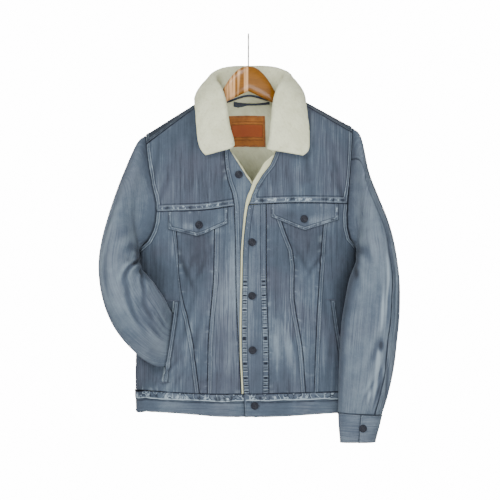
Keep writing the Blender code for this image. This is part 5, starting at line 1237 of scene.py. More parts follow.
def back_panels():
    seam_x, seam_z = {}, {}
    for hand in (-1, 1):
        seam = [(z, hand * x) for z, x in BACK_SEAM]
        top, bottom = crossing(seam, BACK_YOKE_SEAM), crossing(seam, WAIST_SEAM)
        seam_z[hand] = steps(top - HALF_GAP, BODY_ROWS, bottom + HALF_GAP)
        seam_x[hand] = hand * smooth_table(BACK_SEAM, seam_z[hand])
    places = quilt(seam_x[-1] + HALF_GAP, seam_z[-1], seam_x[1] - HALF_GAP, seam_z[1], BACK_YOKE_SEAM,
                   WAIST_SEAM, 10, 1)
    panel("back_centre", places, "denim")
    found = {}
    for label, part in SIDES.items():
        hand, arm = part["hand"], part["armhole"]
        top = crossing([(z, x) for z, _, x in arm], BACK_YOKE_SEAM)
        waist = float(smooth_table(WAIST_SEAM, hand * WAIST_SIDE))
        zs = steps(top - HALF_GAP, ARM_ROWS, arm[-1][0], BODY_ROWS - ARM_ROWS, waist + HALF_GAP)
        borders = left_first(part, (side_x(hand, zs, arm, 2, HALF_GAP), zs),
                             (seam_x[hand] + hand * HALF_GAP, seam_z[hand]))
        places = quilt(*borders, BACK_YOKE_SEAM, WAIST_SEAM, 6, 1)
        found[label] = panel(f"back_side_{label}", places, "denim")
    return found


def armhole_ring(part, yoke, front, lower, behind):
    """The armhole's points, normals and tucked points, from the tip down the front and up the back."""
    edge, beside = (0, 1) if part["hand"] < 0 else (-1, -2)
    tip, armpit = part["armhole"][0][0], part["armhole"][-1][0]
    walk = [(yoke, row) for row in (3, 2, 1)] + [(front, row) for row in range(0, 8)]
    walk += [(lower, row) for row in range(0, 5)] + [(behind, row) for row in (3, 2, 1, 0)]
    walk += [(yoke, row) for row in range(11, 3, -1)]
    points, normals, tucked = [], [], []
    for (grid, facing), row in walk:
        point = grid[row, edge]
        away = unit(point - grid[row, beside])
        low = np.clip((tip - point[2]) / (tip - armpit), 0, 1)
        points.append(point + away * (SLEEVE_GAP + ARMPIT_GAP * low**2))
        tucked.append(point - away * TUCK_LENGTH - facing[row, edge] * TUCK_DEPTH)
        normals.append(facing[row, edge])
    return np.array(points), np.array(normals), np.array(tucked)


def ring_turns(points, armpit):
    """How far round each point of the armhole lies: 0 at the tip, 0.5 at the armpit."""
    length = running(np.concatenate([points, points[:1]]))
    front = length[:armpit + 1] / length[armpit] * 0.5
    back = 0.5 + (length[armpit:-1] - length[armpit]) / (length[-1] - length[armpit]) * 0.5
    return np.concatenate([front, back[1:]])


def signed_turn(turns):
    """The same places round a sleeve from -0.5 to 0.5, those in front negative."""
    return np.where(turns <= 0.5, -turns, 1 - turns)


def ring_points(table, at, turns):
    """A ring of a sleeve at a place along its table, a row number that may lie between rows.

    A turn counts the length along the ring: 0 at its outer point, 0.25 in front, 0.5 at its inner point.
    """
    rows = [[i] + list(row) for i, row in enumerate(table)]
    ox, oz, ix, iz, middle, depth = (float(smooth_table(rows, at, column)) for column in range(1, 7))
    angle = np.linspace(0, 2 * math.pi, RING_SAMPLES + 1)
    reach, lift = np.cos(angle), -np.sin(angle)
    round_off = (np.abs(reach) ** RING_ROUNDNESS + np.abs(lift) ** RING_ROUNDNESS) ** (-1 / RING_ROUNDNESS)
    reach, lift = reach * round_off, lift * round_off
    centre = np.array([(ox + ix) / 2, middle, (oz + iz) / 2])
    half = np.array([(ox - ix) / 2, 0, (oz - iz) / 2])
    ring = centre + half * reach[:, None] + np.array([0, depth, 0]) * lift[:, None]
    length = running(ring)
    return np.stack([np.interp(turns, length / length[-1], ring[:, axis]) for axis in range(3)], axis=-1)


def fold_tube(grid, normals, at, turns, folds):
    """The grid of a sleeve with its large folds drawn in."""
    for place, turn, long, wide, depth in folds:
        share = bell(at, place, long)[:, None] * bell(signed_turn(turns), turn, wide)
        grid = grid - normals * (depth * share)[..., None]
    return grid


def neck_foot(side, at):
    """A point of the neck seam and the body's normal there."""
    if side < 0:
        hand_table = NECK_LEFT if at[1] < 0 else NECK_RIGHT
        x, z = float(smooth_table(hand_table, at[0])), at[0]
    else:
        rows = [row for row in YOKE_TOP if row[2] > 0]
        x = at[0]
        drop = float(np.interp(x, [row[0] for row in rows], [row[1] for row in rows]))
        z = float(ridge(np.array(x))) - drop
    return surface(border(x, z, side), "under_shell" if side < 0 and x < 0 else "shell")


def by_arch(table, arches, column=1):
    """Places across and heights of a seam that runs down, at given arch positions."""
    x = np.full_like(arches, table[0][column])
    for _ in range(8):
        z = ridge(x) - drop_of(arches)
        x = smooth_table(table, z, column)
    return x, z


def lining_walls(near, arch):
    """Inner and outer offsets of a lining, close to the shell where near is one, loosest by the armpits."""
    armpit = bell(np.abs(arch), ARMPIT_ARCH, ARMPIT_REACH)
    gap = LINING_LOOSE - (LINING_LOOSE - LINING_GAP) * near + ARMPIT_ROOM * armpit * (1 - near)
    return -(gap + LINING_WALL), -gap


def lining_arches(part, side, bottom_x):
    """Arch positions down the armhole and the side seam: evenly over the shoulder, then to the waist."""
    shoulder, arm, flank = LINING_ROWS[side]
    armpit = float(arch_of(ridge(np.array(part["armhole"][-1][1])) - part["armhole"][-1][0]))
    waist = float(arch_of(ridge(np.array(bottom_x)) - smooth_table(WAIST_SEAM, bottom_x)))
    return steps(RIDGE_SEAM, shoulder, 1.0, arm, armpit, flank, waist)


def front_lining(label, part):
    hand, arm = part["hand"], part["armhole"]
    arches = lining_arches(part, -1, hand * WAIST_SIDE)
    _, arm_z = by_arch(arm, arches, 1)
    outer_x = side_x(hand, arm_z, arm, 1, ARM_ROOM + TIP_ROOM * fade(arches / TIP_ARCH))
    corner = part["neck"][-1][0]
    corner_arch = float(arch_of(ridge(np.array(part["neck"][-1][1])) - corner))
    neck_x, neck_z = by_arch(part["neck"], np.linspace(RIDGE_SEAM, corner_arch, 9))
    neck_x = neck_x + hand * NECK_ROOM
    edge_z = steps(corner - 0.0015, 2, -0.300, 4, -0.400, 5, crossing(part["edge"], WAIST_SEAM))
    shown = 0.004 if hand < 0 else -smooth_table(SHERPA_SHOWS, edge_z)
    edge_x = smooth_table(part["edge"], edge_z) + shown
    inner_x = np.concatenate([neck_x, edge_x])
    inner_z = np.concatenate([neck_z, edge_z])
    layer = "under_lining" if hand < 0 else "lining"
    outer, inner = border(outer_x, arm_z, -1), border(inner_x, inner_z, -1)
    outer[0, 1] = inner[0, 1] = -RIDGE_SEAM
    left, right = (outer, inner) if hand < 0 else (inner, outer)
    columns = 13 if hand < 0 else 11
    top = np.linspace(left[0], right[0], columns + 1)
    corners = ((outer_x[-1], arm_z[-1]), (inner_x[-1], inner_z[-1]))
    (x0, z0), (x1, z1) = corners if hand < 0 else corners[::-1]
    places = coons(left, right, top, along(WAIST_SEAM, x0, x1, z0, z1, columns, -1))
    beside = np.arange(columns + 1) - 1.0
    across = fade((beside[::-1] if hand < 0 else beside) / 3)
    below = 1 - fade((np.abs(places[..., 1]) - 1) / 0.25)
    near = across[None] * below
    panel(f"lining_front_{label}", np.dstack([places, near]), "sherpa", layer)


def back_lining():
    sides = []
    for part in SIDES.values():
        arches = lining_arches(part, 1, part["hand"] * WAIST_SIDE)
        _, z = by_arch(part["armhole"], arches, 2)
        room = ARM_ROOM + TIP_ROOM * fade(arches / TIP_ARCH)
        places = border(side_x(part["hand"], z, part["armhole"], 2, room), z, 1)
        places[0, 1] = RIDGE_SEAM
        sides.append(places)
    xs = np.array([row[0] for row in YOKE_TOP])
    drops = np.array([row[1] + NECK_ROOM if row[2] > 0 else 0.0 for row in YOKE_TOP])
    top = border(xs, ridge(xs) - drops, 1)
    top[:, 1] = np.maximum(top[:, 1], RIDGE_SEAM)
    bottom_x = np.linspace(-0.2455, 0.2330, len(xs))
    bottom = border(bottom_x, smooth_table(WAIST_SEAM, bottom_x), 1)
    top[0], top[-1], bottom[0], bottom[-1] = sides[0][0], sides[1][0], sides[0][-1], sides[1][-1]
    places = coons(sides[0], sides[1], top, bottom)
    panel("lining_back", np.dstack([places, np.zeros(places.shape[:2])]), "sherpa", "lining")


def slit_panel(name, part):
    """The left front side, whose pocket slit is parted by the sleeve tucked into it."""
    slit = front_border(part, "pocket", 0.0)
    halves = (quilt(*front_border(part, "side", HALF_GAP), *slit, FRONT_YOKE_SEAM, WAIST_SEAM, 6, -1),
              quilt(*slit, *front_border(part, "v_outer", -HALF_GAP), FRONT_YOKE_SEAM, WAIST_SEAM, 3, -1))
    step = sizes().shell_step
    _, rows, _ = refine(halves[0], step)
    closed = (rows < SLIT_ROWS[0] + 1e-6) | (rows > SLIT_ROWS[1] - 1e-6)
    kept, numbers, whole, count = {}, [], [], 0
    for places, lip in zip(halves, (-1, 1)):
        slit_side, slit_column = ("right", -1) if lip < 0 else ("left", 0)
        fine = at_lines(at_lines(places, rows, 0), refine(places, step)[2], 1)
        points, normals = surface(fine, part["layer"], lip)
        rise, seams = sewn(name, points, (slit_side,))
        lip_edge = np.where(closed[:, None], 0.0, bell(spans(points)[slit_side], 0.0, 0.0022))
        seams["seam"][:, 1] = np.maximum(seams["seam"][:, 1], lip_edge.ravel())
        points[~closed, slit_column, 0] += lip * HALF_GAP
        x, z = points[..., 0], points[..., 2]
        marks = cloth_marks(section_place(fine[..., 0]), fine[..., 1] * ARCH_HEIGHT * math.pi / 2,
                            fine_creases(x, z, -1), wash_and_shade_of(x, z, -1), seams)
        outer = DENIM_WALL + rise
        for key, values in {"points": points.reshape(-1, 3), "normals": normals.reshape(-1, 3),
                            "outer": outer.ravel(), **marks}.items():
            kept.setdefault(key, []).append(values)
        numbers.append(np.arange(rise.size).reshape(rise.shape) + count)
        count += rise.size
        whole.append((points, points + normals * outer[..., None], normals))
    numbers[1][closed, 0] = numbers[0][closed, -1]
    used, quads = np.unique(np.concatenate([quads_of(number) for number in numbers]), return_inverse=True)
    kept = {key: np.concatenate(values)[used] for key, values in kept.items()}
    points, normals, outer = (kept.pop(key) for key in ("points", "normals", "outer"))
    piece = closed_wall(name, points, normals, np.zeros(len(points)), outer, FINISH["denim"], kept,
                        quads.reshape(-1, 4))
    declare(name, np.concatenate([whole[0][0], whole[1][0][:, 1:]], axis=1), "denim")
    for (_, face, facing), side in zip(whole, ("left", "right")):
        for away in TWIN:
            stitch_line(*inset_line(face, facing, side, away), "front")
    return surface(halves[0], part["layer"], -1)


def sleeve_creases(grid, normals, at, turns, creases):
    """The grid with its fine creases, and how deep each point lies in them."""
    depth, signed = np.zeros(grid.shape[:2]), signed_turn(turns)
    for place, turn, long, wide, deep, drift in creases:
        along_it = (at - place)[:, None]
        beside = (signed - turn - drift * along_it) / wide
        depth += deep * bell(along_it, 0.0, long) * (bell(beside) - 0.45 * bell(np.abs(beside), 1.9))
    return grid - normals * depth[..., None], depth


def sleeve_wash_and_shade(label, rows, turns):
    """How much paler or darker a sleeve is painted: its wash, and painted shade on its inner side by the
    body.
    """
    signed, rows = signed_turn(turns), rows[:, None]
    total = 0.05 * noise(rows / 1.3, signed[None] / 0.10, 8 + len(label))
    for place, turn, long, wide, drift, amount in SLEEVE_WASH_AND_SHADE[label]:
        total = total + amount * bell(rows, place, long) * bell(signed, turn + drift * (rows - place), wide)
    return total


def sleeve_warp(grid, middle, rows, turns, row_length):
    """Places on a sleeve's cloth. The warp of its head runs down and not along the rings."""
    centre = middle[np.searchsorted(rows, 2.0), 0]
    away = grid - centre
    hand = 1 if centre[0] > 0 else -1
    round_axis = np.arctan2(-away[..., 1], away[..., 0] * hand) / (2 * math.pi) % 1.0
    signed = np.where(turns > 0.5, turns - 1, turns)[None]
    round_axis = np.where(round_axis > 0.5, round_axis - 1, round_axis)
    round_axis = np.where(signed * round_axis < -0.1, signed, round_axis)
    share = (1 - fade((rows - 0.8) / 2.2))[:, None]
    return (SLEEVE_ROUND * (round_axis * (1 - share) + signed * share),
            (centre[2] - grid[..., 2]) * (1 - share) + (rows[:, None] - 2.0) * row_length * share)


def closed_armpit(grid, rows, turns):
    """The grid with its inner side drawn up to the body's side just below the armpit."""
    apart = np.abs(grid[..., 0]) - half_width(grid[..., 0], grid[..., 2]) - 1.3 * DENIM_WALL
    along_it = (1 - fade((rows + 0.75) / 0.7)) * fade((rows - 1.2) / 1.6)
    share = along_it[:, None] * np.exp(-(((turns - 0.5) / 0.11) ** 2))[None]
    closed = grid.copy()
    closed[..., 0] -= np.sign(grid[..., 0]) * np.clip(apart, 0, 0.014) * share
    return closed


def doubled_rows(shape):
    """Numbers of a grid's points with its first row twice more in front."""
    first = np.arange(shape[1])
    return np.concatenate([first, first, np.arange(shape[0] * shape[1])])


def sleeve(label, table, folds, creases, armhole, seam_columns):
    """Two sleeve pieces about one tube, parted along two columns of it, their ends tucked under the body."""
    ring, ring_normals, tucked = armhole
    turns = ring_turns(ring, ARMPIT_POINT)
    at = np.linspace(0.0, len(table) - 1, int(1.25 * len(table)))
    step, count = sizes().shell_step, len(turns)
    places = np.concatenate([[-1.0], at])
    rings = np.array([ring] + [ring_points(table, place, turns) for place in at])
    middles = rings.mean(axis=1)
    lengths = np.concatenate([middles[:1] - middles[1:2], np.gradient(middles[1:], axis=0)[:-1]])
    lengths = np.linalg.norm(lengths, axis=1)
    rows = np.interp(fine_lines(lengths, step), np.arange(len(places)), places)
    middle = spline_lines(rings, places, rows).mean(axis=1, keepdims=True)
    first, second = seam_columns
    for name, start, end in (("top", first, second), ("under", second, first)):
        node = f"sleeve_{name}_{label}"
        columns = [(start + i) % count for i in range((end - start) % count + 1)]
        lines = fine_lines(np.linalg.norm(np.diff(ring[columns], axis=0), axis=-1), step)
        round_it = np.interp(lines, np.arange(len(columns)), np.unwrap(turns[columns], period=1.0)) % 1.0
        grid = np.array([at_lines(ring[columns], lines, 0)]
                        + [ring_points(table, place, round_it) for place in at])
        grid = spline_lines(grid, places, rows)
        normals = unit(np.cross(np.gradient(grid, axis=1), np.gradient(grid, axis=0)))
        normals *= np.sign((normals * (grid - middle)).sum(axis=(1, 2)))[:, None, None]
        near = fade((rows + 1.0) / 0.45)[:, None, None]
        normals = unit(normals * (1 - near) + at_lines(ring_normals[columns], lines, 0)[None] * near)
        grid = fold_tube(grid, normals, rows, round_it, folds)
        grid, crease = sleeve_creases(grid, normals, rows, round_it, creases)
        grid = part_seam(closed_armpit(grid, rows, round_it))
        near_arm = 0.12 + 0.88 * (1 - fade((rows - 3.4) / 1.4))
        rise, seams = sewn(node, grid, (), 0.6 * near_arm[:, None] if name == "top" else 0.5)
        # Paler on the sleeves by SLEEVE_TONE. The strip beside the armhole and the end tucked under the body
        # are painted darker, as shade between the sleeve and the body's edge.
        wash_and_shade = SLEEVE_TONE - 0.14 * fade((rows + 1.0) / 0.8)[:, None] + sleeve_wash_and_shade(label, rows, round_it)
        outer = DENIM_WALL + rise
        stitch_borders(node, grid + normals * outer[..., None], normals)
        warp = sleeve_warp(grid, middle, rows, round_it, lengths[1:].mean())
        marks = {key: values[doubled_rows(grid.shape)]
                 for key, values in cloth_marks(*warp, crease, wash_and_shade, seams).items()}
        under = np.array([at_lines(tucked[columns], lines, 0), grid[0] - normals[0] * TUCK_DEPTH])
        grid, normals = np.concatenate([under, grid]), np.concatenate([normals[:1], normals[:1], normals])
        outer = np.concatenate([np.full((2, outer.shape[1]), DENIM_WALL), outer])
        piece = closed_wall(node, grid, normals, np.zeros(outer.size), outer, FINISH["sleeve"], marks)
        declare(node, grid, "denim")


def part_seam(grid):
    """The grid with its two long borders drawn in, so that the sleeve's pieces stand apart at their seams."""
    for edge, beside, ahead in ((0, 2, 1), (-1, -3, -1)):
        inwards = grid[:, beside] - grid[:, edge]
        reach = np.linalg.norm(inwards, axis=-1, keepdims=True)
        shift = inwards / reach * np.minimum(SLEEVE_PARTING, 0.4 * reach)
        for number, share in enumerate((1.0, 0.7, 0.45)):
            grid[:, edge + number * ahead] += shift * share
    return grid


def cuff(label, table, start, lift):
    """A band round the sleeve's end. Where lift isn't zero its end laps over its start."""
    node = f"cuff_{label}"
    at = np.interp(fine_lines(np.full(3, 0.020), 0.0026), np.arange(4), np.linspace(0, len(table) - 1, 4))
    round_it = np.linspace(0, CUFF_LAP, CUFF_SIDES + 8) if lift else np.arange(CUFF_SIDES) / CUFF_SIDES
    grid, ahead, behind = (np.array([ring_points(table, place, (start + round_it + shift) % 1.0)
                                     for place in at]) for shift in (0.0, 0.01, -0.01))
    normals = unit(np.cross(ahead - behind, np.gradient(grid, axis=0)))
    away = grid - grid.mean(axis=1, keepdims=True)
    normals *= np.sign((normals * away).sum(axis=(1, 2)))[:, None, None]
    if lift:
        grid = grid + normals * (lift * (1 - fade((round_it - 0.86) / 0.13)))[None, :, None]
    rise, seams = sewn(node, grid, () if lift else ("left", "right"))
    turned = noise(spans(grid)["left"] / 0.03, spans(grid)["top"] / 0.05, 4) * 0.0006
    outer = CUFF_WALL + rise
    grid = grid + normals * turned[..., None]
    length = spans(grid)
    marks = cloth_marks(length["left"], length["top"], -turned, np.full(outer.shape, 0.04), seams, True)
    piece = closed_wall(node, grid, normals, np.zeros(outer.size), outer, FINISH["band"], marks,
                        quad_grid(*grid.shape[:2], wrap=not lift))
    declare(node, grid, "denim_bands")
    face = grid + normals * outer[..., None]
    stitch_borders(node, face, normals)
    return face, normals


def collar_section(row, point, normal, tangent):
    """The collar's section over one point of the neck seam: foot, stand, fold, fall and free edge."""
    fold_top, edge = np.array(row[2:5]), np.array(row[5:8])
    inward = unit(np.cross(tangent, normal))
    base = point - normal * COLLAR_FOOT + inward * COLLAR_CLEAR
    up = fold_top - (base + edge) / 2
    up = unit(up - tangent * np.dot(up, tangent))
    out = np.cross(up, tangent)
    middle = fold_top - up * COLLAR_FOLD
    arc = [middle - out * COLLAR_FOLD * math.cos(a) + up * COLLAR_FOLD * math.sin(a)
           for a in np.linspace(0, math.pi, 6)]
    second = base + (inward + up) * COLLAR_RISE
    stand = [second * (1 - t) + arc[0] * t for t in (0.33, 0.67)]
    swell = COLLAR_SWELL * np.linalg.norm(edge - arc[-1])
    fall = [arc[-1] * (1 - t) + edge * t + out * swell * 4 * t * (1 - t) for t in (0.25, 0.5, 0.75)]
    return [base, second] + stand + arc + fall + [edge]


def collar():
    """The pile collar, from the foot up over the fold to the free edge."""
    foot, facing = (np.array(found) for found in zip(*(neck_foot(row[0], row[1:3]) for row in COLLAR)))
    ahead = unit(np.gradient(foot, axis=0))
    grid = np.array([collar_section(*ends) for ends in zip(COLLAR, foot, facing, ahead)])
    normals = np.cross(np.gradient(grid, axis=1), np.gradient(grid, axis=0))
    turned = (normals[:, 0] * facing).sum() > 0
    step = sizes().collar_step
    across, down = mean_steps(grid)
    place = np.concatenate([[0], np.cumsum(across)])
    lines, rows = fine_lines(across, step), fine_lines(down, step)
    fine_place = np.interp(lines, np.arange(len(place)), place)
    grid = spline_lines(grid, np.arange(len(grid)), rows)
    grid = spline_lines(grid.transpose(1, 0, 2), place, fine_place).transpose(1, 0, 2)
    facing = spline_lines(facing, np.arange(len(facing)), rows)
    normals = unit(np.cross(np.gradient(grid, axis=1), np.gradient(grid, axis=0))) * (-1 if turned else 1)
    near = fade(fine_place / 0.004)[None, :, None]
    normals = unit(normals * (1 - near) - facing[:, None] * near)
    foot_fade = 1 - fade(fine_place / 0.012)[None]
    half = np.maximum(rounded_half(grid, COLLAR_WALL / 2), COLLAR_WALL / 2 * (1 - foot_fade))
    seed = seam_of("collar")
    arc_share = bell(fine_place, place[6], 0.010)[None]
    top, under = pile_of(grid, seed) * foot_fade, pile_of(grid, seed + 9) * foot_fade * (1 - arc_share)
    swell = 0.0006 * noise(spans(grid)["top"] / 0.045, spans(grid)["left"] / 0.03, 3) * foot_fade
    outer, inner = half + sizes().pile * top + swell, -half - sizes().pile * under * 0.7 + swell
    piece = closed_wall("collar", grid, normals, inner, outer, FINISH["sherpa"], {"pile": top})
    declare("collar", grid, "sherpa")


def flap(label, lows):
    """A pointed pocket flap, laid on the panels below the yoke seam, given by its three lower corners."""
    xs = np.linspace(lows[0][0], lows[2][0], 9)
    tops = smooth_table(FRONT_YOKE_SEAM, xs) - SEAM_GAP
    share = np.linspace(0, 1, 5)[:, None]
    zs = tops * (1 - share) + np.interp(xs, [x for x, _ in lows], [z for _, z in lows]) * share
    inner = DENIM_WALL + FLAP_GAP
    panel(f"flap_{label}", border(xs, zs, -1), "band", SIDES[label]["layer"], inner, inner + DENIM_WALL)


def welt(label):
    """The strip along the pocket slit's inner lip, on the same rows as the panel below it."""
    part = SIDES[label]
    hand, inner = part["hand"], DENIM_WALL + WELT_GAP[label]
    zs = np.linspace(part["pocket"][2][0], part["pocket"][-2][0], 7)[:, None]
    xs = smooth_table(part["pocket"], zs) - hand * (BUTTON_GAP + np.array([[0.0, WELT_WIDTH]]))
    places = border(xs[:, ::-hand], zs, -1)
    panel(f"welt_{label}", places, "band", part["layer"], inner, inner + DENIM_WALL)


def thin_piece(name, places, kind, inner, outer, relief):
    """A small piece on the back lining, with a relief given over its own shares across and down."""
    fine, rows, columns = refine(places, SMALL_STEP)
    points, normals = surface(fine, "lining")
    across, down = (columns / columns[-1])[None], (rows / rows[-1])[:, None]
    low, edge = (np.broadcast_to(value, points.shape[:2]) for value in relief(across, down))
    length = spans(points)
    cloth = [value.ravel() for value in np.broadcast_arrays(length["left"], length["top"], down)]
    piece = closed_wall(name, points, normals, inner - low, np.full(edge.size, outer), FINISH[kind],
                        {"relief": edge, "cloth": np.stack(cloth, -1)})
    declare(name, points, SLOTS[kind])
    stitch_borders(name, points + normals * (inner - low)[..., None], -normals)


def patch_relief(across, down):
    """Pressed lines about a plain middle panel."""
    inside = ((across > 0.09) & (across < 0.93)).astype(float)
    lines = sum(bell(down, at, 0.012) * inside for at in (0.20, 0.29, 0.70, 0.79))
    frame_lines = sum(bell(across, at, 0.008) * ((down > 0.29) & (down < 0.70)) for at in (0.09, 0.93))
    pressed = np.clip(lines + frame_lines, 0, 1)
    soft = 0.0004 * noise(across * 3, down * 2.4, 5)
    return soft - 0.0005 * pressed, pressed


def loop_relief(across, down):
    """A twill tape with its turned end sewn down at the left."""
    turned = fade((across - 0.11) / 0.02)
    ribs = 0.0001 * np.sin(down * 40)
    return 0.0009 * turned + ribs + 0.0003 * noise(across * 9, down, 2), turned * 0.6


def inside_patch():
    """The plain leather patch inside the neck."""
    behind = -(LINING_LOOSE + LINING_WALL + PATCH_GAP)
    xs, zs = np.meshgrid(np.linspace(-0.046, 0.038, 6), np.linspace(-0.174, -0.246, 5))
    thin_piece("neck_patch", border(xs, zs, 1), "leather", behind - LEATHER_WALL, behind, patch_relief)


def hanging_loop():
    """The loop of dark tape above the patch."""
    behind = -(LINING_LOOSE + LINING_WALL + PATCH_GAP + LOOP_WALL)
    share = np.linspace(0, 1, 9)
    sag = 0.0055 * (1 - (2 * share - 1) ** 2)
    xs = np.stack([-0.036 + 0.086 * share] * 2)
    end = np.array([0.0070, 0.0075, 0.0045, 0.0008, 0.0, 0.0, 0.0, 0.0006, 0.0016])
    zs = np.stack([-0.1395 - sag, -0.1440 - sag - end])
    thin_piece("hanging_loop", border(xs, zs, 1), "loop", behind - LOOP_WALL, behind, loop_relief)


BUTTON_PROFILE = (
    (0.0, 0.00285), (0.10, 0.00285), (0.17, 0.00262), (0.24, 0.00252), (0.44, 0.00250), (0.50, 0.00262),
    (0.56, 0.00318), (0.62, 0.00330), (0.68, 0.00318), (0.73, 0.00292), (0.77, 0.00290), (0.82, 0.00318),
    (0.88, 0.00338), (0.94, 0.00325), (0.985, 0.00280), (1.0, 0.00225), (0.985, 0.00150), (0.94, 0.0009),
    (0.60, 0.0006), (0.30, 0.0004), (0.0, 0.0004),
)


def button(node, point, normal, radius=BUTTON_RADIUS):
    """A tack button: a rim, a ring and a low boss in the middle."""
    turn = np.linspace(0, 2 * math.pi, BUTTON_ROUND, endpoint=False)
    turned = np.array(Vector(normal).normalized().to_track_quat("Z", "Y").to_matrix())
    rings = []
    for share, z in BUTTON_PROFILE[1:-1]:
        dent = 0.00007 * noise(3 * np.cos(turn) + 9 * share, 3 * np.sin(turn), seam_of(node))
        rings.append(np.stack([share * radius * np.cos(turn), share * radius * np.sin(turn), z + dent], -1))
    local = np.concatenate(rings + [[[0, 0, BUTTON_PROFILE[0][1]]], [[0, 0, BUTTON_PROFILE[-1][1]]]])
    top, last = len(local) - 2, (len(rings) - 1) * BUTTON_ROUND
    pairs = [(i, (i + 1) % BUTTON_ROUND) for i in range(BUTTON_ROUND)]
    faces = [tuple(quad) for quad in quad_grid(len(rings), BUTTON_ROUND, wrap=True).tolist()]
    faces += [(top, a, b) for a, b in pairs] + [(top + 1, last + b, last + a) for a, b in pairs]
    piece = mesh_object(node + "_metal", local @ turned.T + point, faces, FINISH["button"], 60)
    away = np.linalg.norm(local[:, :2], axis=1) / radius
    rubbed = sum(bell(away, at, wide) for at, wide in ((0.62, 0.07), (0.9, 0.07), (0.05, 0.1)))
    mark(piece, "rubbed", np.clip(rubbed, 0, 1))
    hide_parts(node)


def body_button(node, x, z, layer, lift):
    point, normal = on_front(x, z, layer, lift + BUTTON_GAP)
    button(node, point, normal)


def cuff_button(face, normals):
    """The button on the right cuff's lapped end."""
    off = (face[..., 0] - CUFF_BUTTON[0]) ** 2 + (face[..., 2] - CUFF_BUTTON[1]) ** 2
    off[:, :-LAP_COLUMNS] = 1.0
    row, column = np.unravel_index(np.argmin(off), off.shape)
    normal = normals[row, column]
    button("button_cuff_right", face[row, column] + normal * BUTTON_GAP, normal)


def on_front(x, z, layer, lift):
    """Points of the front's face above a layer, and the normals there."""
    points, normals = surface(border(x, z, -1), layer)
    return points + normals * lift, normals


def satin(x0, z0, x1, z1, wide, layer, lift, gap=0.0008):
    """Close stitches laid across a line, as of a bar tack or one lip of a buttonhole."""
    length = math.hypot(x1 - x0, z1 - z0)
    count = max(3, round(length / gap))
    share = (np.arange(count) + 0.5) / count
    side = np.array([z0 - z1, x1 - x0]) / length * wide / 2
    ends = np.array([-1, 0, 1])[:, None]
    line, facing = on_front(x0 + (x1 - x0) * share + ends * side[0], z0 + (z1 - z0) * share + ends * side[1],
                            layer, lift)
    sunk = facing * 0.0003
    lay_stitches(line[0] - sunk[0], line[1], line[2] - sunk[2], line[2] - line[0], facing[1], "buttonholes",
                 0.3, gap * 0.55, 0.00024, 0.0004)


# Buttonholes and bar tacks: from (x, z), to (x, z), layer, and for the first ones the lift.
BUTTONHOLES = (
    (0.0215, -0.3440, 0.0305, -0.3300, "shell", DENIM_WALL),
    (0.0010, -0.4590, 0.0190, -0.4580, "shell", DENIM_WALL),
    (0.0010, -0.5760, 0.0190, -0.5750, "shell", DENIM_WALL),
    (0.0010, -0.6950, 0.0200, -0.6945, "shell", DENIM_WALL),
    (0.0050, -0.8170, 0.0250, -0.8170, "shell", BAND_WALL),
)
BAR_TACKS = (
    (-0.1745, -0.5870, -0.1520, -0.5860, "under_shell"), (-0.1920, -0.7670, -0.1710, -0.7660, "under_shell"),
    (0.1700, -0.5840, 0.1880, -0.5850, "shell"), (0.1900, -0.7300, 0.2090, -0.7300, "shell"),
    (-0.1730, -0.4000, -0.1730, -0.4120, "under_shell"), (-0.0480, -0.3960, -0.0480, -0.4080, "under_shell"),
    (0.0510, -0.3860, 0.0510, -0.3980, "shell"), (0.1940, -0.3860, 0.1940, -0.3990, "shell"),
)


def buttonholes():
    """The five buttonholes, each two lips and a bar, and the pockets' bar tacks."""
    for x0, z0, x1, z1, layer, lift in BUTTONHOLES:
        dx, dz = np.array([z0 - z1, x1 - x0]) / math.hypot(x1 - x0, z1 - z0) * 0.0013
        for sign in (-1, 1):
            ends = x0 + sign * dx, z0 + sign * dz, x1 + sign * dx, z1 + sign * dz
            satin(*ends, 0.0021, layer, lift + 0.0007)
        satin(x1 + dx, z1 + dz, x1 - dx, z1 - dz, 0.0020, layer, lift + 0.0007)
    for *ends, layer in BAR_TACKS:
        lift = 2 * DENIM_WALL + (FLAP_GAP if ends[1] > -0.5 else WELT_GAP["left"])
        satin(*ends, 0.0030, layer, lift + 0.0004, 0.0009)


def hanger():
    """The wooden hanger: a hump at the middle, mitred in front, and an arm under each shoulder."""
    rings = []
    for hand in (-1, 1):
        rows = list(HANGER_HUMP)
        for x, height, middle, drop in HANGER_ARM:
            top = float(ridge(np.array(hand * x))) - HANGER_BELOW_RIDGE - drop
            rows.append((x, top, top - height, HANGER_ARM_DEPTH * min(1, height / 0.018), middle))
        rows = np.array(rows)
        at = np.linspace(0, rows[-1, 0], 110)
        made = np.concatenate([(hand * at)[:, None], spline_lines(rows[:, 1:], rows[:, 0], at)], axis=1)
        made[:, 4] -= MITRE * fade(at / 0.060)
        rings = made[:0:-1] if hand < 0 else np.concatenate([rings, made])
    turn = math.pi / 2 + np.linspace(0, 2 * math.pi, HANGER_ROUND, endpoint=False)
    across, upright = np.cos(turn), np.sin(turn)
    square = (np.abs(across) ** 3.2 + np.abs(upright) ** 3.2) ** (-1 / 3.2)
    x, top, low, depth, middle = (rings[:, i][:, None] for i in range(5))
    points = np.stack([np.broadcast_to(x, (len(rings), HANGER_ROUND)), middle + depth * across * square,
                       (top + low) / 2 + (top - low) / 2 * upright * square], -1)
    piece = mesh_object("hanger_wood_varnished", points.reshape(-1, 3),
                        tube_faces(len(rings), HANGER_ROUND, True), FINISH["wood"], 42)
    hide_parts("hanger_wood")


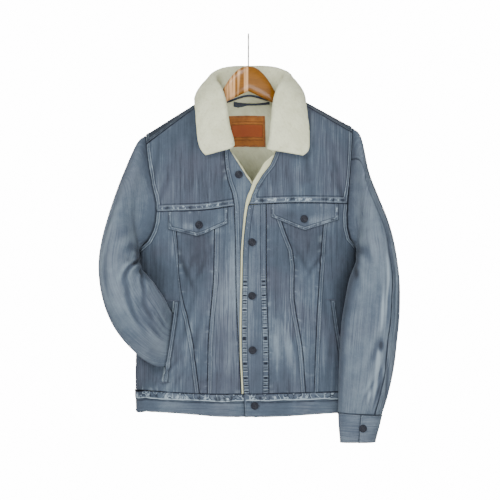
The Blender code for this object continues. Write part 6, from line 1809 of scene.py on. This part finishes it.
def hook():
    """The steel hook, a round wire edge on to the front, with a rounded tip."""
    middle, foot = HANGER_HUMP[0][4], HANGER_HUMP[0][1] + OVERLAY_GAP
    loop_z, start = HOOK_WIRE / 2 - HOOK_RADIUS, math.radians(-62)
    arc = [(0, HOOK_RADIUS * math.cos(a), loop_z + HOOK_RADIUS * math.sin(a))
           for a in np.linspace(start, math.radians(205), 70)]
    stem = [(0, middle, z) for z in np.linspace(foot, loop_z - HOOK_RADIUS - 0.014, 8)]
    leans = (0, 1), (-math.sin(start), math.cos(start))
    lean_in, lean_out = (HOOK_LEAN * np.array([0, *lean]) for lean in leans)
    bend = [hermite(t, np.array(stem[-1]), np.array(arc[0]), lean_in, lean_out)
            for t in np.linspace(0.05, 0.95, 14)]
    line = np.array(stem + bend + arc)
    beside = np.array([1.0, 0, 0])
    width = np.full(len(line), HOOK_WIRE / 2)
    width[-4:] *= (0.97, 0.88, 0.68, 0.30)
    round_it = np.linspace(0, 2 * math.pi, HOOK_ROUND, endpoint=False)[:, None]
    rings = [point + size * (np.cos(round_it) * beside + np.sin(round_it) * np.cross(beside, run))
             for point, run, size in zip(line, unit(np.gradient(line, axis=0)), width)]
    piece = mesh_object("hanger_hook_wire", np.concatenate(rings), tube_faces(len(line), HOOK_ROUND),
                        FINISH["steel"], 60)
    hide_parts("hanger_hook")


FINISH = {}


class Finish:
    """A material under construction, with short ways to add and join its nodes."""

    def __init__(self, name, roughness, metallic=0.0):
        self.material = bpy.data.materials.new(name)
        self.material.use_nodes = True
        self.tree = self.material.node_tree
        self.shader = self.tree.nodes["Principled BSDF"]
        self.set("Roughness", roughness)
        self.set("Metallic", metallic)

    def set(self, socket, value):
        self.give(self.shader.inputs[socket], value)

    def give(self, socket, value):
        if isinstance(value, bpy.types.NodeSocket):
            self.tree.links.new(value, socket)
        elif hasattr(socket.default_value, "__len__"):
            socket.default_value = tuple(value) + (1.0,) * (len(socket.default_value) - len(tuple(value)))
        else:
            socket.default_value = value

    def add(self, kind, out=0, settings=None, **inputs):
        made = self.tree.nodes.new("ShaderNode" + kind)
        for key, value in (settings or {}).items():
            setattr(made, key, value)
        for key, value in inputs.items():
            index = int(key[1:]) if key[0] == "i" and key[1:].isdigit() else key.replace("_", " ")
            self.give(made.inputs[index], value)
        return made.outputs[out]

    def vertex(self, name, out="Vector"):
        return self.add("Attribute", out, {"attribute_name": name})

    def parts(self, vector):
        made = self.tree.nodes.new("ShaderNodeSeparateXYZ")
        self.tree.links.new(vector, made.inputs[0])
        return tuple(made.outputs)

    def math(self, way, a, b=0.0, clamp=False):
        return self.add("Math", 0, {"operation": way, "use_clamp": clamp}, i0=a, i1=b)

    def chain(self, way, first, *rest):
        for value in rest:
            first = self.math(way, first, value)
        return first

    def times(self, *values):
        return self.chain("MULTIPLY", *values)

    def plus(self, *values):
        return self.chain("ADD", *values)

    def minus(self, a, b):
        return self.math("SUBTRACT", a, b)

    def most(self, *values):
        return self.chain("MAXIMUM", *values)

    def near(self, value, at, full, none, most=1.0):
        """The most close to a value, and nothing further off than none."""
        return self.spread(self.math("ABSOLUTE", self.minus(value, at)), full, none, most, 0.0)

    def spread(self, value, low, high, to_low=0.0, to_high=1.0):
        return self.add("MapRange", 0, {"clamp": True}, Value=value, From_Min=low, From_Max=high,
                        To_Min=to_low, To_Max=to_high)

    def grain(self, vector, scale, detail=3.0, stretch=(1, 1, 1), rough=0.5):
        placed = self.add("Mapping", 0, None, Vector=vector, Scale=stretch)
        return self.add("TexNoise", 0, None, Vector=placed, Scale=scale, Detail=detail, Roughness=rough)

    def mix(self, share, a, b):
        made = self.tree.nodes.new("ShaderNodeMix")
        made.data_type = "RGBA"
        for index, value in ((0, share), (6, a), (7, b)):
            self.give(made.inputs[index], value)
        return made.outputs[2]

    def bump(self, height, depth, strength=1.0):
        return self.add("Bump", 0, None, Height=height, Distance=depth, Strength=strength)


def denim_finish(name, fade_by, slate, lined):
    """Faded denim: slubs along the warp, patches of wash and painted shade, painted shade in the creases,
    dark seam lines of unfaded indigo and painted shadow, and rubbed, roped bands.

    The cloth is paler by fade_by. Slate is the share of greyer patches, lined that of fine dark lines.
    """
    colours = bpy.context.scene.jacket_colours
    made = Finish(name, 0.84)
    spread, mix, times, plus, minus = made.spread, made.mix, made.times, made.plus, made.minus
    most, near = made.most, made.near
    cloth = made.vertex("cloth")
    where = made.add("TexCoord", "Object")
    u, v, wash_and_shade = made.parts(cloth)
    edge, worn, strength = made.parts(made.vertex("seam"))
    share, run, look = made.parts(made.vertex("band"))
    slub = made.grain(cloth, 1.0, 3.0, (620, 13, 0))
    streak = made.grain(cloth, 1.0, 2.0, (150, 7.0, 0))
    patch = made.grain(where, 11.0, 3.0)
    blotch = made.grain(where, 46.0, 4.0)
    nap = made.grain(where, 420.0, 3.0)
    twill = times(plus(made.math("SINE", times(plus(u, v), 2 * math.pi / TWILL)), 1.0), 0.5)
    # The third part of the cloth mark is the wash together with painted shade.
    tone = plus(times(wash_and_shade, 1.45), 0.5 + fade_by)
    for source, amount in ((slub, 0.20 + 0.35 * lined), (streak, 0.05 + 0.35 * lined), (patch, 0.30),
                           (blotch, 0.26), (nap, 0.16), (twill, 0.05)):
        tone = plus(tone, times(minus(source, 0.5), amount))
    # Painted shade: the cloth is darker down in the creases, with a painted highlight on the ridges beside
    # them.
    tone = minus(tone, times(made.vertex("crease", "Fac"), 150.0))
    for stretch, deep in (((105, 3.2, 0), 0.42), ((210, 6.0, 0), 0.30)):
        hair = near(made.grain(cloth, 1.0, 1.0, stretch), 0.5, 0.0, 0.032, deep * lined)
        tone = minus(tone, times(hair, spread(patch, 0.38, 0.60)))
    face = mix(spread(tone, 0.0, 0.5), [0.40 * c for c in colours.denim], colours.denim)
    pale = [0.45 * c + 0.55 * w for c, w in zip(colours.denim, colours.denim_worn)]
    face = mix(spread(tone, 0.5, 1.1), face, pale)
    face = mix(times(spread(patch, 0.42, 0.70), slate), face, colours.denim_slate)

    # Grains along the band beside a seam, and the band's outer line, a dark line of unfaded indigo and
    # painted shadow at the foot of the lap's step.
    along_it = made.add("CombineXYZ", 0, None, X=run, Y=times(share, 0.012))
    fine = made.grain(along_it, 1.0, 2.0, (330, 260, 0))
    wide = made.grain(along_it, 1.0, 1.0, (62, 0, 0))
    slow = made.grain(along_it, 1.0, 1.0, (14, 0, 0))
    blocks = made.grain(along_it, 1.0, 0.0, (85, 110, 0))
    band_edge_indigo_and_shadow = times(near(share, 1.05, 0.02, 0.14, 0.72), strength, spread(wide, 0.30, 0.50, 0.45, 1.0))
    inside = spread(share, 1.0, 1.04, 1.0, 0.0)

    # The waistband's ridge, the line under it and the blocks above it.
    waist = times(near(look, 1.0, 0.4, 0.5), inside)
    sway = plus(share, times(minus(slow, 0.5), 0.50))
    ridge_line = times(near(sway, 0.80, 0.03, 0.08, 0.85), waist)
    under_line = times(near(sway, 0.91, 0.02, 0.08, 0.85), waist)
    above = times(spread(sway, 0.66, 0.72, 1.0, 0.0), waist)
    pale_blocks = times(near(blocks, 0.56, 0.012, 0.03, 0.7), above)
    dark_blocks = times(near(blocks, 0.47, 0.012, 0.035, 0.85), above)

    # The ladder of short marks, which ends at a height.
    ladder = times(spread(look, 1.5, 1.6), inside)
    bars = made.math("SINE", plus(times(run, 2 * math.pi / RUNG), times(wide, 14.0)))
    rung = times(spread(bars, 0.45, 0.75), spread(share, 0.18, 0.26), spread(share, 0.84, 0.92, 1.0, 0.0),
                 ladder, spread(v, *RUNG_TOP, 1.0, 0.0))
    pale_rung = times(spread(bars, -0.35, 0.10), spread(bars, 0.10, 0.40, 1.0, 0.0), ladder,
                      spread(v, *RUNG_TOP, 0.75, 0.0))

    # Roping where a seam is rubbed, with dark pits of unfaded indigo and painted shade in the puckers'
    # troughs, and the twin lines of a plain one.
    touched = spread(made.math("ABSOLUTE", worn), 0.03, 0.16)
    rope = plus(times(worn, 0.75), times(minus(fine, 0.5), 1.7))
    rope = times(spread(rope, 0.24, 0.62, 0.0, 0.72), touched)
    pit_indigo_and_shade = minus(times(minus(fine, 0.5), 0.7), worn)
    pit_indigo_and_shade = times(spread(pit_indigo_and_shade, 0.10, 0.55, 0.0, 0.75), touched)
    twin = most(*(near(share, at, 0.05, 0.15) for at in (0.22, 0.80)))
    twin = times(twin, spread(look, 2.4, 2.6, 0.30, 0.62), spread(wide, 0.30, 0.62, 0.35, 1.0),
                 spread(made.math("ABSOLUTE", minus(look, 1.5)), 1.3, 1.4), spread(strength, 0.15, 0.70))

    # The dark line along every border: unfaded indigo, and a painted shadow in the seam's narrow gap.
    line = times(spread(edge, 0.0005, 0.0020, 1.0, 0.0), spread(blotch, 0.28, 0.50, 0.62, 1.0),
                 spread(strength, 0.2, 0.7, 0.35, 1.0))
    for marks, share_of, colour in (
            (most(rope, twin, ridge_line, pale_rung, pale_blocks), 0.92, colours.denim_worn),
            (most(pit_indigo_and_shade, band_edge_indigo_and_shadow, rung, under_line, dark_blocks), 0.92, colours.denim_unfaded_and_shadow),
            (line, 0.97, colours.denim_unfaded_and_shadow)):
        face = mix(made.math("MULTIPLY", marks, share_of, clamp=True), face, colour)
    made.set("Base Color", face)
    made.set("Sheen Weight", 0.04)
    made.set("Sheen Roughness", 0.5)
    made.set("Specular IOR Level", 0.12)
    made.set("Normal", made.bump(plus(times(twill, 0.35), slub, times(nap, 0.5)), 0.0006, 0.7))
    return made.material


def thread_finish():
    colours = bpy.context.scene.jacket_colours
    made = Finish("sewing_thread", 0.7)
    each = made.vertex("stitch", "Fac")
    twist = made.grain(made.add("TexCoord", "Object"), 2600.0, 1.0)
    pale = [0.35 * c + 0.65 * w for c, w in zip(colours.thread, colours.denim)]
    face = made.mix(made.spread(each, -0.6, 1.0), colours.thread, pale)
    made.set("Base Color", made.mix(made.spread(twist, 0.4, 0.7, 0.0, 0.4), face, colours.denim_unfaded_and_shadow))
    made.set("Normal", made.bump(twist, 0.0001))
    return made.material


def sherpa_finish():
    """Cream curled pile, with painted shade down between the tufts and a painted highlight at their tips."""
    colours = bpy.context.scene.jacket_colours
    made = Finish("sherpa_pile", 0.95)
    where = made.add("TexCoord", "Object")
    height = made.vertex("pile", "Fac")
    curls = made.add("TexVoronoi", 0, {"feature": "SMOOTH_F1"}, Vector=where, Scale=620.0, Smoothness=0.6)
    fuzz = made.grain(where, 1500.0, 4.0, rough=0.65)
    patch = made.grain(where, 26.0, 3.0)
    # Painted shade: the cream is darker and yellower where the pile is low, between the tufts.
    tone = made.plus(made.spread(height, 0.05, 0.85, 0.0, 0.7), made.times(patch, 0.45))
    # Painted highlight: the tufts' tips are brighter.
    tip_highlight = made.spread(made.minus(made.plus(height, fuzz), curls), 0.6, 1.6)
    face = made.mix(tone, [c * s for c, s in zip(colours.sherpa, (0.78, 0.77, 0.68))], colours.sherpa)
    made.set("Base Color", made.mix(tip_highlight, face, [min(1.0, c * 1.13) for c in colours.sherpa]))
    made.set("Sheen Weight", 0.05)
    made.set("Sheen Roughness", 0.6)
    made.set("Specular IOR Level", 0.1)
    made.set("Normal", made.bump(made.minus(made.times(fuzz, 1.1), curls), 0.0009, 0.8))
    return made.material


def leather_finish():
    """Tan leather with a redder middle and dark pressed lines."""
    colours = bpy.context.scene.jacket_colours
    made = Finish("tan_leather", 0.62)
    made.set("Specular IOR Level", 0.2)
    where = made.add("TexCoord", "Object")
    across, _, down = made.parts(made.vertex("cloth"))
    pores = made.add("TexVoronoi", 0, None, Vector=where, Scale=1500.0)
    cloud = made.grain(where, 60.0, 5.0)
    middle = made.times(made.spread(down, 0.29, 0.31), made.spread(down, 0.70, 0.68),
                        made.spread(across, 0.0075, 0.0085), made.spread(across, 0.0790, 0.0780))
    face = made.mix(made.spread(cloud, 0.3, 0.7), [0.72 * c for c in colours.leather],
                    [1.25 * c for c in colours.leather])
    face = made.mix(made.times(middle, 0.75), face, (0.30, 0.055, 0.014))
    pressed = made.times(made.vertex("relief", "Fac"), 0.8)
    made.set("Base Color", made.mix(pressed, face, [0.30 * c for c in colours.leather]))
    made.set("Normal", made.bump(made.plus(pores, cloud), 0.0002, 0.5))
    return made.material


def tape_finish():
    colours = bpy.context.scene.jacket_colours
    made = Finish("loop_tape", 0.8)
    u, v, _ = made.parts(made.vertex("cloth"))
    diagonal = made.times(made.plus(u, v), 2 * math.pi / TAPE_TWILL)
    twill = made.plus(made.times(made.math("SINE", diagonal), 0.5), 0.5)
    made.set("Base Color", made.mix(twill, colours.tape, [2.4 * c for c in colours.tape]))
    made.set("Normal", made.bump(twill, 0.0002))
    return made.material


def wood_finish():
    """Honey-coloured wood under a glossy varnish, its grain along the arms, with painted highlight bands on
    its left half.
    """
    colours = bpy.context.scene.jacket_colours
    made = Finish("varnished_wood", 0.36)
    where = made.add("TexCoord", "Object")
    x = made.parts(where)[0]
    fibre = made.grain(where, 1.0, 5.0, (26, 420, 420), 0.6)
    figure = made.grain(where, 1.0, 1.0, (120, 5, 5))
    rings = made.add("TexWave", 1, {"bands_direction": "Z", "wave_profile": "SAW"}, Vector=where, Scale=16.0,
                     Distortion=5.0, Detail=3.0, Detail_Scale=1.4)
    face = made.mix(made.spread(fibre, 0.3, 0.75), [0.70 * c for c in colours.wood], colours.wood)
    face = made.mix(made.times(rings, 0.30), face, [0.50 * c for c in colours.wood])
    # Painted reflection: pale bands on the left half stand for a bright light's reflection in the varnish.
    left_highlight_bands = made.times(made.spread(x, -0.002, 0.002, 1.0, 0.0), made.spread(figure, 0.46, 0.62))
    face = made.mix(left_highlight_bands, face, [min(1.0, c * s + 0.05) for c, s in zip(colours.wood, (2.3, 3.2, 26.0))])
    joint = made.times(made.spread(x, -0.0004, 0.0006), made.spread(x, 0.0006, 0.0016, 0.9, 0.0))
    face = made.mix(joint, face, [0.25 * c for c in colours.wood])
    made.set("Base Color", face)
    made.set("Coat Weight", 0.18)
    made.set("Coat Roughness", 0.08)
    made.set("Specular IOR Level", 0.2)
    made.set("Normal", made.bump(fibre, 0.0002, 0.35))
    return made.material


def steel_finish():
    colours = bpy.context.scene.jacket_colours
    made = Finish("hook_steel", 0.3, 1.0)
    where = made.add("TexCoord", "Object")
    drawn = made.grain(where, 1.0, 3.0, (2500, 2500, 120))
    made.set("Base Color", made.mix(drawn, [0.7 * c for c in colours.steel], colours.steel))
    made.set("Roughness", made.spread(drawn, 0.3, 0.7, 0.22, 0.42))
    made.set("Normal", made.bump(drawn, 0.00005))
    return made.material


def button_finish():
    """Dark oxidised metal, rubbed lighter on its raised rings."""
    colours = bpy.context.scene.jacket_colours
    made = Finish("button_metal", 0.50, 0.2)
    where = made.add("TexCoord", "Object")
    spots = made.grain(where, 900.0, 4.0)
    rubbed = made.math("MULTIPLY", made.vertex("rubbed", "Fac"), made.spread(spots, 0.35, 0.65), clamp=True)
    face = made.mix(spots, [0.5 * c for c in colours.button], [1.5 * c for c in colours.button])
    made.set("Base Color", made.mix(rubbed, face, (0.018, 0.022, 0.034)))
    made.set("Roughness", made.spread(spots, 0.3, 0.7, 0.32, 0.58))
    made.set("Specular IOR Level", 0.25)
    made.set("Normal", made.bump(spots, 0.00008))
    return made.material


class JacketOperator:
    """What the operators share."""

    bl_options = {"REGISTER", "UNDO"}

    def execute(self, context):
        self.make()
        return {"FINISHED"}


class JACKET_OT_finishes(JacketOperator, bpy.types.Operator):
    """Make the denim, pile, leather, wood and metal finishes"""

    bl_idname = "jacket.finishes"
    bl_label = "Finishes"

    def make(self):
        FINISH.update(
            denim=denim_finish("faded_denim", 0.0, 0.55, 1.0),
            sleeve=denim_finish("faded_denim_sleeves", 0.0, 0.30, 0.35),
            band=denim_finish("faded_denim_bands", 0.06, 0.40, 0.5),
            thread=thread_finish(), sherpa=sherpa_finish(), leather=leather_finish(), loop=tape_finish(),
            wood=wood_finish(), steel=steel_finish(), button=button_finish())


class JACKET_OT_hanger(JacketOperator, bpy.types.Operator):
    """Make the wooden hanger and its steel hook"""

    bl_idname = "jacket.hanger"
    bl_label = "Hanger and hook"

    def make(self):
        hanger()
        hook()


class JACKET_OT_shell(JacketOperator, bpy.types.Operator):
    """Make the denim panels of the body, the sleeves and the cuffs"""

    bl_idname = "jacket.shell"
    bl_label = "Body and sleeves"

    def make(self):
        yoke_grid = back_yoke()
        back_found = back_panels()
        for label, part in SIDES.items():
            yoke_front = front_yoke(part)
            placket(part)
            front_centre(part)
            order = ("v_outer", "v_inner") if label == "left" else ("v_inner", "v_outer")
            front_panel(f"front_pocket_{label}", part, order[0], order[1], 4)
            if label == "left":
                lower = slit_panel("front_side_left", part)
            else:
                lower = front_panel("front_side_right", part, "v_outer", "side", 6)
            ring = armhole_ring(part, yoke_grid, yoke_front, lower, back_found[label])
            if label == "left":
                sleeve(label, SLEEVE_LEFT, SLEEVE_FOLDS_LEFT, SLEEVE_CREASES_LEFT, ring, (22, 15))
                cuff(label, CUFF_LEFT, 0.0, 0.0)
            else:
                sleeve(label, SLEEVE_RIGHT, SLEEVE_FOLDS_RIGHT, SLEEVE_CREASES_RIGHT, ring, (19, 6))
                cuff_button(*cuff(label, CUFF_RIGHT, 0.19, 0.0034))


class JACKET_OT_waistband(JacketOperator, bpy.types.Operator):
    """Make the waistband's three stretches"""

    bl_idname = "jacket.waistband"
    bl_label = "Waistband"

    def make(self):
        waistband("waistband_left", None, lambda z: float(smooth_table(EDGE_LEFT, z)), 12, "under_shell", -1)
        waistband("waistband_right", lambda z: float(smooth_table(EDGE_RIGHT, z)), None, 11, "shell", -1)
        waistband("waistband_back", None, None, 20, "shell", 1)


class JACKET_OT_pockets(JacketOperator, bpy.types.Operator):
    """Make the pocket flaps and welts"""

    bl_idname = "jacket.pockets"
    bl_label = "Flaps and welts"

    def make(self):
        for label, lows in FLAPS.items():
            flap(label, lows)
        for label in SIDES:
            welt(label)


class JACKET_OT_linings(JacketOperator, bpy.types.Operator):
    """Make the sherpa linings"""

    bl_idname = "jacket.linings"
    bl_label = "Linings"

    def make(self):
        for label, part in SIDES.items():
            front_lining(label, part)
        back_lining()


class JACKET_OT_collar(JacketOperator, bpy.types.Operator):
    """Make the sherpa collar"""

    bl_idname = "jacket.collar"
    bl_label = "Collar"

    def make(self):
        collar()


class JACKET_OT_inside(JacketOperator, bpy.types.Operator):
    """Make the neck patch and the hanging loop"""

    bl_idname = "jacket.inside"
    bl_label = "Patch and loop"

    def make(self):
        inside_patch()
        hanging_loop()


class JACKET_OT_buttons(JacketOperator, bpy.types.Operator):
    """Make the tack buttons of the front and the flaps"""

    bl_idname = "jacket.buttons"
    bl_label = "Buttons"

    def make(self):
        for index, (name, x, z) in enumerate(FRONT_BUTTONS):
            lift = BAND_WALL if name == "button_waist" else DENIM_WALL
            body_button(name, x, z, "under_shell" if index == 0 else "shell", lift)
        for (name, x, z), part in zip(FLAP_BUTTONS, SIDES.values()):
            body_button(name, x, z, part["layer"], 2 * DENIM_WALL + FLAP_GAP)


class JACKET_OT_sewing(JacketOperator, bpy.types.Operator):
    """Make the rows of stitches, the buttonholes and the bar tacks"""

    bl_idname = "jacket.sewing"
    bl_label = "Stitches"

    def make(self):
        buttonholes()
        for group in sorted(THREADS):
            sew(group)


class JACKET_OT_stage(JacketOperator, bpy.types.Operator):
    """Make the camera, the pale floor and the soft lights"""

    bl_idname = "jacket.stage"
    bl_label = "Camera, floor and lights"

    def make(self):
        stage = bpy.context.scene.jacket_stage
        lens = bpy.data.cameras.new("camera")
        lens.lens = stage.lens
        camera = bpy.data.objects.new("camera", lens)
        camera.location = (CAMERA_PLACE[0], -stage.distance, CAMERA_PLACE[1])
        camera.rotation_euler = (math.pi / 2, 0, 0)
        bpy.context.scene.collection.objects.link(camera)
        bpy.context.scene.camera = camera
        mesh = bpy.data.meshes.new("floor")
        corners = [(side * FLOOR_REACH, y, FLOOR_Z) for y in FLOOR_SPAN for side in (-1, 1)]
        mesh.from_pydata(corners, [], [(0, 1, 3, 2)])
        floor = bpy.data.objects.new("floor", mesh)
        made = Finish("pale_floor", 0.9)
        made.set("Base Color", stage.floor)
        floor.data.materials.append(made.material)
        bpy.context.scene.collection.objects.link(floor)
        world = bpy.data.worlds.new("studio")
        world.use_nodes = True
        nodes, links = world.node_tree.nodes, world.node_tree.links
        where, parts, strength = (nodes.new(kind) for kind in (
            "ShaderNodeTexCoord", "ShaderNodeSeparateXYZ", "ShaderNodeMapRange"))
        limits = (*SOFT_SCREEN, WORLD_LIGHT, SCREEN_LIGHT)
        for key, value in zip(("From Min", "From Max", "To Min", "To Max"), limits):
            strength.inputs[key].default_value = value
        links.new(where.outputs["Generated"], parts.inputs["Vector"])
        links.new(parts.outputs["Y"], strength.inputs["Value"])
        links.new(strength.outputs["Result"], nodes["Background"].inputs["Strength"])
        nodes["Background"].inputs["Color"].default_value = (1, 1, 1, 1)
        bpy.context.scene.world = world
        for name, place, aim, size, power in LIGHTS:
            light = bpy.data.lights.new(name, "AREA")
            light.shape = "RECTANGLE"
            light.size, light.size_y = size
            light.energy = power
            lamp = bpy.data.objects.new(name, light)
            lamp.location = place
            lamp.rotation_euler = (Vector(aim) - Vector(place)).to_track_quat("-Z", "Y").to_euler()
            bpy.context.scene.collection.objects.link(lamp)


class JACKET_PT_panel(bpy.types.Panel):
    """The jacket's sizes, colours and pieces"""

    bl_label = "Sherpa lined jacket"
    bl_space_type = "VIEW_3D"
    bl_region_type = "UI"
    bl_category = "Jacket"

    def draw(self, context):
        scene, column = context.scene, self.layout.column()
        for group in (scene.jacket_sizes, scene.jacket_colours, scene.jacket_stage):
            for key in group.__annotations__:
                column.prop(group, key)
        for operator in OPERATORS:
            column.operator(operator.bl_idname)


OPERATORS = (
    JACKET_OT_finishes, JACKET_OT_hanger, JACKET_OT_shell, JACKET_OT_waistband, JACKET_OT_pockets,
    JACKET_OT_linings, JACKET_OT_collar, JACKET_OT_inside, JACKET_OT_buttons, JACKET_OT_sewing,
    JACKET_OT_stage,
)
GROUPS = (("jacket_sizes", JacketSizes), ("jacket_colours", JacketColours), ("jacket_stage", JacketStage))


def register():
    for name, group in GROUPS:
        bpy.utils.register_class(group)
        setattr(bpy.types.Scene, name, bpy.props.PointerProperty(type=group))
    for operator in OPERATORS:
        bpy.utils.register_class(operator)
    bpy.utils.register_class(JACKET_PT_panel)


def unregister():
    bpy.utils.unregister_class(JACKET_PT_panel)
    for operator in reversed(OPERATORS):
        bpy.utils.unregister_class(operator)
    for name, group in reversed(GROUPS):
        delattr(bpy.types.Scene, name)
        bpy.utils.unregister_class(group)


def main():
    register()
    for operator in OPERATORS:
        group, name = operator.bl_idname.split(".")
        if "FINISHED" not in getattr(getattr(bpy.ops, group), name)():
            raise RuntimeError(f"{operator.bl_label} did not finish")


if __name__ == "__main__":
    main()
